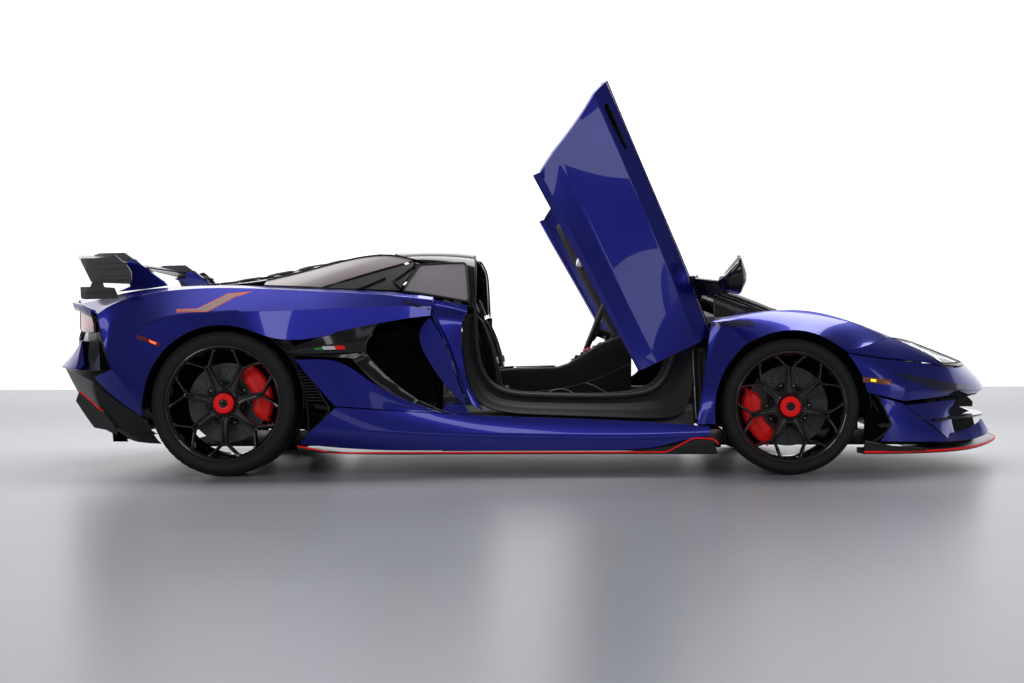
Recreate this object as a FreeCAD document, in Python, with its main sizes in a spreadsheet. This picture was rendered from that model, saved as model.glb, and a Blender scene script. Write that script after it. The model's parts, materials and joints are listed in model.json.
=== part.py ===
import FreeCAD, Part
import os, math
import Sketcher

# Open two-seat mid-engined supercar, millimetres.
# Car frame used by the tables below: X forward with 0 midway between the axles,
# w = distance from the centre plane, Z up from the ground.  Every sub-part is
# placed by shift_x so that the finished part has its origin under the middle of
# its bounding box.  The right side of the car is -Y, the left side +Y.

doc = FreeCAD.newDocument("supercar")
sheet = doc.addObject("Spreadsheet::Sheet", "sheet")
DIM = {}
_row = [0]


def dim(name, value):
    """One driving dimension: a plain number in the sheet with an alias."""
    _row[0] += 1
    cell = "A%d" % _row[0]
    sheet.set(cell, "%.6g" % value)
    sheet.setAlias(cell, name)
    DIM[name] = float(value)


for _n, _v in [
    ("shift_x", -33.5), ("wheelbase", 2700), ("axle_front_x", 1350), ("axle_rear_x", -1350),
    ("hub_front_z", 324), ("hub_rear_z", 349),
    ("track_front_half", 860), ("track_rear_half", 850),
    ("tyre_front_radius", 324), ("tyre_rear_radius", 349),
    ("tyre_front_half", 127), ("tyre_rear_half", 177),
    ("rim_front_radius", 264), ("rim_rear_radius", 276.5),
    ("rim_front_half", 118), ("rim_rear_half", 166),
    ("spoke_count", 7), ("spoke_depth", 34),
    ("disc_radius", 192), ("disc_thick", 34), ("disc_hat_radius", 92),
    ("caliper_angle", 84), ("caliper_inner", 128), ("caliper_outer", 214),
    ("panel_thick", 8), ("panel_gap", 2), ("door_thick", 78),
    ("floor_z", 108), ("floor_thick", 34), ("cabin_front_x", 1235), ("cabin_rear_x", -330),
    ("cabin_half", 800), ("sill_top_z", 384),
    ("door_hinge_x", 911), ("door_hinge_z", 712.5), ("door_open_deg", 63.3),
    ("steer_wheel_radius", 176), ("steer_rim_section", 15),
    ("seat_half_y", 352), ("hood_skin", 14), ("tow_eye_radius", 8), ("tow_eye_depth", 40),
    ("plate_bolt_radius", 3), ("plate_bolt_span", 260), ("jack_pad_radius", 30),
    ("nut_radius", 49), ("engine_len", 900), ("engine_wide", 620), ("engine_high", 560),
]:
    dim(_n, _v)
doc.recompute()
SX = DIM["shift_x"]
ARCH_F = 363.0 * 1.012
ARCH_R = 380.0 * 1.012
parts_made = []


def V(p):
    return FreeCAD.Vector(p[0], p[1], p[2])


def bind(o, prop, expr):
    o.setExpression(prop, expr)


# ---------------------------------------------------------------- surfaces
def _mk(n):
    d = min(3, n - 1)
    spans = n - d
    return d, [d + 1] + [1] * (spans - 1) + [d + 1], [float(i) for i in range(spans + 1)]


def face_of(grid):
    """Clamped uniform B-spline face whose poles are the grid points."""
    nu, nv = len(grid), len(grid[0])
    du, mu, ku = _mk(nu)
    dv, mv, kv = _mk(nv)
    s = Part.BSplineSurface()
    s.buildFromPolesMultsKnots([[V(p) for p in row] for row in grid], mu, mv, ku, kv, False, False, du, dv)
    return s.toShape()


def sub(a, b):
    return (a[0] - b[0], a[1] - b[1], a[2] - b[2])


def add(a, b, k=1.0):
    return (a[0] + k * b[0], a[1] + k * b[1], a[2] + k * b[2])


def cross(a, b):
    return (a[1] * b[2] - a[2] * b[1], a[2] * b[0] - a[0] * b[2], a[0] * b[1] - a[1] * b[0])


def dot(a, b):
    return a[0] * b[0] + a[1] * b[1] + a[2] * b[2]


def unit(a):
    n = math.sqrt(dot(a, a)) or 1.0
    return (a[0] / n, a[1] / n, a[2] / n)


def normals(g):
    nu, nv = len(g), len(g[0])
    out = []
    for i in range(nu):
        row = []
        for j in range(nv):
            a = sub(g[min(i + 1, nu - 1)][j], g[max(i - 1, 0)][j])
            b = sub(g[i][min(j + 1, nv - 1)], g[i][max(j - 1, 0)])
            row.append(unit(cross(a, b)))
        out.append(row)
    return out


def inset(g, d):
    """Pull the four borders of a grid of poles inwards along the surface."""
    nu, nv = len(g), len(g[0])
    d = list(d) if isinstance(d, (list, tuple)) else [d] * 4
    r = [list(row) for row in g]
    for j in range(nv):
        r[0][j] = add(r[0][j], unit(sub(g[1][j], g[0][j])), d[0])
        r[-1][j] = add(r[-1][j], unit(sub(g[-2][j], g[-1][j])), d[1])
    q = [list(row) for row in r]
    for i in range(nu):
        q[i][0] = add(q[i][0], unit(sub(g[i][1], g[i][0])), d[2])
        q[i][-1] = add(q[i][-1], unit(sub(g[i][-2], g[i][-1])), d[3])
    return q


def cuts(n, creases):
    c = [0] + sorted(creases) + [n - 1]
    return [(c[k], c[k + 1]) for k in range(len(c) - 1)]


def thick(grid, t, ref, ucr=(), vcr=(), gap=None, mitre=1.0, tf=None):
    """Closed solid: the outer skin is the grid (with creases on the given rows
    and columns), the inner skin lies t inside it, with mitred borders."""
    if gap is None:
        gap = DIM["panel_gap"]
    g = inset(grid, gap)
    nu, nv = len(g), len(g[0])
    nn = normals(g)
    s = 0.0
    for i in range(nu):
        for j in range(nv):
            s += dot(nn[i][j], sub(g[i][j], ref))
    sg = -1.0 if s > 0 else 1.0
    gi = inset(g, t * mitre if not isinstance(mitre, (list, tuple)) else [t * k for k in mitre])
    inner = []
    for i in range(nu):
        row = []
        for j in range(nv):
            tt = t if tf is None else tf(i / (nu - 1.0), j / (nv - 1.0), g[i][j])
            row.append(add(gi[i][j], nn[i][j], sg * tt))
        inner.append(row)
    faces = []
    cu, cv = cuts(nu, ucr), cuts(nv, vcr)
    for (a, b) in cu:
        for (c, d) in cv:
            for G in (g, inner):
                faces.append(face_of([row[c:d + 1] for row in G[a:b + 1]]))
    for (a, b) in cu:
        for j in (0, nv - 1):
            faces.append(face_of([[g[i][j], inner[i][j]] for i in range(a, b + 1)]))
    for (c, d) in cv:
        for i in (0, nu - 1):
            faces.append(face_of([[g[i][j], inner[i][j]] for j in range(c, d + 1)]))
    return solid_of(faces)


def solid_of(faces):
    sh = Part.Shell(faces)
    sh.sewShape()
    so = Part.Solid(sh)
    if not so.isValid():
        so.fix(0.01, 0.01, 0.05)
    if so.Volume < 0:
        so.reverse()
    return so


def cap(ring):
    """Faces that close a ring: one patch, one flat face, or a fan."""
    n = len(ring)
    if n == 4:
        return [face_of([[ring[0], ring[1]], [ring[3], ring[2]]])]
    try:
        f = Part.Face(Part.makePolygon([V(p) for p in ring] + [V(ring[0])]))
        if f.isValid():
            return [f]
    except Part.OCCError:
        pass
    c = tuple(sum(p[k] for p in ring) / n for k in range(3))
    out = []
    for k in range(n):
        out.append(Part.Face(Part.makePolygon([V(c), V(ring[k]), V(ring[(k + 1) % n]), V(c)])))
    return out


def prism(ring0, ring1):
    """Closed solid between two rings with the same number of corners."""
    n = len(ring0)
    faces = []
    for k in range(n):
        a, b = ring0[k], ring0[(k + 1) % n]
        c, d = ring1[(k + 1) % n], ring1[k]
        flat = abs(dot(unit(cross(sub(b, a), sub(d, a))), sub(c, a))) < 1e-6
        faces.append(Part.Face(Part.makePolygon([V(a), V(b), V(c), V(d), V(a)])) if flat else face_of([[a, b], [d, c]]))
    for ring in (ring0, ring1):
        faces += cap(ring)
    return solid_of(faces)


def side(g, s):
    """(X, w, Z) rows to the right (s=-1) or left (s=+1) side."""
    return [[(p[0], s * p[1], p[2]) for p in row] for row in g]


def both(gridhalf):
    """Full-width grid from a half grid whose last column lies on w = 0."""
    out = []
    for row in gridhalf:
        r = [(p[0], -p[1], p[2]) for p in row]
        l = [(p[0], p[1], p[2]) for p in row[:-1]]
        out.append(r + l[::-1])
    return out


def lerp(a, b, t):
    return tuple(a[k] + (b[k] - a[k]) * t for k in range(3))


def line(pts, n):
    """n points spread evenly by length along a polyline."""
    L = [0.0]
    for k in range(1, len(pts)):
        e = sub(pts[k], pts[k - 1])
        L.append(L[-1] + math.sqrt(dot(e, e)))
    out = []
    for i in range(n):
        s = L[-1] * i / (n - 1.0)
        k = 1
        while k < len(L) - 1 and L[k] < s:
            k += 1
        f = (s - L[k - 1]) / ((L[k] - L[k - 1]) or 1.0)
        out.append(lerp(pts[k - 1], pts[k], f))
    return out


# ---------------------------------------------------------------- document objects
def feature(name, shapes):
    """A sub-part whose shape is made from curves: one or several solids."""
    o = doc.addObject("Part::Feature", name)
    shapes = shapes if isinstance(shapes, list) else [shapes]
    o.Shape = shapes[0] if len(shapes) == 1 else Part.makeCompound(shapes)
    o.Label = name
    o.Placement = FreeCAD.Placement(FreeCAD.Vector(SX, 0, 0), FreeCAD.Rotation())
    bind(o, "Placement.Base.x", "sheet.shift_x")
    parts_made.append(o)
    return o


def publish(o, name, place=None):
    o.Label = name
    if place is not None:
        o.Placement = place
    parts_made.append(o)
    return o


def origin_plane(body, role):
    for f in body.Origin.OriginFeatures:
        if f.Role == role:
            return f
    raise ValueError(role)


def sketch(body, name, role="XY_Plane"):
    s = body.newObject("Sketcher::SketchObject", name)
    s.AttachmentSupport = [(origin_plane(body, role), "")]
    s.MapMode = "FlatFace"
    return s


def polyline(sk, pts, exprs=None):
    """Closed outline; corners that carry an expression are dimensioned from it."""
    n = len(pts)
    ids = []
    for k in range(n):
        a, b = pts[k], pts[(k + 1) % n]
        ids.append(sk.addGeometry(Part.LineSegment(FreeCAD.Vector(a[0], a[1], 0), FreeCAD.Vector(b[0], b[1], 0)), False))
    for k in range(n):
        sk.addConstraint(Sketcher.Constraint("Coincident", ids[k], 2, ids[(k + 1) % n], 1))
    exprs = exprs or {}
    for k in range(n):
        for axis, kind in ((0, "DistanceX"), (1, "DistanceY")):
            v = pts[k][axis]
            e = exprs.get((k, axis))
            if abs(v) < 1e-9 and e is None:
                sk.addConstraint(Sketcher.Constraint("PointOnObject", ids[k], 1, -2 if axis == 0 else -1))
                continue
            c = sk.addConstraint(Sketcher.Constraint(kind, -1, 1, ids[k], 1, v))
            if e:
                sk.setExpression("Constraints[%d]" % c, e)
    return ids


def out_place(x, y, z, s, spin=0.0):
    """Local Z to the outboard side s, local origin to the hub, spun by spin degrees."""
    r = FreeCAD.Rotation(FreeCAD.Vector(1, 0, 0), 90 if s < 0 else -90)
    r = r.multiply(FreeCAD.Rotation(FreeCAD.Vector(0, 0, 1), spin))
    return FreeCAD.Placement(FreeCAD.Vector(x + SX, s * y, z), r)


# ---------------------------------------------------------------- wheels
def tyre(name, ax, s):
    R, H, r = DIM["tyre_%s_radius" % ax], DIM["tyre_%s_half" % ax], DIM["rim_%s_radius" % ax]
    b = doc.addObject("PartDesign::Body", name)
    sk = sketch(b, name + "_section", "XZ_Plane")
    rb = r - 12
    hz = DIM["rim_%s_half" % ax] - 14.5
    pts = [(rb, -hz), (r + 0.8, -hz), (r + 3, -H + 10), (r + 32, -H), (R - 26, -H + 7), (R - 9, -H + 20), (R, -H + 46),
           (R, H - 46), (R - 9, H - 20), (R - 26, H - 7), (r + 32, H), (r + 3, H - 10), (r + 0.8, hz), (rb, hz)]
    e = {(6, 0): "sheet.tyre_%s_radius" % ax, (7, 0): "sheet.tyre_%s_radius" % ax,
         (3, 1): "-sheet.tyre_%s_half" % ax, (10, 1): "sheet.tyre_%s_half" % ax}
    polyline(sk, pts, e)
    rv = b.newObject("PartDesign::Revolution", name + "_turn")
    rv.Profile = sk
    rv.ReferenceAxis = (sk, ["V_Axis"])
    rv.Angle = 360.0
    doc.recompute()
    y, z, x = DIM["track_%s_half" % ax], DIM["hub_%s_z" % ax], DIM["axle_%s_x" % ax]
    publish(b, name, out_place(x, y, z, s))


def rim(name, ax, s, start):
    r, H = DIM["rim_%s_radius" % ax] - 12.4, DIM["rim_%s_half" % ax]
    b = doc.addObject("PartDesign::Body", name)
    sk = sketch(b, name + "_barrel", "XZ_Plane")
    fl = r + 12
    pts = [(fl - 4, -H), (fl, -H + 3), (fl, -H + 11), (r, -H + 14), (r, H - 14), (fl, H - 11), (fl, H - 3), (fl - 4, H),
           (r - 12, H - 6), (r - 20, H - 40), (r - 14, -H + 20), (r - 12, -H)]
    polyline(sk, pts, {(3, 0): "sheet.rim_%s_radius - 12.4" % ax, (4, 0): "sheet.rim_%s_radius - 12.4" % ax})
    rv = b.newObject("PartDesign::Revolution", name + "_turn")
    rv.Profile = sk
    rv.ReferenceAxis = (sk, ["V_Axis"])
    rv.Angle = 360.0
    doc.recompute()
    # one forked spoke, standing on the hub face and reaching into the barrel
    zf = H - 30.0
    d = DIM["spoke_depth"]
    sk2 = sketch(b, name + "_spoke")
    ro = r - 15.0
    k = 0.56 * ro
    a = math.radians(18.5)
    a1, a0 = math.radians(22.0), math.radians(15.4)
    pts = [(-17, 40), (17, 40), (13.5, k), (ro * math.sin(a1), ro * math.cos(a1)), (ro * math.sin(a0), ro * math.cos(a0)),
           (0, k + 34), (-ro * math.sin(a0), ro * math.cos(a0)), (-ro * math.sin(a1), ro * math.cos(a1)), (-13.5, k)]
    polyline(sk2, pts)
    sk2.AttachmentOffset = FreeCAD.Placement(FreeCAD.Vector(0, 0, zf - d), FreeCAD.Rotation())
    pad = b.newObject("PartDesign::Pad", name + "_arm")
    pad.Profile = sk2
    pad.Length = d
    bind(pad, "Length", "sheet.spoke_depth")
    doc.recompute()
    pp = b.newObject("PartDesign::PolarPattern", name + "_spokes")
    pp.Originals = [pad]
    pp.Axis = (sk2, ["N_Axis"])
    pp.Angle = 360.0
    pp.Occurrences = 7
    bind(pp, "Occurrences", "sheet.spoke_count")
    b.Tip = pp
    doc.recompute()
    sk3 = sketch(b, name + "_hubring")
    sk3.addGeometry(Part.Circle(FreeCAD.Vector(0, 0, 0), FreeCAD.Vector(0, 0, 1), 72), False)
    sk3.addConstraint(Sketcher.Constraint("Coincident", 0, 3, -1, 1))
    sk3.addConstraint(Sketcher.Constraint("Radius", 0, 72))
    sk3.AttachmentOffset = FreeCAD.Placement(FreeCAD.Vector(0, 0, zf - d - 8), FreeCAD.Rotation())
    hub = b.newObject("PartDesign::Pad", name + "_hub")
    hub.Profile = sk3
    hub.Length = d + 4
    bind(hub, "Length", "sheet.spoke_depth + 4")
    doc.recompute()
    sk4 = sketch(b, name + "_nutring")
    sk4.addGeometry(Part.Circle(FreeCAD.Vector(0, 0, 0), FreeCAD.Vector(0, 0, 1), DIM["nut_radius"]), False)
    sk4.addConstraint(Sketcher.Constraint("Coincident", 0, 3, -1, 1))
    c = sk4.addConstraint(Sketcher.Constraint("Radius", 0, DIM["nut_radius"]))
    sk4.setExpression("Constraints[%d]" % c, "sheet.nut_radius")
    sk4.AttachmentOffset = FreeCAD.Placement(FreeCAD.Vector(0, 0, zf - 8), FreeCAD.Rotation())
    nut = b.newObject("PartDesign::Pad", name + "_nut")
    nut.Profile = sk4
    nut.Length = 26
    doc.recompute()
    b.Tip = nut
    doc.recompute()
    y, z, x = DIM["track_%s_half" % ax], DIM["hub_%s_z" % ax], DIM["axle_%s_x" % ax]
    publish(b, name, out_place(x, y, z, s, start))


def disc(name, ax, s):
    b = doc.addObject("PartDesign::Body", name)
    sk = sketch(b, name + "_section", "XZ_Plane")
    H = DIM["rim_%s_half" % ax]
    top = H - 30 - DIM["spoke_depth"] - 8 - 0.5
    zc = top - 62.0
    t = DIM["disc_thick"] / 2
    R, h = DIM["disc_radius"], DIM["disc_hat_radius"]
    pts = [(30, top), (h - 6, top), (h, zc + t), (R, zc + t), (R, zc - t), (h + 4, zc - t), (h - 12, zc - t),
           (h - 18, top - 14), (30, top - 14)]
    polyline(sk, pts, {(3, 0): "sheet.disc_radius", (4, 0): "sheet.disc_radius"})
    rv = b.newObject("PartDesign::Revolution", name + "_turn")
    rv.Profile = sk
    rv.ReferenceAxis = (sk, ["V_Axis"])
    rv.Angle = 360.0
    doc.recompute()
    y, z, x = DIM["track_%s_half" % ax], DIM["hub_%s_z" % ax], DIM["axle_%s_x" % ax]
    publish(b, name, out_place(x, y, z, s))
    return zc


def caliper_body(name, ax, s, start):
    """U-section caliper bridging the disc; start = first angle about the axle."""
    b = doc.addObject("PartDesign::Body", name)
    sk = sketch(b, name + "_section", "XZ_Plane")
    H = DIM["rim_%s_half" % ax]
    zc = H - 30 - DIM["spoke_depth"] - 8 - 0.5 - 62.0
    t = DIM["disc_thick"] / 2 + 3
    ri, ro = DIM["caliper_inner"], DIM["caliper_outer"]
    R = DIM["disc_radius"] + 4
    pts = [(ri, zc + t), (ri, zc + t + 24), (ro - 6, zc + t + 26), (ro, zc + t + 18), (ro, zc - t - 34), (ri, zc - t - 34),
           (ri, zc - t), (R, zc - t), (R, zc + t)]
    polyline(sk, pts, {(0, 0): "sheet.caliper_inner", (3, 0): "sheet.caliper_outer"})
    rv = b.newObject("PartDesign::Revolution", name + "_turn")
    rv.Profile = sk
    rv.ReferenceAxis = (sk, ["V_Axis"])
    rv.Angle = DIM["caliper_angle"]
    bind(rv, "Angle", "sheet.caliper_angle")
    doc.recompute()
    y, z, x = DIM["track_%s_half" % ax], DIM["hub_%s_z" % ax], DIM["axle_%s_x" % ax]
    b.Placement = out_place(x, y, z, s, start)
    return b


for _s, _t in ((1, "left"), (-1, "right")):
    tyre("tyre_front_" + _t, "front", _s)
    tyre("tyre_rear_" + _t, "rear", _s)
    rim("rim_front_" + _t, "front", _s, 0.0 if _s < 0 else 180.0)
    rim("rim_rear_" + _t, "rear", _s, 180.0 if _s < 0 else 0.0)
    disc("brake_disc_front_" + _t, "front", _s)
    disc("brake_disc_rear_" + _t, "rear", _s)


# ---------------------------------------------------------------- brakes, uprights, arms
def prim(kind, name, **kw):
    o = doc.addObject("Part::" + kind, name)
    for k, v in kw.items():
        if isinstance(v, str):
            bind(o, k, v)
        else:
            setattr(o, k, v)
    return o


def fuse(name, objs):
    o = doc.addObject("Part::MultiFuse", name)
    o.Shapes = objs
    return o


def caliper(name, ax, s, start):
    b = caliper_body(name, ax, s, start)
    publish(b, name)
    return b


# the front calipers sit behind the axle, the rear ones ahead of it
caliper("caliper_front_right", "front", -1, 158.0)
caliper("caliper_front_left", "front", 1, 118.0)
_a = caliper_body("caliper_rear_right_half", "rear", -1, -25.0)
_b = caliper_body("caliper_rear_left_half", "rear", 1, -59.0)


def upright(name, ax, s):
    """Hub carrier: hub barrel, post on the steering axis and caliper bracket."""
    x, y, z = DIM["axle_%s_x" % ax], DIM["track_%s_half" % ax], DIM["hub_%s_z" % ax]
    off = {"front": 0.0, "rear": 38.0}[ax]
    hub = prim("Cylinder", name + "_hub", Radius=58, Height=123)
    hub.Placement = out_place(x, y + off - 95, z, s)
    post = prim("Cylinder", name + "_post", Radius=22, Height=250)
    post.Placement = FreeCAD.Placement(FreeCAD.Vector(x + SX, s * (y + off - 62), z - 125), FreeCAD.Rotation())
    d = -1 if ax == "front" else 1
    br = prim("Box", name + "_bracket", Length=165, Width=20, Height=76)
    x0 = x + SX + (-190 if d < 0 else 25)
    y0 = y + off - 91.5
    br.Placement = FreeCAD.Placement(FreeCAD.Vector(x0, s * y0 if s > 0 else -(y0 + 20), z - 38), FreeCAD.Rotation())
    return fuse(name, [hub, post, br])


for _s, _t in ((1, "left"), (-1, "right")):
    publish(upright("knuckle_front_" + _t, "front", _s), "knuckle_front_" + _t)
_ur = [upright("upright_rear_%s_half" % _t, "rear", _s) for _s, _t in ((1, "left"), (-1, "right"))]


def rod(p, q, r):
    d = sub(q, p)
    return Part.makeCylinder(r, math.sqrt(dot(d, d)), V(p), V(d))


def arms(ax, s):
    """Upper and lower wishbones of one wheel; the eyes stand on the steering axis."""
    x, y, z = DIM["axle_%s_x" % ax], DIM["track_%s_half" % ax], DIM["hub_%s_z" % ax]
    w = y + {"front": 0.0, "rear": 38.0}[ax] - 62
    out = []
    for dz, w2 in ((140, 470 if ax == "front" else 500), (-140, 430 if ax == "front" else 470)):
        eye = Part.makeCylinder(20, 22, V((x, s * w, z + dz - 11)), V((0, 0, 1)))
        sol = eye
        for dx in (-125, 125):
            sol = sol.fuse(rod((x, s * w, z + dz), (x + dx, s * w2, z + dz + (10 if dz > 0 else 4)), 11))
        sol = sol.fuse(rod((x - 150, s * w2, z + dz + (10 if dz > 0 else 4)), (x + 150, s * w2, z + dz + (10 if dz > 0 else 4)), 16))
        out.append(sol)
    return out


# ---------------------------------------------------------------- lines of the body shell
def arch_f(phi, w, r=ARCH_F):
    a = math.radians(phi)
    return (1350 + r * math.cos(a), w, 324 + r * math.sin(a))


def arch_r(phi, w, r=ARCH_R):
    a = math.radians(phi)
    return (-1350 + r * math.cos(a), w, 349 + r * math.sin(a))


# front fender: rows run from the arch lip up to the hood seam, columns from the
# foot behind the wheel round to the seam with the bumper
FENDER = [
    [arch_f(193, 1000), (952, 994, 243), (930, 990, 242), (915, 987, 241), (904, 984, 240)],
    [arch_f(176, 1002), (965, 992, 350), (945, 982, 352), (930, 974, 354), (921, 968, 356)],
    [arch_f(159, 1003), (982, 985, 468), (966, 970, 476), (952, 957, 484), (944, 948, 490)],
    [arch_f(142, 1002), (1035, 970, 580), (1008, 945, 606), (985, 922, 628), (968, 905, 645)],
    [arch_f(126, 1000), (1115, 962, 660), (1080, 925, 700), (1040, 893, 726), (983, 890, 730)],
    [arch_f(110, 998), (1215, 958, 708), (1195, 910, 750), (1170, 862, 774), (1120, 778, 782)],
    [arch_f(94, 996), (1325, 955, 722), (1325, 902, 764), (1325, 835, 790), (1325, 732, 784)],
    [arch_f(78, 994), (1440, 952, 710), (1455, 898, 754), (1475, 820, 783), (1500, 650, 756)],
    [arch_f(63, 991), (1555, 948, 672), (1585, 892, 718), (1630, 810, 745), (1720, 608, 705)],
    [arch_f(48, 987), (1665, 944, 606), (1725, 890, 655), (1800, 805, 680), (1960, 570, 642)],
]
FENDER_END = [arch_f(45, 986), (1690, 965, 600), (1775, 905, 632), (1855, 790, 652), (2008, 568, 630)]
FENDER.append(FENDER_END)

HOOD = [
    [(1353, 683, 769), (1408, 470, 771), (1470, 230, 771), (1498, 0, 769)],
    [(1515, 642, 748), (1560, 440, 740), (1610, 215, 738), (1630, 0, 736)],
    [(1735, 605, 702), (1775, 400, 696), (1812, 195, 692), (1830, 0, 690)],
    [(1975, 566, 640), (2005, 365, 636), (2032, 175, 634), (2045, 0, 632)],
    [(2160, 505, 576), (2195, 325, 573), (2222, 155, 571), (2235, 0, 569)],
    [(2300, 425, 526), (2345, 275, 520), (2380, 135, 515), (2395, 0, 512)],
]

HEADLIGHT = [
    [(1855, 790, 650), (1930, 690, 646), (2012, 567, 628)],
    [(1955, 802, 610), (2030, 685, 608), (2090, 541, 600)],
    [(2045, 795, 563), (2125, 668, 562), (2190, 505, 564)],
    [(2107, 786, 524), (2205, 640, 518), (2297, 439, 524)],
]

# front bumper: rows from the seam under fender, headlight and hood down to the
# edge over the intakes; columns from the arch to the centre
# tongue of the fender between the lamp and the bumper seam
TONGUE = [
    [arch_f(45, 986), (1690, 965, 600), (1775, 905, 632), (1855, 790, 652), (1955, 802, 610), (2045, 795, 563), (2105, 786, 524)],
    [arch_f(44.7, 986), (1695, 969, 584), (1785, 930, 598), (1872, 862, 610), (1962, 845, 583), (2048, 818, 548), (2108, 786, 518)],
    [arch_f(44.3, 986), (1700, 971, 566), (1790, 950, 552), (1880, 908, 545), (1962, 870, 537), (2046, 826, 525), (2110, 786, 513)],
]
BUMPER = [
    [(1611, 986, 577), (1660, 988, 520), (1690, 988, 440), (1706, 987, 390)],
    [(1790, 952, 548), (1796, 964, 500), (1800, 974, 425), (1800, 972, 367)],
    [(1900, 896, 540), (1915, 915, 480), (1905, 945, 405), (1890, 940, 346)],
    [(2040, 830, 524), (2065, 835, 440), (2068, 832, 385), (2055, 825, 356)],
    [(2160, 750, 500), (2200, 715, 420), (2212, 700, 388), (2196, 690, 366)],
    [(2240, 610, 502), (2310, 570, 425), (2325, 560, 386), (2305, 552, 364)],
    [(2312, 430, 512), (2396, 405, 435), (2420, 398, 388), (2396, 392, 364)],
    [(2385, 210, 504), (2455, 195, 440), (2482, 192, 392), (2452, 188, 366)],
    [(2400, 0, 500), (2470, 0, 440), (2494, 0, 392), (2462, 0, 366)],
]
CORNER = [
    [(1750, 972, 372), (1815, 966, 358), (1885, 938, 338)],
    [(1800, 972, 300), (1870, 950, 290), (1945, 918, 284)],
    [(1822, 970, 240), (1920, 940, 232), (2022, 892, 236)],
    [(1790, 972, 190), (1930, 940, 182), (2085, 868, 186)],
    [(1768, 974, 158), (1940, 938, 150), (2128, 845, 148)],
]
# splitter outline, right half, from the arch to the nose
SWOOSH = [
    [(1895, 920, 330), (2040, 830, 338), (2150, 740, 346), (2200, 696, 348)],
    [(1957, 900, 282), (2070, 836, 300), (2150, 752, 316), (2190, 700, 318)],
    [(2032, 874, 236), (2092, 822, 250), (2142, 760, 266), (2160, 705, 272)],
    [(2092, 850, 188), (2114, 818, 196), (2150, 762, 212), (2178, 712, 220)],
    [(2126, 832, 158), (2140, 810, 158), (2162, 765, 160), (2190, 720, 164)],
]
FBLADE = [
    [(2046, 858, 252), (2052, 864, 251)],
    [(2110, 806, 254), (2134, 808, 252)],
    [(2162, 742, 256), (2216, 738, 254)],
    [(2194, 680, 258), (2290, 652, 255)],
    [(2228, 590, 260), (2352, 560, 256)],
    [(2270, 450, 262), (2405, 440, 257)],
    [(2298, 300, 262), (2435, 300, 258)],
    [(2310, 150, 262), (2446, 150, 258)],
    [(2312, 0, 262), (2448, 0, 258)],
]
SPLIT = [(1690, 985), (1815, 982), (1960, 940), (2090, 872), (2220, 785), (2330, 660), (2420, 515), (2490, 370), (2505, 250), (2505, 120), (2498, 0)]

DOOR = [
    # rear edge to front edge; rows: inner belt edge, belt line, shoulder, waist, lower crease, bottom, lip
    [(-343, 862, 850), (-348, 905, 828), (-330, 930, 745), (-262, 950, 620), (-200, 968, 440), (-148, 978, 326), (-150, 962, 289)],
    [(-110, 846, 838), (-95, 908, 812), (-85, 937, 727), (-60, 948, 600), (-25, 962, 432), (-12, 979, 326), (-12, 962, 290)],
    [(150, 832, 826), (160, 908, 796), (165, 940, 708), (180, 944, 585), (170, 955, 425), (135, 979, 325), (135, 961, 294)],
    [(420, 824, 812), (430, 906, 778), (440, 939, 690), (430, 940, 570), (400, 950, 420), (390, 976, 324), (390, 960, 300)],
    [(720, 818, 796), (730, 902, 756), (740, 930, 668), (710, 938, 560), (670, 952, 415), (660, 970, 323), (660, 957, 304)],
    [(965, 812, 768), (975, 890, 728), (962, 915, 645), (940, 940, 520), (922, 956, 410), (908, 966, 322), (906, 954, 306)],
]

QUARTER = [
    # rows: inner seam, crest, shading edge, intake top or arch lip
    [(-352, 862, 856), (-356, 888, 842), (-358, 912, 815), (-362, 930, 763)],
    [(-510, 850, 880), (-500, 892, 862), (-505, 935, 812), (-520, 948, 748)],
    [(-720, 812, 896), (-720, 885, 878), (-730, 962, 805), (-720, 985, 702)],
    [(-920, 788, 904), (-925, 880, 888), (-935, 992, 795), (-915, 1022, 650)],
    [(-1100, 755, 914), (-1110, 878, 898), (-1130, 1008, 790), arch_r(50, 1046)],
    [(-1260, 722, 922), (-1270, 872, 905), (-1285, 1014, 788), arch_r(74, 1048)],
    [(-1420, 695, 926), (-1430, 866, 908), (-1430, 1014, 782), arch_r(98, 1048)],
    [(-1590, 668, 924), (-1600, 862, 900), (-1590, 1006, 770), arch_r(122, 1047)],
    [(-1770, 642, 916), (-1780, 866, 880), (-1740, 996, 730), arch_r(146, 1045)],
    [(-1930, 622, 900), (-1935, 885, 830), (-1890, 975, 640), arch_r(167, 1040)],
    [(-2150, 612, 838), (-1978, 935, 775), (-1905, 966, 522), arch_r(184, 1030)],
]
SILL = [
    # columns: flange, top edge, upper side, crease, lower side, bottom
    [(-806, 1014, 318), (-808, 1034, 331), (-858, 1046, 278), (-925, 1046, 222), (-955, 1038, 188), (-985, 1016, 154)],
    [(-640, 998, 306), (-640, 1018, 318), (-650, 1032, 268), (-668, 1038, 205), (-680, 1030, 165), (-690, 1010, 123)],
    [(-420, 972, 292), (-420, 996, 303), (-420, 1012, 258), (-420, 1021, 197), (-420, 1016, 160), (-420, 1004, 121)],
    [(-150, 940, 278), (-150, 968, 287), (-150, 992, 250), (-150, 1007, 193), (-150, 1006, 158), (-150, 1000, 121)],
    [(150, 938, 268), (150, 964, 276), (150, 984, 244), (150, 1003, 192), (150, 1003, 157), (150, 998, 121)],
    [(480, 938, 256), (480, 964, 264), (480, 982, 236), (480, 1001, 190), (480, 1003, 156), (480, 998, 121)],
    [(740, 940, 243), (740, 972, 251), (740, 984, 230), (740, 999, 195), (740, 1003, 162), (740, 999, 126)],
    [(870, 946, 234), (870, 980, 241), (870, 990, 226), (870, 1000, 205), (871, 1003, 194), (872, 1001, 183)],
    [(966, 952, 226), (966, 988, 233), (966, 994, 223), (966, 1000, 208), (966, 1004, 197), (966, 1002, 184)],
]
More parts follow.
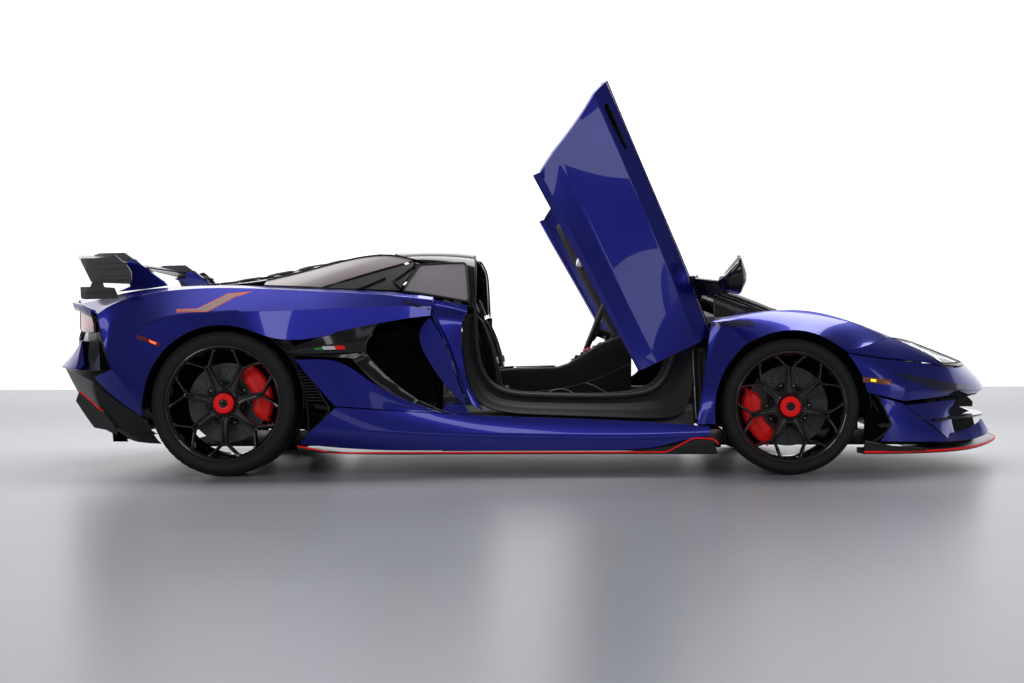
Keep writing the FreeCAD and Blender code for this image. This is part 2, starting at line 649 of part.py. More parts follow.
SKIRT = [
    [(-992, 1014, 144), (-996, 1016, 132), (-985, 960, 116)],
    [(-822, 1006, 112), (-822, 1008, 104), (-820, 940, 98)],
    [(-300, 1000, 114), (-300, 1003, 104), (-300, 930, 98)],
    [(300, 996, 115), (300, 1000, 104), (300, 930, 98)],
    [(700, 996, 114), (705, 1000, 104), (700, 935, 98)],
    [(880, 997, 172), (890, 1003, 104), (880, 945, 98)],
    [(985, 998, 172), (1000, 1003, 106), (985, 950, 98)],
]
# rear quarter, lower front part between the side intake and the sill
LOWQ = [
    [(-1000, 1044, 558), (-930, 1043, 470), (-850, 1040, 380), (-812, 1036, 336)],
    [(-900, 1040, 562), (-850, 1036, 500), (-790, 1030, 400), (-740, 1026, 330)],
    [(-800, 1030, 562), (-750, 1024, 480), (-700, 1018, 390), (-640, 1016, 323)],
    [(-700, 1012, 495), (-650, 1008, 430), (-600, 1004, 360), (-540, 1006, 314)],
    [(-560, 1000, 388), (-530, 998, 355), (-490, 994, 325), (-440, 998, 307)],
    [(-330, 984, 303), (-300, 981, 300), (-270, 976, 296), (-240, 974, 294)],
]
BUTTRESS = [
    [(-1210, 742, 920), (-1205, 715, 935), (-1200, 690, 948)],
    [(-1090, 768, 915), (-1060, 722, 955), (-1035, 668, 982)],
    [(-1000, 785, 911), (-915, 715, 985), (-830, 635, 1052)],
    [(-940, 790, 908), (-750, 705, 1005), (-590, 600, 1092)],
    [(-920, 790, 906), (-690, 715, 985), (-472, 650, 1046)],
]
# panel behind the side glass, under the front edge of the buttress
LOUVRE = [
    [(-896, 794, 906), (-690, 730, 972), (-474, 660, 1035)],
    [(-700, 820, 897), (-590, 766, 943), (-456, 684, 1025)],
    [(-520, 844, 888), (-496, 789, 946), (-446, 708, 1013)],
]
# recess behind the door: shut edge, step, floor, edge of the doorway frame
JAMB = [
    [(-352, 858, 851), (-349, 844, 844), (-262, 835, 834), (-190, 830, 816)],
    [(-355, 884, 838), (-348, 845, 810), (-262, 835, 796), (-192, 821, 784)],
    [(-358, 911, 811), (-346, 870, 788), (-266, 862, 780), (-198, 845, 764)],
    [(-361, 928, 764), (-336, 888, 752), (-270, 882, 748), (-212, 870, 742)],
    [(-299, 942, 672), (-286, 900, 668), (-254, 892, 666), (-222, 882, 663)],
    [(-258, 950, 560), (-246, 908, 556), (-228, 901, 548), (-210, 893, 540)],
    [(-224, 957, 450), (-212, 916, 446), (-196, 911, 425), (-179, 907, 402)],
    [(-178, 965, 348), (-164, 936, 336), (-138, 936, 322), (-106, 936, 304)],
]
# wall of the side intake behind the shut line
INWALL = [
    [(-366, 926, 757), (-370, 922, 754), (-376, 918, 751)],
    [(-306, 938, 672), (-380, 920, 675), (-455, 893, 682)],
    [(-266, 946, 560), (-320, 928, 545), (-372, 905, 530)],
    [(-232, 953, 450), (-262, 940, 435), (-294, 925, 420)],
    [(-188, 962, 344), (-194, 958, 340), (-202, 953, 336)],
]
QWINDOW = [
    [(-505, 846, 884), (-480, 790, 950), (-432, 706, 1020)],
    [(-340, 848, 862), (-330, 775, 950), (-318, 690, 1030)],
    [(-180, 846, 830), (-190, 772, 930), (-204, 676, 1032)],
]
HOOP = [
    # across: from the foot at the side to the centre; along: front to rear
    [(-158, 812, 800), (-160, 738, 940), (-160, 636, 1044), (-175, 545, 1080), (-185, 300, 1098), (-190, 0, 1104)],
    [(-180, 816, 810), (-182, 742, 948), (-215, 645, 1054), (-262, 556, 1094), (-280, 300, 1112), (-285, 0, 1118)],
    [(-200, 817, 816), (-206, 735, 950), (-310, 640, 1050), (-402, 565, 1094), (-430, 300, 1122), (-440, 0, 1129)],
    [(-218, 816, 818), (-224, 724, 952), (-410, 625, 1044), (-590, 556, 1084), (-600, 300, 1112), (-605, 0, 1118)],
]
ENGINE_COVER = [
    [(-625, 560, 1078), (-625, 300, 1104), (-625, 0, 1110)],
    [(-850, 600, 1040), (-850, 320, 1078), (-850, 0, 1084)],
    [(-1080, 640, 970), (-1080, 330, 1036), (-1080, 0, 1044)],
    [(-1320, 655, 932), (-1320, 330, 980), (-1320, 0, 990)],
    [(-1560, 620, 920), (-1560, 320, 944), (-1560, 0, 952)],
    [(-1740, 585, 912), (-1740, 310, 926), (-1740, 0, 932)],
]
TAIL_DECK = [
    [(-1752, 580, 908), (-1752, 310, 922), (-1752, 0, 928)],
    [(-1880, 590, 896), (-1880, 310, 908), (-1880, 0, 912)],
    [(-2010, 595, 876), (-2020, 310, 894), (-2030, 0, 898)],
    [(-2130, 602, 846), (-2200, 310, 874), (-2220, 0, 880)],
    [(-2155, 604, 838), (-2285, 305, 866), (-2318, 0, 872)],
]
# tail panel between the deck and the diffuser, from the side to the centre
TAIL = [
    [(-1983, 934, 768), (-1960, 950, 700), (-1930, 958, 610), (-1908, 962, 524)],
    [(-2040, 830, 790), (-2035, 845, 700), (-2075, 850, 600), (-2040, 850, 506)],
    [(-2130, 640, 818), (-2110, 650, 715), (-2170, 640, 610), (-2160, 660, 520)],
    [(-2235, 420, 832), (-2190, 420, 730), (-2250, 420, 620), (-2290, 430, 524)],
    [(-2280, 210, 846), (-2205, 210, 740), (-2225, 210, 625), (-2345, 215, 522)],
    [(-2290, 0, 850), (-2200, 0, 742), (-2200, 0, 626), (-2360, 0, 520)],
]
# lower corner behind the rear wheel
REARCORNER = [
    [(-1904, 962, 514), (-1820, 985, 460), (-1738, 1014, 408)],
    [(-1990, 905, 482), (-1880, 960, 420), (-1737, 1012, 345)],
    [(-2010, 880, 474), (-1905, 938, 372), (-1738, 1006, 285)],
]
DIFFUSER = [
    [(-1716, 1000, 274), (-1692, 994, 206), (-1674, 985, 172), (-1672, 900, 150)],
    [(-1895, 930, 352), (-1880, 930, 262), (-1845, 925, 192), (-1780, 860, 150)],
    [(-2018, 870, 455), (-2010, 860, 330), (-1945, 850, 222), (-1840, 800, 158)],
    [(-2200, 600, 492), (-2180, 600, 350), (-2090, 600, 235), (-1900, 600, 165)],
    [(-2330, 330, 506), (-2290, 330, 360), (-2180, 330, 240), (-1950, 330, 168)],
    [(-2420, 100, 512), (-2330, 100, 362), (-2200, 100, 240), (-1960, 100, 168)],
    [(-2432, 0, 512), (-2335, 0, 362), (-2205, 0, 240), (-1962, 0, 168)],
]
WSHIELD = [
    [(1292, 660, 778), (1112, 612, 858), (760, 545, 986), (400, 470, 1090)],
    [(1370, 428, 780), (1172, 400, 874), (790, 350, 1006), (412, 300, 1112)],
    [(1416, 214, 781), (1210, 200, 882), (815, 180, 1016), (420, 150, 1122)],
    [(1430, 0, 782), (1222, 0, 885), (822, 0, 1019), (422, 0, 1125)],
]
REF = (0.0, 0.0, 350.0)


def refs(s, x, w, z):
    return (x, s * w, z)


def door_t(u, v, p):
    # thin at the rear, bottom and front lips, full depth in the middle
    e = min(1.0, u / 0.22, (1.0 - v) / 0.22)
    return 26.0 + (DIM["door_thick"] - 26.0) * max(0.0, e)


T = DIM["panel_thick"]
for _s, _t in ((1, "left"), (-1, "right")):
    feature("front_fender_" + _t, [thick(side(FENDER, _s), T, refs(_s, 1350, 500, 300), ucr=(4,), vcr=(3,)),
                                   thick(side(TONGUE, _s), T, refs(_s, 1700, 500, 300), vcr=(3,), mitre=[0.0, 0.0, 0.6, 0.3])])
    feature("side_sill_" + _t, thick(side(SILL, _s), T, refs(_s, 0, 300, 230), vcr=(1, 3)))
    feature("door_" + _t, thick(side(DOOR, _s), DIM["door_thick"], refs(_s, 300, 300, 560), vcr=(1, 2, 4, 5), gap=3.0,
                                mitre=[0.25, 0.25, 0.0, 0.25], tf=door_t))
    feature("rear_quarter_" + _t, [thick(side(QUARTER, _s), T, refs(_s, -1300, 400, 400), vcr=(1, 2)),
                                   thick(side(LOWQ, _s), T, refs(_s, -700, 300, 400)),
                                   thick(side(JAMB, _s), 4, refs(_s, -250, 300, 500), vcr=(1,), mitre=0.5),
                                   thick(side(INWALL, _s), 4, refs(_s, -250, 300, 500), mitre=0.5)])
feature("front_hood", thick(both(HOOD), DIM["hood_skin"], (1900, 0, 300)))
feature("headlights", [thick(side(HEADLIGHT, s), 22, refs(s, 1900, 400, 300)) for s in (1, -1)])
feature("front_bumper", [thick([[(p[0], -p[1], p[2]) for p in r] for r in BUMPER] +
                               [[(p[0], p[1], p[2]) for p in r] for r in BUMPER[-2::-1]], T, (1700, 0, 300), vcr=(2,), ucr=(2, 14))] +
        [thick(side(CORNER, s), T, refs(s, 1700, 300, 250)) for s in (1, -1)] +
        [thick(side(SWOOSH, s), 5, refs(s, 1700, 300, 250), mitre=0.5) for s in (1, -1)])


def splitter():
    """Thin blade that rises towards the tip, closed behind by a straight edge."""
    rows = []
    for x, w in SPLIT:
        lift = max(0.0, (x - 2150.0) / 350.0)
        zb = 98 + 32 * lift ** 1.6
        rows.append((x, w, zb))
    g = []
    for x, w, z in rows:
        xi = max(1672.0, min(x - 90, 1990 if w < 800 else x - 90))
        wi = w if w < 800 else w - 90
        g.append([(xi, max(0.0, wi), 100.0 if xi < 2100 else z), (0.5 * (xi + x), 0.5 * (wi + w), 0.5 * (100 + z)), (x, w, z)])
    full = [[(p[0], -p[1], p[2]) for p in r] for r in g] + [[(p[0], p[1], p[2]) for p in r] for r in g[-2::-1]]
    return raise_plate(full, 28)


def raise_plate(g, t):
    top = [[(p[0], p[1], p[2] + t) for p in row] for row in g]
    faces = [face_of(g), face_of(top)]
    nu, nv = len(g), len(g[0])
    for j in (0, nv - 1):
        faces.append(face_of([[g[i][j], top[i][j]] for i in range(nu)]))
    for i in (0, nu - 1):
        faces.append(face_of([[g[i][j], top[i][j]] for j in range(nv)]))
    return solid_of(faces)


feature("front_splitter", [splitter(), raise_plate([[(p[0], -p[1], p[2]) for p in r] for r in FBLADE] +
                                                [[(p[0], p[1], p[2]) for p in r] for r in FBLADE[-2::-1]], 11)])
front_ducts = ([prism([(2020, s * 60, 150), (2020, s * 760, 150), (2020, s * 760, 350), (2020, s * 60, 350)],
                                [(2200, s * 60, 150), (2110, s * 720, 150), (2110, s * 700, 350), (2220, s * 60, 350)]) for s in (1, -1)])
feature("side_skirts", [thick(side(SKIRT, s), 10, refs(s, 0, 900, 400), vcr=(1,), mitre=0.5) for s in (1, -1)])
feature("buttresses", [thick(side(BUTTRESS, s), 12, refs(s, -900, 300, 800)) for s in (1, -1)] +
        [thick(side(LOUVRE, s), 6, refs(s, -600, 300, 800)) for s in (1, -1)])
feature("rear_hoop", thick(both(HOOP), 26, (-350, 0, 700), ucr=()))
feature("engine_cover", thick(both(ENGINE_COVER), DIM["hood_skin"], (-1200, 0, 500)))
feature("tail_deck", thick(both(TAIL_DECK), T, (-1900, 0, 500)))
feature("rear_bumper", [thick([[(p[0], -p[1], p[2]) for p in r] for r in TAIL] + [[(p[0], p[1], p[2]) for p in r] for r in TAIL[-2::-1]],
                              T, (-1700, 0, 600), ucr=(1, 9))] + [thick(side(REARCORNER, s), T, refs(s, -1600, 500, 400)) for s in (1, -1)] +
        [prism([(-2080, s * 850, 645), (-2064, s * 850, 532), (-2092, s * 850, 508), (-2150, s * 850, 522)],
               [(-2205, s * 660, 650), (-2196, s * 660, 534), (-2210, s * 660, 510), (-2262, s * 660, 522)]) for s in (1, -1)])
feature("diffuser", thick([[(p[0], -p[1], p[2]) for p in r] for r in DIFFUSER] + [[(p[0], p[1], p[2]) for p in r] for r in DIFFUSER[-2::-1]],
                          T, (-1500, 0, 600), ucr=(2, 10)))
# windshield frame: two pillars, the header, the cowl and the shelves beside it
COWL = [
    [(1308, 672, 770), (1384, 432, 772), (1430, 216, 773), (1444, 0, 774)],
    [(1340, 674, 765), (1396, 466, 765), (1456, 230, 765), (1482, 0, 763)],
]
SHELF = [
    [(1004, 868, 736), (1008, 800, 748), (1010, 746, 750)],
    [(1110, 790, 772), (1116, 760, 768), (1120, 734, 764)],
    [(1220, 752, 781), (1224, 736, 778), (1228, 722, 775)],
]
QLIGHT = [(1012, 736, 756), (1240, 710, 786), (1018, 660, 852)]

feature("windows", [thick([[(p[0], -p[1], p[2]) for p in r] for r in WSHIELD] + [[(p[0], p[1], p[2]) for p in r] for r in WSHIELD[-2::-1]],
                          6, (600, 0, 400))] + [thick(side(QWINDOW, s), 5, refs(s, -300, 300, 800)) for s in (1, -1)] +
        [prism([(x, s * w, z) for x, w, z in QLIGHT], [(x, s * (w - 5), z) for x, w, z in QLIGHT]) for s in (1, -1)])

PIL = [(1292, 704, 776), (1112, 655, 858), (760, 588, 988), (396, 512, 1090)]


def pillar(s):
    secs = []
    for x, w, z in PIL:
        k = 1.0 if x > 500 else 0.9
        secs.append([(x - 14, s * (w + 4), z - 26), (x + 4, s * (w - 36 * k), z - 8), (x + 18, s * (w - 34 * k), z + 24), (x + 2, s * (w + 4), z + 14)])
    return loft_ring(secs)


def loft_ring(secs, caps=True):
    """Solid through several quadrilateral sections (smooth along, ruled around)."""
    n = len(secs[0])
    faces = []
    for k in range(n):
        faces.append(face_of([[s[k], s[(k + 1) % n]] for s in secs]))
    for s in (secs[0], secs[-1]):
        faces += cap(s)
    return solid_of(faces)


hdr = [[(390, -474, 1068), (386, -474, 1102), (354, -474, 1102), (358, -474, 1068)],
       [(404, -250, 1092), (400, -250, 1126), (362, -250, 1126), (366, -250, 1092)],
       [(408, 0, 1096), (404, 0, 1132), (366, 0, 1132), (370, 0, 1096)],
       [(404, 250, 1092), (400, 250, 1126), (362, 250, 1126), (366, 250, 1092)],
       [(390, 474, 1068), (386, 474, 1102), (354, 474, 1102), (358, 474, 1068)]]
feature("windshield_frame", [pillar(1), pillar(-1), loft_ring(hdr), thick(both(COWL), 4, (1300, 0, 300))] +
        [thick(side(SHELF, s), 4, refs(s, 1100, 600, 500)) for s in (1, -1)])

# ---------------------------------------------------------------- tub
def box(name, x0, y0, z0, x1, y1, z1):
    o = prim("Box", name, Length=x1 - x0, Width=y1 - y0, Height=z1 - z0)
    o.Placement = FreeCAD.Placement(FreeCAD.Vector(x0 + SX, y0, z0), FreeCAD.Rotation())
    return o


fl = box("floor_pan", -318, -688, 108, 1050, 688, 142)
bind(fl, "Height", "sheet.floor_thick")
bind(fl, "Placement.Base.z", "sheet.floor_z")
un = doc.addObject("Part::Compound", "floor_panels")
un.Links = [fl, box("underbody_rear", -1690, -560, 112, -358, 560, 130), box("underbody_nose", 1052, -540, 112, 1985, 540, 130)]
publish(un, "floor_panels")


def sill_beam(s):
    sec = [(692, 112), (900, 112), (905, 235), (872, 300), (800, 334), (792, 376), (572, 378), (572, 150), (692, 150)]
    r0 = [(-318, s * w, z) for w, z in sec]
    r1 = [(900, s * w, z) for w, z in sec]
    return prism(r0, r1)


feature("sill_beams", [sill_beam(1), sill_beam(-1)])
feature("doorway_frames", [thick(side([
    [(-188, 844, 768), (-170, 822, 776), (-150, 800, 782)],
    [(-207, 866, 735), (-174, 834, 728), (-147, 802, 716)],
    [(-214, 880, 663), (-180, 842, 640), (-140, 802, 610)],
    [(-203, 892, 540), (-160, 850, 520), (-118, 804, 500)],
    [(-172, 906, 400), (-115, 866, 400), (-60, 812, 425)],
    [(-100, 935, 300), (-50, 884, 338), (50, 812, 398)],
    [(200, 935, 288), (200, 884, 330), (200, 812, 392)],
    [(541, 935, 276), (541, 884, 324), (480, 812, 384)],
    [(785, 928, 264), (740, 884, 330), (690, 800, 410)],
    [(880, 888, 300), (830, 850, 400), (752, 790, 500)],
    [(905, 850, 470), (860, 812, 540), (790, 780, 600)],
    [(915, 806, 610), (880, 786, 650), (835, 770, 680)]], s), 8, refs(s, 300, 300, 560), mitre=0.3) for s in (1, -1)])
bulk = fuse("bulkhead_rear_wall", [box("bulk_low", -352, -770, 112, -322, 770, 700), box("bulk_high", -352, -700, 700, -322, 700, 860)])
bf = box("firewall", 1164, -600, 150, 1186, 600, 690)
ub = fuse("tub_plates", [bulk, bf])
publish(ub, "bulkheads")

tub_o = box("luggage_outer", 1200, -430, 240, 2010, 430, 600)
tub_i = box("luggage_inner", 1212, -418, 252, 1998, 418, 640)
lug = doc.addObject("Part::Cut", "luggage_tub")
lug.Base, lug.Tool = tub_o, tub_i
publish(lug, "luggage_tub")

# towing eye socket between the two front ducts, carried by the luggage tub
tw = prim("Cylinder", "tow_socket_tube", Radius=18, Height=189.5)
tw.Placement = FreeCAD.Placement(FreeCAD.Vector(2010.5 + SX, 0, 300), FreeCAD.Rotation(FreeCAD.Vector(0, 1, 0), 90))
twb = prim("Cylinder", "tow_socket_bore", Radius="sheet.tow_eye_radius", Height="sheet.tow_eye_depth")
twb.Placement = FreeCAD.Placement(FreeCAD.Vector(2160 + SX, 0, 300), FreeCAD.Rotation(FreeCAD.Vector(0, 1, 0), 90))
twc = doc.addObject("Part::Cut", "tow_eye_socket")
twc.Base, twc.Tool = tw, twb
publish(twc, "tow_eye_socket")

eng = box("engine", -1250, -310, 180, -350 - 20, 310, 740)
bind(eng, "Width", "sheet.engine_wide")
bind(eng, "Height", "sheet.engine_high")
publish(eng, "engine")


def liner(cx, cz, r, w0, w1, a0, a1, s, n=14):
    """Wheel arch liner: arched sheet from a0 to a1 degrees."""
    g = []
    for i in range(n + 1):
        a = math.radians(a0 + (a1 - a0) * i / n)
        g.append([(cx + r * math.cos(a), s * w0, cz + r * math.sin(a)), (cx + r * math.cos(a), s * 0.5 * (w0 + w1), cz + r * math.sin(a)),
                  (cx + r * math.cos(a), s * w1, cz + r * math.sin(a))])
    return thick_in(g, 4, (cx, cz))


def thick_in(g, t, c):
    inner = []
    for row in g:
        r = []
        for p in row:
            d = unit((p[0] - c[0], 0.0, p[2] - c[1]))
            r.append(add(p, d, t))
        inner.append(r)
    nu, nv = len(g), len(g[0])
    faces = [face_of(g), face_of(inner)]
    for j in (0, nv - 1):
        faces.append(face_of([[g[i][j], inner[i][j]] for i in range(nu)]))
    for i in (0, nu - 1):
        faces.append(face_of([[g[i][j], inner[i][j]] for j in range(nv)]))
    return solid_of(faces)


feature("wheel_liners", [liner(1350, 324, 394, 702, 925, 14, 170, s) for s in (1, -1)] +
        [liner(-1350, 349, 396, 650, 975, 12, 170, s) for s in (1, -1)])
feature("wishbones", arms("front", 1) + arms("front", -1) + arms("rear", 1) + arms("rear", -1))

# rear calipers and uprights do not steer: each pair is one node
rc = doc.addObject("Part::Compound", "calipers_rear")
rc.Links = [_a, _b]
publish(rc, "calipers_rear")
ru = doc.addObject("Part::Compound", "uprights_rear")
ru.Links = _ur
publish(ru, "uprights_rear")

# ---------------------------------------------------------------- side intakes, lights, exhaust, wing


def intake(s):
    """Black duct behind the door: a sloping back wall and the blade under the shoulder."""
    duct = prism([(-640, s * 890, 690), (-715, s * 930, 600), (-640, s * 935, 480), (-500, s * 925, 380), (-330, s * 890, 345), (-400, s * 850, 640)],
                 [(-640, s * 860, 690), (-715, s * 900, 600), (-640, s * 905, 480), (-500, s * 895, 380), (-330, s * 860, 345), (-400, s * 820, 640)])
    up = loft_ring([[(-612, s * 962, 722), (-612, s * 968, 716), (-640, s * 955, 690), (-640, s * 948, 696)],
                    [(-780, s * 990, 682), (-780, s * 1000, 672), (-720, s * 985, 608), (-720, s * 976, 616)],
                    [(-905, s * 1015, 640), (-905, s * 1024, 632), (-850, s * 1010, 576), (-850, s * 1000, 584)],
                    [(-1010, s * 1032, 606), (-1010, s * 1040, 600), (-1010, s * 1034, 576), (-1010, s * 1026, 582)]])
    low = loft_ring([[(-650, s * 955, 676), (-650, s * 965, 668), (-700, s * 978, 600), (-700, s * 968, 606)],
                     [(-668, s * 965, 590), (-668, s * 976, 586), (-748, s * 1006, 548), (-748, s * 996, 552)],
                     [(-575, s * 956, 462), (-575, s * 968, 458), (-640, s * 990, 450), (-640, s * 980, 456)],
                     [(-440, s * 950, 362), (-440, s * 962, 358), (-480, s * 975, 342), (-480, s * 966, 346)],
                     [(-215, s * 950, 297), (-215, s * 958, 295), (-215, s * 960, 288), (-215, s * 952, 289)]])
    front = [(-1010, 546), (-946, 470), (-868, 372), (-829, 334), (-880, 272), (-937, 226), (-968, 192), (-1002, 160)]
    rear = [(-1014, 176), (-985, 222), (-966, 280), (-961, 340), (-966, 400), (-985, 470)]
    vent = prism([(x, s * 1026, z) for x, z in front + rear], [(x, s * 1004, z) for x, z in front + rear])
    nose = [(1702, 378), (1742, 374), (1790, 300), (1808, 243), (1778, 192), (1752, 158), (1699, 162)]
    blade = prism([(x, s * 958, z) for x, z in nose], [(x, s * 930, z) for x, z in nose])
    return [duct, up, low, vent, blade]


feature("air_intakes", front_ducts + intake(1) + intake(-1))
feature("taillights", [thick(side([[(-2003, 925, 762), (-1990, 936, 728), (-1986, 947, 694)], [(-2058, 835, 782), (-2062, 842, 735), (-2062, 850, 690)],
                                   [(-2150, 650, 806), (-2152, 655, 750), (-2146, 660, 706)]], s), 10, refs(s, -1500, 300, 600)) for s in (1, -1)])
ex = prim("Cylinder", "exhaust_tube", Radius=62, Height=66)
ex.Placement = FreeCAD.Placement(FreeCAD.Vector(-2286 + SX, 0, 648), FreeCAD.Rotation(FreeCAD.Vector(0, 1, 0), -90))
exi = prim("Cylinder", "exhaust_bore", Radius=54, Height=60)
exi.Placement = FreeCAD.Placement(FreeCAD.Vector(-2298 + SX, 0, 648), FreeCAD.Rotation(FreeCAD.Vector(0, 1, 0), -90))
exc = doc.addObject("Part::Cut", "exhaust")
exc.Base, exc.Tool = ex, exi
publish(exc, "exhaust")

WING = [
    [(-2062, 892, 1052), (-1950, 892, 1060), (-1835, 892, 1030)],
    [(-2150, 650, 1082), (-2040, 650, 1088), (-1920, 650, 1052)],
    [(-2270, 350, 1100), (-2150, 350, 1106), (-2020, 350, 1066)],
    [(-2360, 0, 1106), (-2230, 0, 1112), (-2090, 0, 1070)],
]
feature("rear_wing", thick([[(p[0], -p[1], p[2]) for p in r] for r in WING] + [[(p[0], p[1], p[2]) for p in r] for r in WING[-2::-1]],
                           22, (-2100, 0, 500), gap=0.0, mitre=[0, 0, 0.6, 0.6]))


def wing_mount(s):
    """End plate and the swept pylon down to the tail."""
    plate = prism([(-2066, s * 895, 1046), (-1900, s * 895, 1072), (-1817, s * 895, 1006), (-1815, s * 895, 944), (-2012, s * 895, 932)],
                  [(-2066, s * 909, 1046), (-1900, s * 909, 1072), (-1817, s * 909, 1006), (-1815, s * 909, 944), (-2012, s * 909, 932)])
    side_view = [(-1924, 1090), (-1845, 1030), (-1735, 951), (-1716, 930), (-1829, 912), (-1975, 898), (-1908, 926), (-1925, 985), (-2000, 1014), (-2000, 1022), (-1926, 1018)]
    pyl = prism([(x, s * 592, z) for x, z in side_view], [(x, s * 618, z) for x, z in side_view])
    fin = [(-2072, 915), (-2020, 914), (-2015, 936), (-1960, 938), (-1955, 912), (-1903, 910), (-1896, 872), (-2068, 852)]
    low = prism([(x, s * 881, z) for x, z in fin], [(x, s * 895, z) for x, z in fin])
    return [plate, pyl, low]


feature("wing_mounts", wing_mount(1) + wing_mount(-1))

# ---------------------------------------------------------------- cabin
def seat(s):
    y = DIM["seat_half_y"]

    def sec(x, z, hw, tx, tz):
        return [(x, s * y - hw, z), (x, s * y + hw, z), (x + tx, s * y + hw, z + tz), (x + tx, s * y - hw, z + tz)]
    base = loft_ring([sec(430, 205, 195, 0, 105), sec(250, 165, 210, 0, 125), sec(60, 150, 210, 0, 130), sec(-60, 150, 205, 0, 140)])
    back = loft_ring([sec(-64, 170, 205, -140, 30), sec(-100, 450, 210, -110, 10), sec(-150, 700, 195, -90, 5), sec(-185, 880, 120, -80, 5)])
    return [base, back]


for _s, _t in ((1, "left"), (-1, "right")):
    feature("seat_" + _t, seat(_s))
feature("centre_console", loft_ring([
    [(-300, -118, 150), (-300, 118, 150), (-300, 100, 470), (-300, -100, 470)],
    [(0, -118, 150), (0, 118, 150), (0, 98, 498), (0, -98, 498)],
    [(240, -120, 150), (240, 120, 150), (240, 100, 500), (240, -100, 500)],
    [(430, -125, 150), (430, 125, 150), (470, 120, 640), (470, -120, 640)],
    [(640, -130, 150), (640, 130, 150), (640, 130, 700), (640, -130, 700)]]))
feature("dashboard", [loft_ring([
    [(650, s * 134, 520), (640, s * 134, 760), (1150, s * 134, 770), (1150, s * 134, 520)],
    [(650, s * 360, 560), (640, s * 360, 775), (1150, s * 360, 765), (1150, s * 360, 540)],
    [(700, s * 560, 560), (690, s * 560, 755), (1150, s * 560, 745), (1150, s * 560, 540)],
    [(760, s * 690, 560), (760, s * 690, 735), (935, s * 690, 735), (935, s * 690, 540)]]) for s in (1, -1)])
# steering wheel, left-hand side, tilted towards the driver
sw_place = FreeCAD.Placement(FreeCAD.Vector(452 + SX, 370, 700), FreeCAD.Rotation(FreeCAD.Vector(0, 1, 0), -68))
swr = prim("Torus", "steering_rim", Radius1="sheet.steer_wheel_radius", Radius2="sheet.steer_rim_section")
swr.Placement = sw_place
swh = prim("Cylinder", "steering_boss", Radius=62, Height=46)
swh.Placement = sw_place.multiply(FreeCAD.Placement(FreeCAD.Vector(0, 0, -30), FreeCAD.Rotation()))
swk = []
for _k, _ang in enumerate((0, 120, 240)):
    b = prim("Box", "steering_spoke%d" % _k, Length=130, Width=34, Height=14)
    b.Placement = sw_place.multiply(FreeCAD.Placement(FreeCAD.Vector(0, 0, 0), FreeCAD.Rotation(FreeCAD.Vector(0, 0, 1), _ang + 180))).multiply(
        FreeCAD.Placement(FreeCAD.Vector(45, -17, -10), FreeCAD.Rotation()))
    swk.append(b)
swc = prim("Cylinder", "steering_column", Radius=26, Height=170)
swc.Placement = sw_place.multiply(FreeCAD.Placement(FreeCAD.Vector(0, 0, -198), FreeCAD.Rotation()))
publish(fuse("steering_wheel", [swr, swh, swc] + swk), "steering_wheel")

# mirrors, on the doors
MIRROR_ARM = [
    [(691, 850, 808), (776, 866, 802), (780, 866, 782), (691, 850, 792)],
    [(709, 906, 836), (784, 924, 826), (789, 926, 810), (709, 906, 818)],
    [(745, 1003, 888), (800, 1005, 878), (802, 1005, 860), (745, 1003, 868)],
]
MIRROR_HEAD = [
    [(753, 959, 876), (723, 971, 954), (770, 981, 944), (789, 983, 933), (810, 981, 903), (782, 966, 872)],
    [(726, 982, 848), (668, 1003, 993), (757, 1022, 974), (792, 1026, 953), (831, 1022, 898), (779, 995, 841)],
    [(709, 1028, 837), (647, 1051, 993), (743, 1071, 972), (780, 1075, 950), (822, 1071, 891), (767, 1042, 830)],
    [(702, 1085, 839), (653, 1104, 964), (730, 1120, 947), (759, 1123, 930), (793, 1120, 882), (749, 1096, 834)],
    [(709, 1119, 859), (681, 1129, 930), (724, 1138, 920), (741, 1140, 911), (760, 1138, 884), (735, 1125, 856)],
]


def mirror(s):
    arm = loft_ring([[(x, s * w, z) for x, w, z in ring] for ring in MIRROR_ARM])
    head = loft_ring([[(x, s * w, z) for x, w, z in ring] for ring in MIRROR_HEAD])
    return arm, head


OPEN = DIM["door_open_deg"]


def open_door(o, s):
    """Stored raised, as the photographed car stands: turned about the hinge."""
    t = math.radians(18.85)
    tx = math.radians(-4.41)
    n = unit((-s * math.tan(tx), math.cos(t), -s * math.sin(t)))
    c = FreeCAD.Vector(DIM["door_hinge_x"], s * 800.0, DIM["door_hinge_z"])
    r = FreeCAD.Rotation(V(n), OPEN)
    q = FreeCAD.Placement(c, r).multiply(FreeCAD.Placement(c.negative(), FreeCAD.Rotation()))
    shift = FreeCAD.Placement(FreeCAD.Vector(SX, 0, 0), FreeCAD.Rotation())
    o.setExpression("Placement.Base.x", None)
    o.Placement = shift.multiply(q)
    return n


for _s, _t in ((1, "left"), (-1, "right")):
    a, h = mirror(_s)
    feature("mirror_" + _t, [a.fuse(h)])

for o in parts_made:
    for _s, _t in ((1, "left"), (-1, "right")):
        if o.Label in ("door_" + _t, "mirror_" + _t):
            N = open_door(o, _s)

doc.recompute()

# ---------------------------------------------------------------- checks and export
bad = [o.Name + ":" + ",".join(o.State) for o in doc.Objects if "Invalid" in o.State or "Error" in o.State]
if bad:
    raise RuntimeError("failed objects: " + "; ".join(bad))
for o in parts_made:
    if o.Shape.isNull() or not o.Shape.isValid():
        raise RuntimeError("bad shape: " + o.Label)
os.makedirs("parts", exist_ok=True)
for o in parts_made:
    o.Shape.exportStep(os.path.join("parts", o.Label + ".step"))
print("wrote %d parts" % len(parts_made))
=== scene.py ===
import bpy, bmesh, math, json
import numpy as np
from mathutils import Vector, Matrix


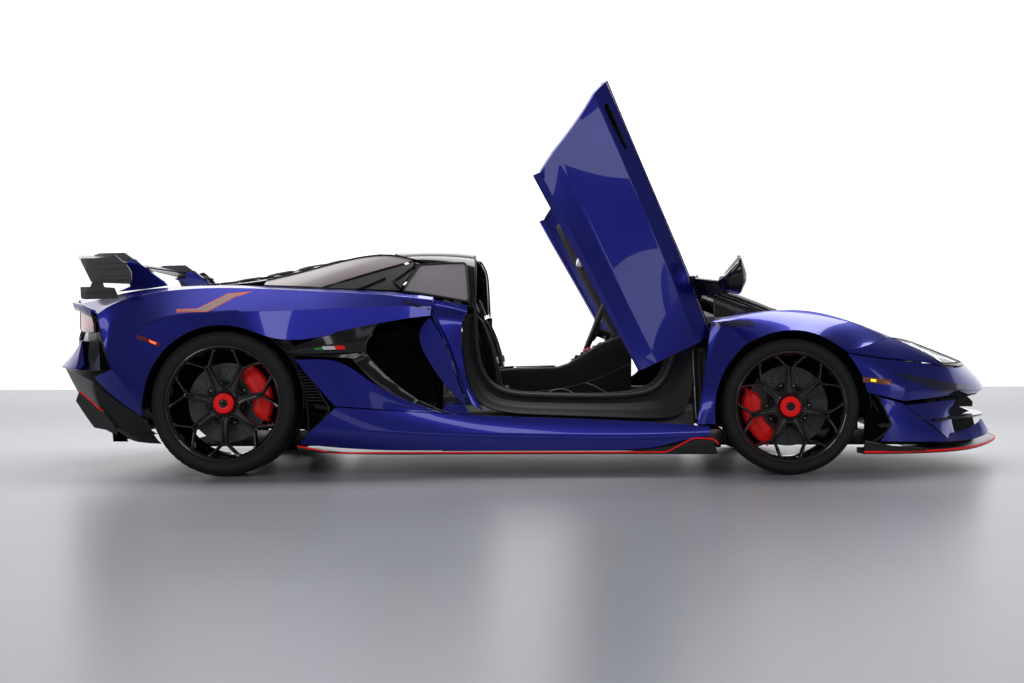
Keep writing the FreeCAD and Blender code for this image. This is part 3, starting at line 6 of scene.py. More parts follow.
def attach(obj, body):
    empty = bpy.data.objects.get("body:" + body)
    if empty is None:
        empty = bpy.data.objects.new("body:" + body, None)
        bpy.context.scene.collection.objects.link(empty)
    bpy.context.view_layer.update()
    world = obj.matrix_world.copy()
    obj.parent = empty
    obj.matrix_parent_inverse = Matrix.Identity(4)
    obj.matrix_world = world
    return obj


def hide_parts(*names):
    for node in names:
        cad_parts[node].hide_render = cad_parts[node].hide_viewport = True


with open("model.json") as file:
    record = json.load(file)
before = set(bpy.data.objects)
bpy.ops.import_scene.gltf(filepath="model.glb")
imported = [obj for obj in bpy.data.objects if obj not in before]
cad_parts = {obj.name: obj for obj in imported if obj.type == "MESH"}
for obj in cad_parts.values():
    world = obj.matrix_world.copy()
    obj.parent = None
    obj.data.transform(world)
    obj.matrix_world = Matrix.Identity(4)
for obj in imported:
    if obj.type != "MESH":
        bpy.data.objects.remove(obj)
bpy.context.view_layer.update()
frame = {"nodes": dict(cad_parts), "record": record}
SX = -33.5            # car frame (X = 0 midway between the axles) to part frame, mm
MM = 0.001


# ------------------------------------------------------------------ small maths
def basis(n, m_or_ts):
    """Clamped uniform B-spline basis (degree min(3, n-1)) at m parameters."""
    d = min(3, n - 1)
    spans = n - d
    kn = np.array([0.0] * (d + 1) + [float(i) for i in range(1, spans)] + [float(spans)] * (d + 1))
    ts = np.linspace(0, spans, m_or_ts) if np.isscalar(m_or_ts) else np.asarray(m_or_ts, float) * spans
    B = np.zeros((len(ts), n + d))
    for a, t in enumerate(ts):
        t = min(max(t, 0.0), spans - 1e-9)
        for k in range(n + d):
            if kn[k] <= t < kn[k + 1]:
                B[a, k] = 1.0
    for p in range(1, d + 1):
        N = np.zeros_like(B)
        for k in range(n + d - p):
            a = kn[k + p] - kn[k]
            b = kn[k + p + 1] - kn[k + 1]
            if a > 0:
                N[:, k] += (ts - kn[k]) / a * B[:, k]
            if b > 0:
                N[:, k] += (kn[k + p + 1] - ts) / b * B[:, k + 1]
        B = N
    B = B[:, :n]
    B[-1] = 0
    B[-1, -1] = 1.0
    return B


def surf(G, nu, nv):
    G = np.asarray(G, float)
    return np.einsum("ai,ijk,bj->abk", basis(G.shape[0], nu), G, basis(G.shape[1], nv))


def curve(P, n):
    P = np.asarray(P, float)
    return basis(len(P), n) @ P


def unit(v):
    v = np.asarray(v, float)
    return v / max(1e-12, np.linalg.norm(v))


def side(g, s):
    a = np.array(g, float)
    a[..., 1] *= s
    return a


def both_cols(g):
    """Half grid with its last column on the centre plane, to full width."""
    a = np.array(g, float)
    r = a.copy(); r[..., 1] *= -1
    return np.concatenate([r, a[:, -2::-1]], axis=1)


def both_rows(g):
    a = np.array(g, float)
    r = a.copy(); r[..., 1] *= -1
    return np.concatenate([r, a[-2::-1]], axis=0)


def inset_grid(g, d):
    g = np.array(g, float)
    d = list(d) if isinstance(d, (list, tuple)) else [d] * 4
    r = g.copy()
    def u(a):
        return a / np.maximum(1e-9, np.linalg.norm(a, axis=-1, keepdims=True))
    r[0] = g[0] + u(g[1] - g[0]) * d[0]
    r[-1] = g[-1] + u(g[-2] - g[-1]) * d[1]
    q = r.copy()
    q[:, 0] = r[:, 0] + u(g[:, 1] - g[:, 0]) * d[2]
    q[:, -1] = r[:, -1] + u(g[:, -2] - g[:, -1]) * d[3]
    return q


def blocks(n, creases):
    c = [0] + sorted(creases) + [n - 1]
    return [(c[k], c[k + 1]) for k in range(len(c) - 1)]


def dense(grid, ucr=(), vcr=(), step=14.0):
    """Dense points of a creased patch grid; returns points and crease indices."""
    g = np.asarray(grid, float)
    bu, bv = blocks(g.shape[0], ucr), blocks(g.shape[1], vcr)
    def count(a, b, axis):
        seg = g[a:b + 1] if axis == 0 else g[:, a:b + 1]
        L = np.linalg.norm(np.diff(seg, axis=axis), axis=-1).sum(axis=axis).max()
        return max(3, int(L / step) + 1)
    nus = [count(a, b, 0) for a, b in bu]
    nvs = [count(c, d, 1) for c, d in bv]
    rows, ui = [], []
    tot = 0
    for k, (a, b) in enumerate(bu):
        cols = []
        for l, (c, d) in enumerate(bv):
            S = surf(g[a:b + 1, c:d + 1], nus[k], nvs[l])
            cols.append(S if l == 0 else S[:, 1:])
        R = np.concatenate(cols, axis=1)
        rows.append(R if k == 0 else R[1:])
        tot += nus[k] - (0 if k == 0 else 1)
        ui.append(tot - 1)
    vi, tot = [], 0
    for l in range(len(bv)):
        tot += nvs[l] - (0 if l == 0 else 1)
        vi.append(tot - 1)
    return np.concatenate(rows, axis=0), ui[:-1], vi[:-1]


# ------------------------------------------------------------------ meshes
def to_m(P):
    P = np.asarray(P, float).reshape(-1, 3).copy()
    P[:, 0] += SX
    return P * MM


def mesh_obj(name, V, F, smooth=True):
    me = bpy.data.meshes.new(name)
    me.from_pydata([tuple(v) for v in np.asarray(V)], [], [tuple(int(i) for i in f) for f in F])
    me.validate(verbose=False)
    me.update()
    ob = bpy.data.objects.new(name, me)
    bpy.context.scene.collection.objects.link(ob)
    if smooth:
        me.polygons.foreach_set("use_smooth", [True] * len(me.polygons))
    return ob


def grid_faces(nu, nv, off=0, flip=False, close_u=False, close_v=False):
    F = []
    for i in range(nu if close_u else nu - 1):
        for j in range(nv if close_v else nv - 1):
            a = off + i * nv + j
            b = off + ((i + 1) % nu) * nv + j
            c = off + ((i + 1) % nu) * nv + (j + 1) % nv
            d = off + i * nv + (j + 1) % nv
            F.append((a, d, c, b) if flip else (a, b, c, d))
    return F


def grid_normals(P):
    du = np.gradient(P, axis=0)
    dv = np.gradient(P, axis=1)
    n = np.cross(du, dv)
    return n / np.maximum(1e-9, np.linalg.norm(n, axis=-1, keepdims=True))


def finish_mesh(ob, bevel=0.0, seg=2, angle=None, weight_edges=None, subsurf=0, recalc=True):
    me = ob.data
    if recalc:
        bm = bmesh.new(); bm.from_mesh(me)
        bmesh.ops.recalc_face_normals(bm, faces=bm.faces)
        bm.to_mesh(me); bm.free()
    if bevel > 0:
        m = ob.modifiers.new("bevel", "BEVEL")
        m.width = bevel * MM
        m.segments = seg
        m.limit_method = "ANGLE"
        m.angle_limit = math.radians(angle or 28)
        m.harden_normals = True
        m.use_clamp_overlap = True
    if subsurf:
        s = ob.modifiers.new("sub", "SUBSURF")
        s.levels = subsurf; s.render_levels = subsurf
    return ob


def skin(name, grid, t=4.0, ucr=(), vcr=(), gap=2.0, step=22.0, ref=(0, 0, 350), bevel=1.6, lip=0.0, tf=None, seg=2, mat=None, body="body", mat_in=None):
    """Panel of sheet metal from a grid of poles: outer skin, inner skin t inside, rim."""
    g = inset_grid(grid, gap)
    P, ui, vi = dense(g, ucr, vcr, step)
    N = grid_normals(P)
    sg = -1.0 if (N * (P - np.array(ref, float))).sum() > 0 else 1.0
    if tf is not None:
        uu = np.linspace(0, 1, P.shape[0])[:, None]; vv = np.linspace(0, 1, P.shape[1])[None, :]
        T = tf(uu, vv)[..., None]
    else:
        T = t
    Q = P + N * sg * T
    nu, nv = P.shape[:2]
    V = np.concatenate([P.reshape(-1, 3), Q.reshape(-1, 3)])
    o = nu * nv
    F = grid_faces(nu, nv) + grid_faces(nu, nv, o, flip=True)
    def rim(idx):
        for k in range(len(idx) - 1):
            a, b = idx[k], idx[k + 1]
            F.append((a, a + o, b + o, b))
    rim([j for j in range(nv)])
    rim([(nu - 1) * nv + j for j in range(nv)][::-1])
    rim([i * nv for i in range(nu)][::-1])
    rim([i * nv + nv - 1 for i in range(nu)])
    ob = mesh_obj(name, to_m(V), F)
    finish_mesh(ob, bevel=bevel, seg=seg)
    if mat is not None:
        ob.data.materials.append(mat)
    if body:
        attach(ob, body)
    return ob


# ------------------------------------------------------------------ materials
def mat(name, base=(0.5, 0.5, 0.5), rough=0.5, metal=0.0, coat=0.0, coat_rough=0.03, spec=0.5, alpha=1.0, emit=None, estr=0.0, sheen=0.0,
        var=0.0, var_scale=40.0, bump=0.0, bump_scale=300.0, rough_var=0.0, trans=0.0, ior=1.5, aniso=0.0):
    """Procedural material: colour and roughness vary with noise, fine bump from noise."""
    m = bpy.data.materials.new(name)
    m.use_nodes = True
    nt = m.node_tree
    b = nt.nodes["Principled BSDF"]
    b.inputs["Base Color"].default_value = (*base, 1)
    b.inputs["Roughness"].default_value = rough
    b.inputs["Metallic"].default_value = metal
    b.inputs["Coat Weight"].default_value = coat
    b.inputs["Coat Roughness"].default_value = coat_rough
    b.inputs["Specular IOR Level"].default_value = spec
    b.inputs["IOR"].default_value = ior
    b.inputs["Transmission Weight"].default_value = trans
    b.inputs["Anisotropic"].default_value = aniso
    if sheen:
        b.inputs["Sheen Weight"].default_value = sheen
        b.inputs["Sheen Roughness"].default_value = 0.4
    b.inputs["Alpha"].default_value = alpha
    if emit:
        b.inputs["Emission Color"].default_value = (*emit, 1)
        b.inputs["Emission Strength"].default_value = estr
    tc = nt.nodes.new("ShaderNodeTexCoord")
    nz = nt.nodes.new("ShaderNodeTexNoise")
    nz.inputs["Scale"].default_value = var_scale
    nz.inputs["Detail"].default_value = 3.0
    nt.links.new(tc.outputs["Object"], nz.inputs["Vector"])
    v = max(var, 0.02)
    mx = nt.nodes.new("ShaderNodeMix"); mx.data_type = "RGBA"
    mx.inputs[6].default_value = (*[c * (1 - v) for c in base], 1)
    mx.inputs[7].default_value = (*[min(1.0, c * (1 + v)) for c in base], 1)
    nt.links.new(nz.outputs["Fac"], mx.inputs[0])
    nt.links.new(mx.outputs[2], b.inputs["Base Color"])
    if rough_var:
        mr = nt.nodes.new("ShaderNodeMapRange")
        mr.inputs[3].default_value = max(0.0, rough - rough_var)
        mr.inputs[4].default_value = min(1.0, rough + rough_var)
        nt.links.new(nz.outputs["Fac"], mr.inputs[0])
        nt.links.new(mr.outputs[0], b.inputs["Roughness"])
    if bump:
        n2 = nt.nodes.new("ShaderNodeTexNoise")
        n2.inputs["Scale"].default_value = bump_scale
        n2.inputs["Detail"].default_value = 4.0
        nt.links.new(tc.outputs["Object"], n2.inputs["Vector"])
        bp = nt.nodes.new("ShaderNodeBump")
        bp.inputs["Strength"].default_value = bump
        bp.inputs["Distance"].default_value = 0.0006
        nt.links.new(n2.outputs["Fac"], bp.inputs["Height"])
        nt.links.new(bp.outputs["Normal"], b.inputs["Normal"])
    return m


PAINT = mat("paint_blue_metallic", (0.009, 0.013, 0.300), rough=0.28, metal=0.70, coat=0.75, coat_rough=0.012, var=0.10, var_scale=900.0)
BLACK = mat("gloss_black", (0.005, 0.005, 0.006), rough=0.12, coat=0.35, spec=0.4, var=0.1, var_scale=200)
SATIN = mat("satin_black", (0.014, 0.014, 0.015), rough=0.42, spec=0.35, var=0.1, bump=0.1, bump_scale=900)
CARBON = mat("carbon_satin", (0.03, 0.03, 0.033), rough=0.35, var=0.15)
# red trim with a faint emission: painted glow, this trim is no lamp
RED = mat("accent_red_glow", (0.85, 0.008, 0.008), rough=0.35, coat=0.15, spec=0.3, emit=(1.0, 0.01, 0.01), estr=0.16)
GLASS = mat("glass_tint", (0.02, 0.02, 0.022), rough=0.03, alpha=0.62, coat=0.5)
GLASS2 = mat("glass_dark", (0.01, 0.01, 0.011), rough=0.04, alpha=0.9, coat=0.6)
CASTM = mat("engine_cast", (0.16, 0.16, 0.165), rough=0.45, metal=0.9, var=0.2, bump=0.3, bump_scale=500)
FRAME_M = mat("frame_satin_grey", (0.013, 0.0125, 0.013), rough=0.55, spec=0.30, var=0.12, bump=0.12, bump_scale=900)
RUBBER = mat("tyre_rubber", (0.012, 0.012, 0.012), rough=0.72, var=0.2, var_scale=120, bump=0.25, bump_scale=700)
METAL = mat("dark_metal", (0.25, 0.25, 0.26), rough=0.35, metal=1.0, var=0.1)
CABIN = mat("cabin_dark", (0.025, 0.025, 0.028), rough=0.6, var=0.15, bump=0.2, bump_scale=1200)

FLOOR = mat("floor_pale", (0.36, 0.37, 0.39), rough=0.30, var=0.02, var_scale=2.0, rough_var=0.015)
LOUV = mat("louvre_black", (0.006, 0.006, 0.0065), rough=0.55, spec=0.12, var=0.1)
# pale grey base and near-opaque alpha: painted reflection on the side glass
QGLASS = mat("glass_quarter_reflection", (0.33, 0.30, 0.32), rough=0.06, alpha=0.92, coat=0.6, var=0.05)
# grey-brown base colour: painted reflection on the dark buttress
BUTT = mat("buttress_painted_reflection", (0.34, 0.285, 0.285), rough=0.34, spec=0.35, coat=0.15, var=0.1, var_scale=120)
WALL = mat("wall_white", (0.6, 0.6, 0.61), rough=0.9, emit=(0.98, 0.97, 1.0), estr=0.86)

# ------------------------------------------------------------------ camera, floor, light
def make_camera():
    a, b, g = math.radians(1.72), math.radians(-0.013), math.radians(-0.256)
    fw = Vector((-math.sin(a) * math.cos(b), math.cos(a) * math.cos(b), -math.sin(b)))
    rt = Vector((math.cos(a), math.sin(a), 0))
    up = rt.cross(fw)
    rt2 = rt * math.cos(g) + up * math.sin(g)
    up2 = -rt * math.sin(g) + up * math.cos(g)
    M = Matrix((rt2, up2, -fw)).transposed().to_4x4()
    M.translation = Vector(((238.5 + SX) * MM, -7.9499, 0.6375))
    cd = bpy.data.cameras.new("camera")
    cd.sensor_width = 36.0
    cd.lens = 1466.0 / 1024.0 * 36.0
    cd.clip_end = 200
    co = bpy.data.objects.new("camera", cd)
    bpy.context.scene.collection.objects.link(co)
    co.matrix_world = M
    bpy.context.scene.camera = co


def make_stage():
    fl = mesh_obj("floor", [(-40, -30, 0), (40, -30, 0), (40, 12.2, 0), (-40, 12.2, 0)], [(0, 1, 2, 3)], smooth=False)
    fl.data.materials.append(FLOOR)
    wl = mesh_obj("wall", [(-40, 12.2, 0), (40, 12.2, 0), (40, 12.2, 12), (-40, 12.2, 12)], [(0, 1, 2, 3)], smooth=False)
    wl.data.materials.append(WALL)
    w = bpy.data.worlds.new("world")
    bpy.context.scene.world = w
    w.use_nodes = True
    bg = w.node_tree.nodes["Background"]
    bg.inputs[0].default_value = (0.93, 0.94, 1.0, 1)
    bg.inputs[1].default_value = 0.16

    def area(name, loc, target, sx, sy, power, col=(1, 1, 1)):
        d = bpy.data.lights.new(name, "AREA")
        d.shape = "RECTANGLE"; d.size = sx; d.size_y = sy; d.energy = power; d.color = col
        o = bpy.data.objects.new(name, d)
        bpy.context.scene.collection.objects.link(o)
        o.location = loc
        o.rotation_euler = (Vector(target) - Vector(loc)).to_track_quat("-Z", "Y").to_euler()
        return o
    area("top_soft", (0, 1.5, 5.0), (0, 0.6, 0), 8.5, 2.4, 350)
    area("side_soft", (0.3, -6.6, 4.4), (0, -0.6, 0.5), 9.5, 0.9, 85, (0.95, 0.96, 1.0))
    area("card_right", (9.0, -8.6, 2.5), (0.6, -0.9, 1.1), 1.1, 2.6, 20, (0.97, 0.98, 1.0))
    area("card_low", (6.1, -5.5, 0.42), (0.7, -0.9, 0.8), 1.0, 0.7, 3.6, (0.97, 0.98, 1.0))
    area("card_left", (-5.4, -8.8, 2.6), (-1.2, -0.9, 0.7), 1.6, 3.0, 40, (0.97, 0.98, 1.0))
    area("low_fill", (0.3, -10.0, 1.7), (0, 0, 0.6), 12.0, 0.7, 20, (0.9, 0.92, 1.0))
    area("wall_wash", (0, 8.5, 6.0), (0, 12.2, 3.0), 18.0, 2.0, 420)

make_camera()
make_stage()
bpy.context.scene.view_settings.view_transform = "Standard"
bpy.context.scene.view_settings.look = "None"

# ------------------------------------------------------------------ body tables, mm in the car frame (X, w, Z)
ARCH_F = 363.0 * 1.012
ARCH_R = 380.0 * 1.012


def arch_f(phi, w, r=ARCH_F):
    a = math.radians(phi)
    return (1350 + r * math.cos(a), w, 324 + r * math.sin(a))


def arch_r(phi, w, r=ARCH_R):
    a = math.radians(phi)
    return (-1350 + r * math.cos(a), w, 349 + r * math.sin(a))


# TABLES BEGIN
FENDER = [
    [arch_f(193, 1000), (952, 994, 243), (930, 990, 242), (915, 987, 241), (904, 984, 240)],
    [arch_f(176, 1002), (965, 992, 350), (945, 982, 352), (930, 974, 354), (921, 968, 356)],
    [arch_f(159, 1003), (982, 985, 468), (966, 970, 476), (952, 957, 484), (944, 948, 490)],
    [arch_f(142, 1002), (1035, 970, 580), (1008, 945, 606), (985, 922, 628), (968, 905, 645)],
    [arch_f(126, 1000), (1115, 962, 660), (1080, 925, 700), (1040, 893, 726), (983, 890, 730)],
    [arch_f(110, 998), (1215, 958, 708), (1195, 910, 750), (1170, 862, 774), (1120, 778, 782)],
    [arch_f(94, 996), (1325, 955, 722), (1325, 902, 764), (1325, 835, 790), (1325, 732, 784)],
    [arch_f(78, 994), (1440, 952, 710), (1455, 898, 754), (1475, 820, 783), (1500, 650, 756)],
    [arch_f(63, 991), (1555, 948, 672), (1585, 892, 718), (1630, 810, 745), (1720, 608, 705)],
    [arch_f(48, 987), (1665, 944, 606), (1725, 890, 655), (1800, 805, 680), (1960, 570, 642)],
]
FENDER_END = [arch_f(45, 986), (1690, 965, 600), (1775, 905, 632), (1855, 790, 652), (2008, 568, 630)]
FENDER.append(FENDER_END)
HOOD = [
    [(1353, 683, 769), (1408, 470, 771), (1470, 230, 771), (1498, 0, 769)],
    [(1515, 642, 748), (1560, 440, 740), (1610, 215, 738), (1630, 0, 736)],
    [(1735, 605, 702), (1775, 400, 696), (1812, 195, 692), (1830, 0, 690)],
    [(1975, 566, 640), (2005, 365, 636), (2032, 175, 634), (2045, 0, 632)],
    [(2160, 505, 576), (2195, 325, 573), (2222, 155, 571), (2235, 0, 569)],
    [(2300, 425, 526), (2345, 275, 520), (2380, 135, 515), (2395, 0, 512)],
]
HEADLIGHT = [
    [(1855, 790, 650), (1930, 690, 646), (2012, 567, 628)],
    [(1955, 802, 610), (2030, 685, 608), (2090, 541, 600)],
    [(2045, 795, 563), (2125, 668, 562), (2190, 505, 564)],
    [(2107, 786, 524), (2205, 640, 518), (2297, 439, 524)],
]
TONGUE = [
    [arch_f(45, 986), (1690, 965, 600), (1775, 905, 632), (1855, 790, 652), (1955, 802, 610), (2045, 795, 563), (2105, 786, 524)],
    [arch_f(44.7, 986), (1695, 969, 584), (1785, 930, 598), (1872, 862, 610), (1962, 845, 583), (2048, 818, 548), (2108, 786, 518)],
    [arch_f(44.3, 986), (1700, 971, 566), (1790, 950, 552), (1880, 908, 545), (1962, 870, 537), (2046, 826, 525), (2110, 786, 513)],
]
BUMPER = [
    [(1611, 986, 577), (1660, 988, 520), (1690, 988, 440), (1706, 987, 390)],
    [(1790, 952, 548), (1796, 964, 500), (1800, 974, 425), (1800, 972, 367)],
    [(1900, 896, 540), (1915, 915, 480), (1905, 945, 405), (1890, 940, 346)],
    [(2040, 830, 524), (2065, 835, 440), (2068, 832, 385), (2055, 825, 356)],
    [(2160, 750, 500), (2200, 715, 420), (2212, 700, 388), (2196, 690, 366)],
    [(2240, 610, 502), (2310, 570, 425), (2325, 560, 386), (2305, 552, 364)],
    [(2312, 430, 512), (2396, 405, 435), (2420, 398, 388), (2396, 392, 364)],
    [(2385, 210, 504), (2455, 195, 440), (2482, 192, 392), (2452, 188, 366)],
    [(2400, 0, 500), (2470, 0, 440), (2494, 0, 392), (2462, 0, 366)],
]
CORNER = [
    [(1750, 972, 372), (1815, 966, 358), (1885, 938, 338)],
    [(1800, 972, 300), (1870, 950, 290), (1945, 918, 284)],
    [(1822, 970, 240), (1920, 940, 232), (2022, 892, 236)],
    [(1790, 972, 190), (1930, 940, 182), (2085, 868, 186)],
    [(1768, 974, 158), (1940, 938, 150), (2128, 845, 148)],
]
SWOOSH = [
    [(1895, 920, 330), (2040, 830, 338), (2150, 740, 346), (2200, 696, 348)],
    [(1957, 900, 282), (2070, 836, 300), (2150, 752, 316), (2190, 700, 318)],
    [(2032, 874, 236), (2092, 822, 250), (2142, 760, 266), (2160, 705, 272)],
    [(2092, 850, 188), (2114, 818, 196), (2150, 762, 212), (2178, 712, 220)],
    [(2126, 832, 158), (2140, 810, 158), (2162, 765, 160), (2190, 720, 164)],
]
FBLADE = [
    [(2046, 858, 252), (2052, 864, 251)],
    [(2110, 806, 254), (2134, 808, 252)],
    [(2162, 742, 256), (2216, 738, 254)],
    [(2194, 680, 258), (2290, 652, 255)],
    [(2228, 590, 260), (2352, 560, 256)],
    [(2270, 450, 262), (2405, 440, 257)],
    [(2298, 300, 262), (2435, 300, 258)],
    [(2310, 150, 262), (2446, 150, 258)],
    [(2312, 0, 262), (2448, 0, 258)],
]
SPLIT = [(1690, 985), (1815, 982), (1960, 940), (2090, 872), (2220, 785), (2330, 660), (2420, 515), (2490, 370), (2505, 250), (2505, 120), (2498, 0)]
DOOR = [
    # rear edge to front edge; rows: inner belt edge, belt line, shoulder, waist, lower crease, bottom, lip
    [(-343, 862, 850), (-348, 905, 828), (-330, 930, 745), (-262, 950, 620), (-200, 968, 440), (-148, 978, 326), (-150, 962, 289)],
    [(-110, 846, 838), (-95, 908, 812), (-85, 937, 727), (-60, 948, 600), (-25, 962, 432), (-12, 979, 326), (-12, 962, 290)],
    [(150, 832, 826), (160, 908, 796), (165, 940, 708), (180, 944, 585), (170, 955, 425), (135, 979, 325), (135, 961, 294)],
    [(420, 824, 812), (430, 906, 778), (440, 939, 690), (430, 940, 570), (400, 950, 420), (390, 976, 324), (390, 960, 300)],
    [(720, 818, 796), (730, 902, 756), (740, 930, 668), (710, 938, 560), (670, 952, 415), (660, 970, 323), (660, 957, 304)],
    [(965, 812, 768), (975, 890, 728), (962, 915, 645), (940, 940, 520), (922, 956, 410), (908, 966, 322), (906, 954, 306)],
]
QUARTER = [
    # rows: inner seam, crest, shading edge, intake top or arch lip
    [(-352, 862, 856), (-356, 888, 842), (-358, 912, 815), (-362, 930, 763)],
    [(-510, 850, 880), (-500, 892, 862), (-505, 935, 812), (-520, 948, 748)],
    [(-720, 812, 896), (-720, 885, 878), (-730, 962, 805), (-720, 985, 702)],
    [(-920, 788, 904), (-925, 880, 888), (-935, 992, 795), (-915, 1022, 650)],
    [(-1100, 755, 914), (-1110, 878, 898), (-1130, 1008, 790), arch_r(50, 1046)],
    [(-1260, 722, 922), (-1270, 872, 905), (-1285, 1014, 788), arch_r(74, 1048)],
    [(-1420, 695, 926), (-1430, 866, 908), (-1430, 1014, 782), arch_r(98, 1048)],
    [(-1590, 668, 924), (-1600, 862, 900), (-1590, 1006, 770), arch_r(122, 1047)],
    [(-1770, 642, 916), (-1780, 866, 880), (-1740, 996, 730), arch_r(146, 1045)],
    [(-1930, 622, 900), (-1935, 885, 830), (-1890, 975, 640), arch_r(167, 1040)],
    [(-2150, 612, 838), (-1978, 935, 775), (-1905, 966, 522), arch_r(184, 1030)],
]
SILL = [
    # columns: flange, top edge, upper side, crease, lower side, bottom
    [(-806, 1014, 318), (-808, 1034, 331), (-858, 1046, 278), (-925, 1046, 222), (-955, 1038, 188), (-985, 1016, 154)],
    [(-640, 998, 306), (-640, 1018, 318), (-650, 1032, 268), (-668, 1038, 205), (-680, 1030, 165), (-690, 1010, 123)],
    [(-420, 972, 292), (-420, 996, 303), (-420, 1012, 258), (-420, 1021, 197), (-420, 1016, 160), (-420, 1004, 121)],
    [(-150, 940, 278), (-150, 968, 287), (-150, 992, 250), (-150, 1007, 193), (-150, 1006, 158), (-150, 1000, 121)],
    [(150, 938, 268), (150, 964, 276), (150, 984, 244), (150, 1003, 192), (150, 1003, 157), (150, 998, 121)],
    [(480, 938, 256), (480, 964, 264), (480, 982, 236), (480, 1001, 190), (480, 1003, 156), (480, 998, 121)],
    [(740, 940, 243), (740, 972, 251), (740, 984, 230), (740, 999, 195), (740, 1003, 162), (740, 999, 126)],
    [(870, 946, 234), (870, 980, 241), (870, 990, 226), (870, 1000, 205), (871, 1003, 194), (872, 1001, 183)],
    [(966, 952, 226), (966, 988, 233), (966, 994, 223), (966, 1000, 208), (966, 1004, 197), (966, 1002, 184)],
]
SKIRT = [
    [(-992, 1014, 144), (-996, 1016, 132), (-985, 960, 116)],
    [(-822, 1006, 112), (-822, 1008, 104), (-820, 940, 98)],
    [(-300, 1000, 114), (-300, 1003, 104), (-300, 930, 98)],
    [(300, 996, 115), (300, 1000, 104), (300, 930, 98)],
    [(700, 996, 114), (705, 1000, 104), (700, 935, 98)],
    [(880, 997, 172), (890, 1003, 104), (880, 945, 98)],
    [(985, 998, 172), (1000, 1003, 106), (985, 950, 98)],
]
LOWQ = [
    [(-1000, 1044, 558), (-930, 1043, 470), (-850, 1040, 380), (-812, 1036, 336)],
    [(-900, 1040, 562), (-850, 1036, 500), (-790, 1030, 400), (-740, 1026, 330)],
    [(-800, 1030, 562), (-750, 1024, 480), (-700, 1018, 390), (-640, 1016, 323)],
    [(-700, 1012, 495), (-650, 1008, 430), (-600, 1004, 360), (-540, 1006, 314)],
    [(-560, 1000, 388), (-530, 998, 355), (-490, 994, 325), (-440, 998, 307)],
    [(-330, 984, 303), (-300, 981, 300), (-270, 976, 296), (-240, 974, 294)],
]
BUTTRESS = [
    [(-1210, 742, 920), (-1205, 715, 935), (-1200, 690, 948)],
    [(-1090, 768, 915), (-1060, 722, 955), (-1035, 668, 982)],
    [(-1000, 785, 911), (-915, 715, 985), (-830, 635, 1052)],
    [(-940, 790, 908), (-750, 705, 1005), (-590, 600, 1092)],
    [(-920, 790, 906), (-690, 715, 985), (-472, 650, 1046)],
]
LOUVRE = [
    [(-896, 794, 906), (-690, 730, 972), (-474, 660, 1035)],
    [(-700, 820, 897), (-590, 766, 943), (-456, 684, 1025)],
    [(-520, 844, 888), (-496, 789, 946), (-446, 708, 1013)],
]
JAMB = [
    [(-352, 858, 851), (-349, 844, 844), (-262, 835, 834), (-190, 830, 816)],
    [(-355, 884, 838), (-348, 845, 810), (-262, 835, 796), (-192, 821, 784)],
    [(-358, 911, 811), (-346, 870, 788), (-266, 862, 780), (-198, 845, 764)],
    [(-361, 928, 764), (-336, 888, 752), (-270, 882, 748), (-212, 870, 742)],
    [(-299, 942, 672), (-286, 900, 668), (-254, 892, 666), (-222, 882, 663)],
    [(-258, 950, 560), (-246, 908, 556), (-228, 901, 548), (-210, 893, 540)],
    [(-224, 957, 450), (-212, 916, 446), (-196, 911, 425), (-179, 907, 402)],
    [(-178, 965, 348), (-164, 936, 336), (-138, 936, 322), (-106, 936, 304)],
]
INWALL = [
    [(-366, 926, 757), (-370, 922, 754), (-376, 918, 751)],
    [(-306, 938, 672), (-380, 920, 675), (-455, 893, 682)],
    [(-266, 946, 560), (-320, 928, 545), (-372, 905, 530)],
    [(-232, 953, 450), (-262, 940, 435), (-294, 925, 420)],
    [(-188, 962, 344), (-194, 958, 340), (-202, 953, 336)],
]
QWINDOW = [
    [(-505, 846, 884), (-480, 790, 950), (-432, 706, 1020)],
    [(-340, 848, 862), (-330, 775, 950), (-318, 690, 1030)],
    [(-180, 846, 830), (-190, 772, 930), (-204, 676, 1032)],
]
HOOP = [
    # across: from the foot at the side to the centre; along: front to rear
    [(-158, 812, 800), (-160, 738, 940), (-160, 636, 1044), (-175, 545, 1080), (-185, 300, 1098), (-190, 0, 1104)],
    [(-180, 816, 810), (-182, 742, 948), (-215, 645, 1054), (-262, 556, 1094), (-280, 300, 1112), (-285, 0, 1118)],
    [(-200, 817, 816), (-206, 735, 950), (-310, 640, 1050), (-402, 565, 1094), (-430, 300, 1122), (-440, 0, 1129)],
    [(-218, 816, 818), (-224, 724, 952), (-410, 625, 1044), (-590, 556, 1084), (-600, 300, 1112), (-605, 0, 1118)],
]
ENGINE_COVER = [
    [(-625, 560, 1078), (-625, 300, 1104), (-625, 0, 1110)],
    [(-850, 600, 1040), (-850, 320, 1078), (-850, 0, 1084)],
    [(-1080, 640, 970), (-1080, 330, 1036), (-1080, 0, 1044)],
    [(-1320, 655, 932), (-1320, 330, 980), (-1320, 0, 990)],
    [(-1560, 620, 920), (-1560, 320, 944), (-1560, 0, 952)],
    [(-1740, 585, 912), (-1740, 310, 926), (-1740, 0, 932)],
]
TAIL_DECK = [
    [(-1752, 580, 908), (-1752, 310, 922), (-1752, 0, 928)],
    [(-1880, 590, 896), (-1880, 310, 908), (-1880, 0, 912)],
    [(-2010, 595, 876), (-2020, 310, 894), (-2030, 0, 898)],
    [(-2130, 602, 846), (-2200, 310, 874), (-2220, 0, 880)],
    [(-2155, 604, 838), (-2285, 305, 866), (-2318, 0, 872)],
]
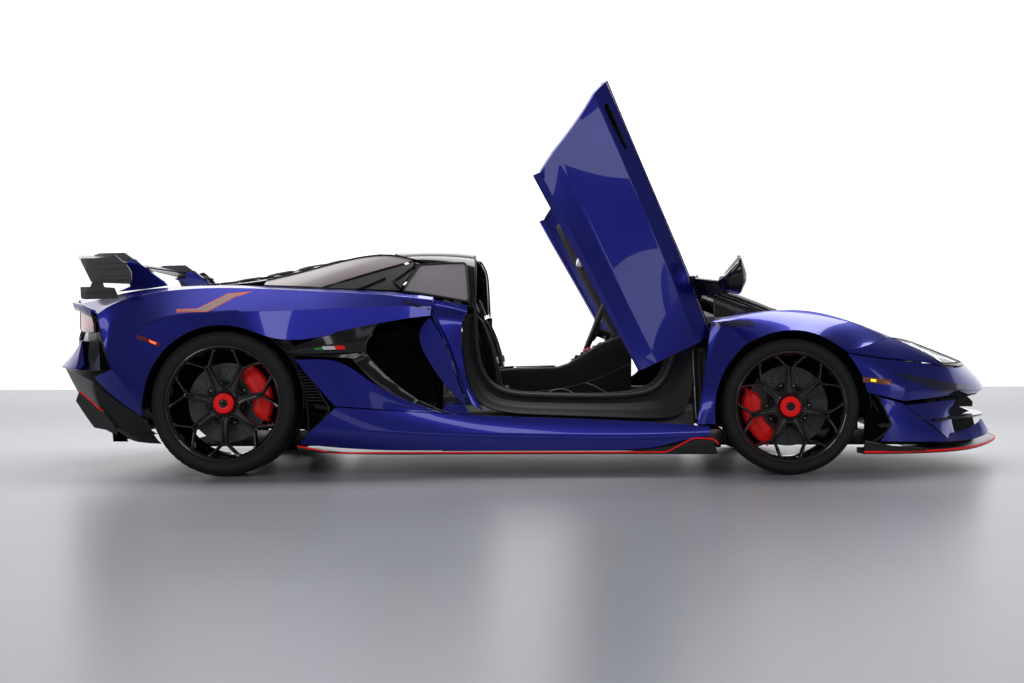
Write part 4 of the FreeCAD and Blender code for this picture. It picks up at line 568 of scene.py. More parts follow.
TAIL = [
    [(-1983, 934, 768), (-1960, 950, 700), (-1930, 958, 610), (-1908, 962, 524)],
    [(-2040, 830, 790), (-2035, 845, 700), (-2075, 850, 600), (-2040, 850, 506)],
    [(-2130, 640, 818), (-2110, 650, 715), (-2170, 640, 610), (-2160, 660, 520)],
    [(-2235, 420, 832), (-2190, 420, 730), (-2250, 420, 620), (-2290, 430, 524)],
    [(-2280, 210, 846), (-2205, 210, 740), (-2225, 210, 625), (-2345, 215, 522)],
    [(-2290, 0, 850), (-2200, 0, 742), (-2200, 0, 626), (-2360, 0, 520)],
]
REARCORNER = [
    [(-1904, 962, 514), (-1820, 985, 460), (-1738, 1014, 408)],
    [(-1990, 905, 482), (-1880, 960, 420), (-1737, 1012, 345)],
    [(-2010, 880, 474), (-1905, 938, 372), (-1738, 1006, 285)],
]
DIFFUSER = [
    [(-1716, 1000, 274), (-1692, 994, 206), (-1674, 985, 172), (-1672, 900, 150)],
    [(-1895, 930, 352), (-1880, 930, 262), (-1845, 925, 192), (-1780, 860, 150)],
    [(-2018, 870, 455), (-2010, 860, 330), (-1945, 850, 222), (-1840, 800, 158)],
    [(-2200, 600, 492), (-2180, 600, 350), (-2090, 600, 235), (-1900, 600, 165)],
    [(-2330, 330, 506), (-2290, 330, 360), (-2180, 330, 240), (-1950, 330, 168)],
    [(-2420, 100, 512), (-2330, 100, 362), (-2200, 100, 240), (-1960, 100, 168)],
    [(-2432, 0, 512), (-2335, 0, 362), (-2205, 0, 240), (-1962, 0, 168)],
]
WSHIELD = [
    [(1292, 660, 778), (1112, 612, 858), (760, 545, 986), (400, 470, 1090)],
    [(1370, 428, 780), (1172, 400, 874), (790, 350, 1006), (412, 300, 1112)],
    [(1416, 214, 781), (1210, 200, 882), (815, 180, 1016), (420, 150, 1122)],
    [(1430, 0, 782), (1222, 0, 885), (822, 0, 1019), (422, 0, 1125)],
]
COWL = [
    [(1308, 672, 770), (1384, 432, 772), (1430, 216, 773), (1444, 0, 774)],
    [(1340, 674, 765), (1396, 466, 765), (1456, 230, 765), (1482, 0, 763)],
]
SHELF = [
    [(1004, 868, 736), (1008, 800, 748), (1010, 746, 750)],
    [(1110, 790, 772), (1116, 760, 768), (1120, 734, 764)],
    [(1220, 752, 781), (1224, 736, 778), (1228, 722, 775)],
]
QLIGHT = [(1012, 736, 756), (1240, 710, 786), (1018, 660, 852)]
PIL = [(1292, 704, 776), (1112, 655, 858), (760, 588, 988), (396, 512, 1090)]
hdr = [[(390, -474, 1068), (386, -474, 1102), (354, -474, 1102), (358, -474, 1068)],
       [(404, -250, 1092), (400, -250, 1126), (362, -250, 1126), (366, -250, 1092)],
       [(408, 0, 1096), (404, 0, 1132), (366, 0, 1132), (370, 0, 1096)],
       [(404, 250, 1092), (400, 250, 1126), (362, 250, 1126), (366, 250, 1092)],
       [(390, 474, 1068), (386, 474, 1102), (354, 474, 1102), (358, 474, 1068)]]
WING = [
    [(-2062, 892, 1052), (-1950, 892, 1060), (-1835, 892, 1030)],
    [(-2150, 650, 1082), (-2040, 650, 1088), (-1920, 650, 1052)],
    [(-2270, 350, 1100), (-2150, 350, 1106), (-2020, 350, 1066)],
    [(-2360, 0, 1106), (-2230, 0, 1112), (-2090, 0, 1070)],
]
MIRROR_ARM = [
    [(691, 850, 808), (776, 866, 802), (780, 866, 782), (691, 850, 792)],
    [(709, 906, 836), (784, 924, 826), (789, 926, 810), (709, 906, 818)],
    [(745, 1003, 888), (800, 1005, 878), (802, 1005, 860), (745, 1003, 868)],
]
MIRROR_HEAD = [
    [(753, 959, 876), (723, 971, 954), (770, 981, 944), (789, 983, 933), (810, 981, 903), (782, 966, 872)],
    [(726, 982, 848), (668, 1003, 993), (757, 1022, 974), (792, 1026, 953), (831, 1022, 898), (779, 995, 841)],
    [(709, 1028, 837), (647, 1051, 993), (743, 1071, 972), (780, 1075, 950), (822, 1071, 891), (767, 1042, 830)],
    [(702, 1085, 839), (653, 1104, 964), (730, 1120, 947), (759, 1123, 930), (793, 1120, 882), (749, 1096, 834)],
    [(709, 1119, 859), (681, 1129, 930), (724, 1138, 920), (741, 1140, 911), (760, 1138, 884), (735, 1125, 856)],
]
# TABLES END




# ------------------------------------------------------------------ general builders
from mathutils.bvhtree import BVHTree


def sharpen(me, deg=32.0):
    bm = bmesh.new(); bm.from_mesh(me)
    lim = math.radians(deg)
    for e in bm.edges:
        if len(e.link_faces) == 2 and e.calc_face_angle(0.0) > lim:
            e.smooth = False
    bm.to_mesh(me); bm.free()


def add(name, V, F, mat=None, body="body", slot=None, rep=None, bevel=0.0, seg=2, angle=None, smooth=True, subsurf=0,
        merge=0.0, sharp=34.0, car=True):
    """New piece from points in mm (car frame) and faces."""
    ob = mesh_obj(name, to_m(V) if car else np.asarray(V, float) * MM, F, smooth)
    if merge:
        bm = bmesh.new(); bm.from_mesh(ob.data)
        bmesh.ops.remove_doubles(bm, verts=bm.verts, dist=merge * MM)
        bm.to_mesh(ob.data); bm.free()
    finish_mesh(ob, bevel=bevel, seg=seg, angle=angle, subsurf=subsurf)
    if sharp and not bevel and not subsurf and smooth:
        sharpen(ob.data, sharp)
    if mat is not None:
        ob.data.materials.append(mat)
    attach(ob, body)
    if rep:
        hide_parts(*([rep] if isinstance(rep, str) else rep))
    return ob


class Bag:
    """Collects several closed meshes into one piece."""
    def __init__(self):
        self.V, self.F, self.n = [], [], 0

    def put(self, V, F):
        V = np.asarray(V, float).reshape(-1, 3)
        self.V.append(V)
        self.F += [tuple(i + self.n for i in f) for f in F]
        self.n += len(V)
        return self

    def make(self, name, mat, body="body", **k):
        return add(name, np.concatenate(self.V), self.F, mat, body, **k)


def rounded(P, r, n=5):
    """Polyline with rounded corners."""
    P = [np.array(p, float) for p in P]
    out = [P[0]]
    for k in range(1, len(P) - 1):
        a, b, c = P[k - 1], P[k], P[k + 1]
        rr = r[k] if isinstance(r, (list, tuple)) else r
        la, lc = np.linalg.norm(a - b), np.linalg.norm(c - b)
        d = min(rr, 0.46 * la, 0.46 * lc)
        p0, p1 = b + (a - b) / la * d, b + (c - b) / lc * d
        for t in np.linspace(0, 1, n):
            out.append((1 - t) ** 2 * p0 + 2 * t * (1 - t) * b + t ** 2 * p1)
    out.append(P[-1])
    return np.array(out)


def rounded_loop(P, r, n=4):
    """Closed polygon with rounded corners (2-D or 3-D points)."""
    P = [np.array(p, float) for p in P]
    m = len(P)
    out = []
    for k in range(m):
        a, b, c = P[k - 1], P[k], P[(k + 1) % m]
        rr = r[k] if isinstance(r, (list, tuple)) else r
        la, lc = np.linalg.norm(a - b), np.linalg.norm(c - b)
        d = min(rr, 0.46 * la, 0.46 * lc)
        p0, p1 = b + (a - b) / la * d, b + (c - b) / lc * d
        if rr <= 0:
            out.append(b); continue
        for t in np.linspace(0, 1, n):
            out.append((1 - t) ** 2 * p0 + 2 * t * (1 - t) * b + t ** 2 * p1)
    return np.array(out)


def tangents(P, closed=False):
    P = np.asarray(P, float)
    if closed:
        T = np.roll(P, -1, 0) - np.roll(P, 1, 0)
    else:
        T = np.gradient(P, axis=0)
    return T / np.maximum(1e-9, np.linalg.norm(T, axis=1, keepdims=True))


def sweep(path, prof, up, closed=False, scale=None, caps=True):
    """Closed profile (lateral, up) carried along a path; up is one vector or one per point."""
    P = np.asarray(path, float)
    n = len(P)
    T = tangents(P, closed)
    U = np.broadcast_to(np.asarray(up, float), P.shape).copy()
    L = np.cross(T, U); L /= np.maximum(1e-9, np.linalg.norm(L, axis=1, keepdims=True))
    U = np.cross(L, T)
    pr = np.asarray(prof, float)
    k = len(pr)
    sc = np.ones(n) if scale is None else np.asarray(scale, float)
    V = P[:, None, :] + L[:, None, :] * (pr[None, :, 0:1] * sc[:, None, None]) + U[:, None, :] * (pr[None, :, 1:2] * sc[:, None, None])
    F = grid_faces(n, k, close_u=closed, close_v=True)
    if caps and not closed:
        F.append(tuple(range(k))[::-1])
        F.append(tuple((n - 1) * k + i for i in range(k)))
    return V.reshape(-1, 3), F


def circle(r, n=10, sq=1.0):
    a = np.linspace(0, 2 * math.pi, n, endpoint=False)
    return np.stack([r * np.cos(a), r * sq * np.sin(a)], 1)


def tube(path, r, n=10, closed=False, up=(0.013, 0.021, 1.0), scale=None):
    return sweep(path, circle(r, n), up, closed, scale)


def loft(sections, closed_ring=True, caps=True):
    """Closed rings of equal length, joined."""
    S = np.asarray(sections, float)
    n, k = S.shape[:2]
    F = grid_faces(n, k, close_v=closed_ring)
    if caps:
        F.append(tuple(range(k))[::-1])
        F.append(tuple((n - 1) * k + i for i in range(k)))
    return S.reshape(-1, 3), F


def extrude(poly, vec):
    """Closed polygon (n x 3) pushed along a vector."""
    P = np.asarray(poly, float)
    n = len(P)
    V = np.concatenate([P, P + np.asarray(vec, float)])
    F = [tuple(range(n))[::-1], tuple(range(n, 2 * n))] + [(i, (i + 1) % n, n + (i + 1) % n, n + i) for i in range(n)]
    return V, F


def side_poly(poly, w0, w1, s=1, w0b=None):
    """Polygon of (X, Z) between two side planes w0 and w1."""
    P = np.array([(x, s * w0, z) for x, z in poly], float)
    return extrude(P, (0, s * (w1 - w0), 0))


def lathe(prof, n, rfun=None, closed=False):
    """Profile of (r, o) turned about the o axis; points are (a, b, o)."""
    pr = np.asarray(prof, float)
    th = np.linspace(0, 2 * math.pi, n, endpoint=False)
    R = np.broadcast_to(pr[:, 0], (n, len(pr))).copy()
    O = np.broadcast_to(pr[:, 1], (n, len(pr))).copy()
    if rfun is not None:
        R, O = rfun(th[:, None], R, O)
    P = np.stack([R * np.cos(th)[:, None], R * np.sin(th)[:, None], O], -1)
    return P.reshape(-1, 3), grid_faces(n, len(pr), close_u=True, close_v=closed)


def slab(P, Q):
    """Closed shell between two point grids of the same shape."""
    nu, nv = P.shape[:2]
    V = np.concatenate([P.reshape(-1, 3), Q.reshape(-1, 3)])
    o = nu * nv
    F = grid_faces(nu, nv) + grid_faces(nu, nv, o, flip=True)
    for idx in ([j for j in range(nv)], [(nu - 1) * nv + j for j in range(nv)][::-1],
                [i * nv for i in range(nu)][::-1], [i * nv + nv - 1 for i in range(nu)]):
        for k in range(len(idx) - 1):
            a, b = idx[k], idx[k + 1]
            F.append((a, a + o, b + o, b))
    return V, F


def resample(P, n):
    P = np.asarray(P, float)
    d = np.r_[0, np.cumsum(np.linalg.norm(np.diff(P, axis=0), axis=1))]
    t = np.linspace(0, d[-1], n)
    return np.stack([np.interp(t, d, P[:, k]) for k in range(P.shape[1])], 1)


def bvh_of(*grids, s=-1):
    """Tree of outer surfaces, mm in the car frame, for laying trim on them."""
    V, F, n = [], [], 0
    for g, ucr, vcr in grids:
        P, _, _ = dense(side(g, s), ucr, vcr, 12.0)
        V.append(P.reshape(-1, 3)); F += grid_faces(P.shape[0], P.shape[1], n); n += P.shape[0] * P.shape[1]
    V = np.concatenate(V)
    return BVHTree.FromPolygons([tuple(v) for v in V], F)


def lay(tree, pts, s, off=0.8, far=1600.0, d=None):
    """Points of (X, Z) put on a surface seen from the side s; returns points and normals."""
    out, nor = [], []
    last = None
    for x, z in pts:
        h = tree.ray_cast(Vector((x, s * far, z)), Vector((0, -s, 0)))
        if h[0] is None:
            h = tree.find_nearest(Vector((x, last if last is not None else s * 950.0, z)))
            p = Vector((x, h[0].y, z)); nn = h[1]
        else:
            p, nn = h[0], h[1]
        last = p.y
        nn = Vector(nn)
        if nn.y * s < 0:
            nn = -nn
        out.append(tuple(p + nn * off)); nor.append(tuple(nn))
    return np.array(out), np.array(nor)


def laid(name, tree, top, bot, s, mat, n=24, m=3, off=0.8, t=2.0, body="body", slot=None, rep=None, bevel=0.35, tf=None, crown=0.0):
    """Thin trim between two side-view lines, lying on the body surface."""
    A, B = resample(top, n), resample(bot, n)
    rows, nrm = [], []
    for k in range(m):
        f = k / (m - 1)
        p, nn = lay(tree, A * (1 - f) + B * f, s, off + crown * math.sin(math.pi * f))
        rows.append(p); nrm.append(nn)
    P = np.stack(rows, 1); N = np.stack(nrm, 1)
    V, F = slab(P, P - N * t)
    if tf is not None:
        V = tf(V)
    return add(name, V, F, mat, body, slot=slot, rep=rep, bevel=bevel, seg=1)


def curve_plate(outline, holes, z0, z1):
    """Flat plate with holes from 2-D closed loops (filled curve); returns points and faces."""
    cu = bpy.data.curves.new("tmp", "CURVE")
    cu.dimensions = "2D"; cu.fill_mode = "BOTH"
    cu.extrude = abs(z1 - z0) / 2
    for loop in [outline] + list(holes):
        sp = cu.splines.new("POLY")
        sp.points.add(len(loop) - 1)
        for k, p in enumerate(loop):
            sp.points[k].co = (p[0], p[1], 0, 1)
        sp.use_cyclic_u = True
    ob = bpy.data.objects.new("tmp", cu)
    bpy.context.scene.collection.objects.link(ob)
    me = bpy.data.meshes.new_from_object(ob.evaluated_get(bpy.context.evaluated_depsgraph_get()))
    V = np.array([tuple(v.co) for v in me.vertices]); V[:, 2] += (z0 + z1) / 2
    F = [tuple(p.vertices) for p in me.polygons]
    bpy.data.objects.remove(ob); bpy.data.curves.remove(cu); bpy.data.meshes.remove(me)
    return V, F
# ------------------------------------------------------------------ body panels
def ref(s, x, w, z):
    return (x, s * w, z)


for s, t in ((1, "left"), (-1, "right")):
    o = skin("fender_skin_" + t, side(FENDER, s), ucr=(4,), vcr=(3,), ref=ref(s, 1350, 500, 300), mat=PAINT)
    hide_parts("front_fender_" + t)
    o = skin("tongue_" + t, side(TONGUE, s), vcr=(3,), ref=ref(s, 1700, 500, 300), mat=PAINT)
    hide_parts("front_fender_" + t)
    o = skin("jamb_" + t, side(JAMB, s), vcr=(1,), ref=ref(s, -250, 300, 500), mat=PAINT)
    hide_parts("rear_quarter_" + t)
    o = skin("inwall_" + t, side(INWALL, s), ref=ref(s, -250, 300, 500), mat=PAINT)
    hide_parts("rear_quarter_" + t)
    o = skin("louvre_" + t, side(LOUVRE, s), ref=ref(s, -600, 300, 800), mat=LOUV)
    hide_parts("buttresses")
    o = skin("sill_skin_" + t, side(SILL, s), vcr=(1, 3), ref=ref(s, 0, 300, 230), mat=PAINT)
    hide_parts("side_sill_" + t)
    o = skin("quarter_skin_" + t, side(QUARTER, s), vcr=(1, 2), ref=ref(s, -1300, 400, 400), mat=PAINT)
    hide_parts("rear_quarter_" + t)
    o2 = skin("quarter_low_" + t, side(LOWQ, s), ref=ref(s, -700, 300, 400), mat=PAINT)
    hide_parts("rear_quarter_" + t)
    o = skin("bumper_corner_" + t, side(CORNER, s), ref=ref(s, 1700, 300, 250), mat=PAINT)
    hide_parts("front_bumper")
    o = skin("skirt_" + t, side(SKIRT, s), vcr=(1,), ref=ref(s, 0, 900, 400), mat=SATIN)
    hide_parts("side_skirts")
    o = skin("buttress_" + t, side(BUTTRESS, s), ref=ref(s, -900, 300, 800), mat=BUTT)
    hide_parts("buttresses")
    o = skin("rear_corner_" + t, side(REARCORNER, s), ref=ref(s, -1600, 500, 400), mat=PAINT)
    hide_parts("rear_bumper")
o = skin("hood_skin", both_cols(HOOD), ref=(1900, 0, 300), mat=PAINT, body="front_hood"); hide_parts("front_hood")
o = skin("bumper_skin", both_rows(BUMPER), ucr=(2, 14), vcr=(2,), ref=(1700, 0, 300), mat=PAINT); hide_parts("front_bumper")
o = skin("cover_skin", both_cols(ENGINE_COVER), ref=(-1200, 0, 500), mat=BLACK, body="engine_cover"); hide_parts("engine_cover")
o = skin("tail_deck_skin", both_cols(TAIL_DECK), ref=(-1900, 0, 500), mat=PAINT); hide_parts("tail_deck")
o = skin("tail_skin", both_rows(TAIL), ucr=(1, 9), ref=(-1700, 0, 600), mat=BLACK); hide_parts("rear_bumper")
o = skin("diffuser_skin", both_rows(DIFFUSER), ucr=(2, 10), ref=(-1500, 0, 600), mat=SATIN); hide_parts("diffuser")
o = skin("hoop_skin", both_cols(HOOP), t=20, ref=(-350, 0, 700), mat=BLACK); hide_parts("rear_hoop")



# ------------------------------------------------------------------ wheels
def wplace(s, cx, cz, hub):
    """Wheel points (forward, up, outboard) to the car frame on side s."""
    def f(P):
        P = np.asarray(P, float).reshape(-1, 3)
        return np.stack([cx + P[:, 0], s * (hub + P[:, 2]), cz + P[:, 1]], 1)
    return f


def tyre(name, pl, R, H, rr, body, rep):
    """Treaded tyre: profile from the outer bead over the tread to the inner bead."""
    k = R - rr
    half = [(rr - 4, H - 26), (rr + 1, H - 18), (rr + 3, H - 10), (rr + 6, H - 6.5), (rr + 9.5, H - 5.0), (rr + 12, H - 6.2),
            (rr + 0.30 * k, H - 2.6), (rr + 0.36 * k, H - 1.4), (rr + 0.38 * k, H - 2.2), (rr + 0.47 * k, H - 0.6), (rr + 0.56 * k, H - 1.2),
            (rr + 0.60 * k, H - 2.6), (rr + 0.66 * k, H - 4.2), (rr + 0.71 * k, H - 6.4), (rr + 0.73 * k, H - 8.4), (rr + 0.80 * k, H - 11.2),
            (rr + 0.865 * k, H - 15.0), (rr + 0.92 * k, H - 20.0), (rr + 0.958 * k, H - 26.0), (rr + 0.984 * k, H - 34.0)]
    prof = list(half)
    tw = H - 36
    grooves = [0.62, 0.22]
    xs = [tw, tw * 0.86, tw * 0.74]
    top = []
    def crown(o):
        return R - 3.2 * (abs(o) / tw) ** 2
    for o in xs:
        top.append((crown(o), o))
    for g in (0.60, 0.20, -0.20, -0.60):
        c, hw = g * tw, 6.5
        top += [(crown(c + hw), c + hw), (crown(c) - 6.5, c + hw - 1.5), (crown(c) - 6.5, c - hw + 1.5), (crown(c - hw), c - hw)]
        if g > -0.6:
            mid = c - 0.2 * tw
            top += [(crown(mid), mid)]
    for o in xs[::-1]:
        top.append((crown(o), -o))
    prof += top + [(r, -o) for r, o in half[::-1]]
    pitches = 54
    def rfun(th, Rr, Oo):
        ph = (th * pitches / (2 * math.pi) + np.sign(Oo) * np.abs(Oo) / 46.0) % 1.0
        sh = (np.abs(Oo) > tw * 0.64) & (Rr > R - 16)
        cut = np.where((ph < 0.17) & sh, 5.0, 0.0) * np.clip((Rr - (R - 16)) / 8.0, 0, 1)
        ph2 = (th * pitches / (2 * math.pi) + Oo / 60.0 + 0.4) % 1.0
        sh2 = (np.abs(Oo) < tw * 0.55) & (np.abs(Oo) > tw * 0.26) & (Rr > R - 5)
        cut = cut + np.where((ph2 < 0.17) & sh2, 3.5, 0.0)
        return Rr - cut, Oo
    V, F = lathe(prof, pitches * 4, rfun)
    return add(name, pl(V), F, RUBBER, body, slot="tyre", rep=rep, sharp=28)


def rim(tag, pl, rr, H, th0, body, rep):
    """Seven Y spokes between a deep barrel and the centre-lock hub."""
    k = rr / 264.0
    zf = H - 30.0
    lipr = rr
    # barrel and lip
    prof = [(lipr + 2, H - 12), (lipr + 3, H - 5), (lipr + 1, H - 1.2), (lipr - 3.5, H - 0.2), (lipr - 7, H - 2.0), (lipr - 8.5, H - 6), (lipr - 9.2, H - 12),
            (lipr - 13, H - 15.5), (lipr - 16.5, H - 20), (lipr - 18.5, H - 30), (lipr - 20, H - 60), (lipr - 21, 0), (lipr - 20, -H + 40), (lipr - 14, -H + 14), (lipr - 8, -H + 3), (lipr + 1, -H),
            (lipr + 3, -H + 5), (lipr - 2, -H + 16), (lipr - 12, -H + 26), (lipr - 14, 0), (lipr - 13, H - 40), (lipr - 6, H - 22)]
    V, F = lathe(prof, 100, closed=True)
    b = Bag().put(V, F)
    # height of the spoke face over the radius (concave)
    def hgt(r):
        return np.interp(r, [40, 74, 110, 186 * k, 235 * k, 262 * k], [zf - 6, zf - 5, zf - 2.5, zf + 3.0, zf + 9.5, zf + 15.0])
    def pol(a, r):
        a = math.radians(a); return np.array([r * math.cos(a), r * math.sin(a)])
    def ax(a, r, lat):
        a = math.radians(a); return np.array([r * math.cos(a) - lat * math.sin(a), r * math.sin(a) + lat * math.cos(a)])
    prof = [(-7.2, -34), (-6.8, -12), (-5.4, -3.2), (-3.2, -0.4), (3.2, -0.4), (5.4, -3.2), (6.8, -12), (7.2, -34)]
    step = 360.0 / 7
    for i in range(7):
        A, B = th0 + i * step, th0 + (i + 1) * step
        pts = [pol(A + 16.8, 259 * k), ax(A, 183 * k, 8.0), ax(A, 100, 12.5), ax(A, 84, 14.5), pol(A + step / 2, 68), ax(B, 84, -14.5), ax(B, 100, -12.5), ax(B, 183 * k, -8.0), pol(B - 16.8, 259 * k)]
        path = rounded(pts, [0, 7, 8, 6, 7, 6, 8, 7, 0], 5)
        path = resample(path, 52)
        r = np.linalg.norm(path, axis=1)
        P3 = np.concatenate([path, hgt(r)[:, None]], 1)
        V, F = sweep(P3, prof, (0, 0, 1), scale=np.interp(r, [60, 187 * k, 240 * k, 262 * k], [1.0, 1.0, 1.02, 1.35]))
        b.put(V, F)
        # web of the stem
        rs = np.array([58, 74, 90, 130, 165 * k, 182 * k, 190 * k])
        la = np.array([18, 13.5, 11, 8.5, 7.0, 6.5, 6.2])
        top, bot = [], []
        for r_, l_ in zip(rs, la):
            h = float(hgt(r_)) - 11
            top.append([(*ax(A, r_, -l_), h), (*ax(A, r_, 0), h - 2.5), (*ax(A, r_, l_), h)])
            bot.append([(*ax(A, r_, -l_), h - 25), (*ax(A, r_, 0), h - 25), (*ax(A, r_, l_), h - 25)])
        V, F = slab(np.array(top), np.array(bot))
        b.put(V, F)
        # foot of each arm on the lip
        for sg in (-1, 1):
            c = pol(A + sg * 16.9, 252 * k)
            t = pol(A + sg * 16.9 + 90, 1.0)
            rd = pol(A + sg * 16.9, 1.0)
            sec = []
            for rad, hw, hh in ((240 * k, 5.0, zf + 8.5), (252 * k, 8.5, zf + 11.5), (262 * k, 13.0, zf + 14.5)):
                q = pol(A + sg * (16.6 + (rad / k - 252) * 0.012), rad)
                sec.append([(*(q - t * hw), hh - 5), (*(q - t * hw * 0.5), hh), (*(q + t * hw * 0.5), hh), (*(q + t * hw), hh - 5), (*(q + t * hw), hh - 36), (*(q - t * hw), hh - 36)])
            V, F = loft(sec)
            b.put(V, F)
    # hub
    V, F = lathe([(46, zf - 60), (46, zf - 12), (52, zf - 10.5), (57, zf - 9), (58.5, zf - 12), (61, zf - 12), (63, zf - 9), (65, zf - 10), (66, zf - 14), (66, zf - 26), (66, zf - 60), (70, zf - 78), (60, zf - 78)], 84, closed=True)
    b.put(V, F)
    # pockets milled in the well between the forks
    for i in range(7):
        A = th0 + i * step
        for sg in (0,):
            pr_ = [(-13, 0), (13, 0), (13, 7), (-13, 7)]
            c = [(*ax(A, 246 * k, l), zf - 4) for l in np.linspace(-15, 15, 7)]
            V, F = sweep(np.array(c), [(-3.5, -26), (-3.5, -1), (-2.5, 0), (2.5, 0), (3.5, -1), (3.5, -26)], (0, 0, 1))
            b.put(V, F)
    b.V = [pl(v) for v in b.V]
    b.make("rim_" + tag, RIM, body, slot="rim_black", rep=rep, sharp=30)
    # centre-lock nut with a toothed face
    def nut(th, Rr, Oo):
        ph = (th * 24 / (2 * math.pi)) % 1.0
        Oo = Oo - np.where((ph < 0.45) & (Rr > 37) & (Rr < 43), 2.6, 0)
        ph2 = (th * 12 / (2 * math.pi)) % 1.0
        Rr = Rr - np.where((ph2 < 0.25) & (Rr > 47.0), 2.2, 0)
        return Rr, Oo
    V, F = lathe([(20, zf + 6), (20.5, zf + 13.5), (22.5, zf + 16.6), (25, zf + 17.6), (30, zf + 17.8), (36, zf + 17.6), (37.2, zf + 17.4), (39, zf + 16.8), (41, zf + 16.6), (43, zf + 16.4), (44, zf + 16.2), (46, zf + 15), (48, zf + 12.5), (49, zf + 9), (49, zf - 4), (46, zf - 12), (30, zf - 14)], 144, nut)
    V2, F2 = lathe([(0.01, zf + 15.2), (8, zf + 15.0), (13, zf + 14.6), (16.5, zf + 13.6), (17.5, zf + 14.4), (19.6, zf + 14.4), (20.6, zf + 12.5), (20.6, zf + 4), (0.01, zf + 3)], 60)
    add("centre_nut_" + tag, pl(V), F, RED, body, slot="rim_black", rep=rep, sharp=25)
    add("centre_cap_" + tag, pl(V2), F2, BLACK, body, slot="rim_black", rep=rep, sharp=40, merge=0.05)


def disc(tag, pl, H, body, rep):
    zc = H - 30 - 34 - 8 - 0.5 - 62
    a = np.linspace(0, 2 * math.pi, 120, endpoint=False)
    outer = np.stack([192 * np.cos(a), 192 * np.sin(a)], 1)
    inner = np.stack([104 * np.cos(a), 104 * np.sin(a)], 1)[::-1]
    holes = [inner]
    h = np.linspace(0, 2 * math.pi, 8, endpoint=False)
    for i in range(24):
        for j, r in enumerate((117, 131, 145, 160, 175)):
            th = math.radians(i * 15 + j * 4.2 + (7.5 if j == 2 else 0))
            holes.append(np.stack([r * math.cos(th) + 2.9 * np.cos(h), r * math.sin(th) + 2.9 * np.sin(h)], 1)[::-1])
    V, F = curve_plate(outer, holes, zc - 17, zc + 17)
    b = Bag().put(pl(V), F)
    b.make("disc_" + tag, DISC, body, slot="brake_disc", rep=rep, smooth=False)
    # hat with scallops and bolts
    def sc(th, Rr, Oo):
        return Rr + np.where(Rr > 100, 3.0 * np.cos(th * 10), 0), Oo
    V, F = lathe([(60, zc + 62), (84, zc + 61), (90, zc + 56), (93, zc + 24), (96, zc + 20), (109, zc + 19.5), (110.5, zc + 17.5), (109, zc + 10), (90, zc + 8), (60, zc + 8)], 120, sc, closed=True)
    add("disc_hat_" + tag, pl(V), F, SATIN, body, slot="brake_disc", rep=rep, sharp=30)
    b = Bag()
    for i in range(10):
        th = math.radians(1 + 36 * i)
        V, F = lathe([(0.01, 7.5), (2.2, 7.3), (2.8, 5.6), (3.4, 7.4), (4.6, 7.0), (5.4, 5.2), (5.6, 0)], 12)
        V = V + np.array([100 * math.cos(th), 100 * math.sin(th), zc + 19.5])
        b.put(pl(V), F)
    b.make("disc_bolts_" + tag, BRIGHT, body, slot="suspension_metal", rep=rep, merge=0.02)


def caliper(tag, pl, H, a0, a1, rep, body="body"):
    zc = H - 30 - 34 - 8 - 0.5 - 62
    n = 72
    th = np.radians(np.linspace(a0, a1, n))
    f = np.linspace(0, 1, n)
    e = np.clip(np.minimum(f, 1 - f) / 0.16, 0, 1)
    e = np.sin(e * math.pi / 2)                      # taper at the ends
    bump = np.clip(np.cos((f - 0.5) * 2 * math.pi * 1.45) * 0.5 + 0.5, 0, 1) ** 0.7
    S = []
    for i in range(n):
        E, Bp = e[i], bump[i]
        ri = 130 + (1 - E) * 26
        ro = 214 - (1 - E) * 7
        h0 = zc + 21
        top = zc + 34 + 12 * E
        pk = 4.5 * Bp * E
        S.append([(ri, h0), (ri, top - 9), (ri + 3, top - 4), (ri + 9, top - 1.5 + pk * 0.5), (ri + 20, top + pk), (ri + 33, top + pk), (ri + 42, top - 1.0 + pk * 0.3), (ri + 45, top - 5.0), (ri + 52, top - 6.0), (ri + 56, top - 2.0), (ri + 66, top - 4.0),
                  (ro - 3, top - 10), (ro, zc + 18), (ro + 0.5, zc + 8), (ro - 3.0 * (1 - Bp) * E, zc), (ro + 0.5, zc - 8), (ro, zc - 18), (ro - 4, zc - 38), (ri + 60, zc - 44), (ri + 20, zc - 46), (ri, zc - 38), (ri, zc - 21), (197, zc - 21), (197, zc + 21)])
    S = np.array(S)
    P = np.stack([S[..., 0] * np.cos(th)[:, None], S[..., 0] * np.sin(th)[:, None], S[..., 1]], -1)
    V, F = loft(P)
    b = Bag().put(pl(V), F)
    b.make("caliper_" + tag, CALIPER, body, slot="caliper_red", rep=rep, bevel=0.8, seg=1, angle=35)
    # bleed screws, bridge bolts and crossover pipe
    b = Bag()
    for g in (0.06, 0.36, 0.64, 0.94):
        t0 = math.radians(a0 + (a1 - a0) * g)
        V, F = lathe([(0.01, 6), (3.0, 5.8), (4.4, 4.6), (5.0, 0)], 10)
        V = V + np.array([203 * math.cos(t0), 203 * math.sin(t0), zc + 33])
        b.put(pl(V), F)
    b.make("caliper_bolts_" + tag, METAL, body, slot="suspension_metal", rep=rep, merge=0.02)
    pts = [(208 * math.cos(math.radians(a)), 208 * math.sin(math.radians(a)), zc + dz) for a, dz in ((a1 - 4, 26), (a1 + 0.5, 20), (a1 + 3, 0), (a1 + 0.5, -22), (a1 - 5, -28))]
    V, F = tube(curve(pts, 26), 2.6, 8)
    add("caliper_pipe_" + tag, pl(V), F, METAL, body, slot="suspension_metal", rep=rep)


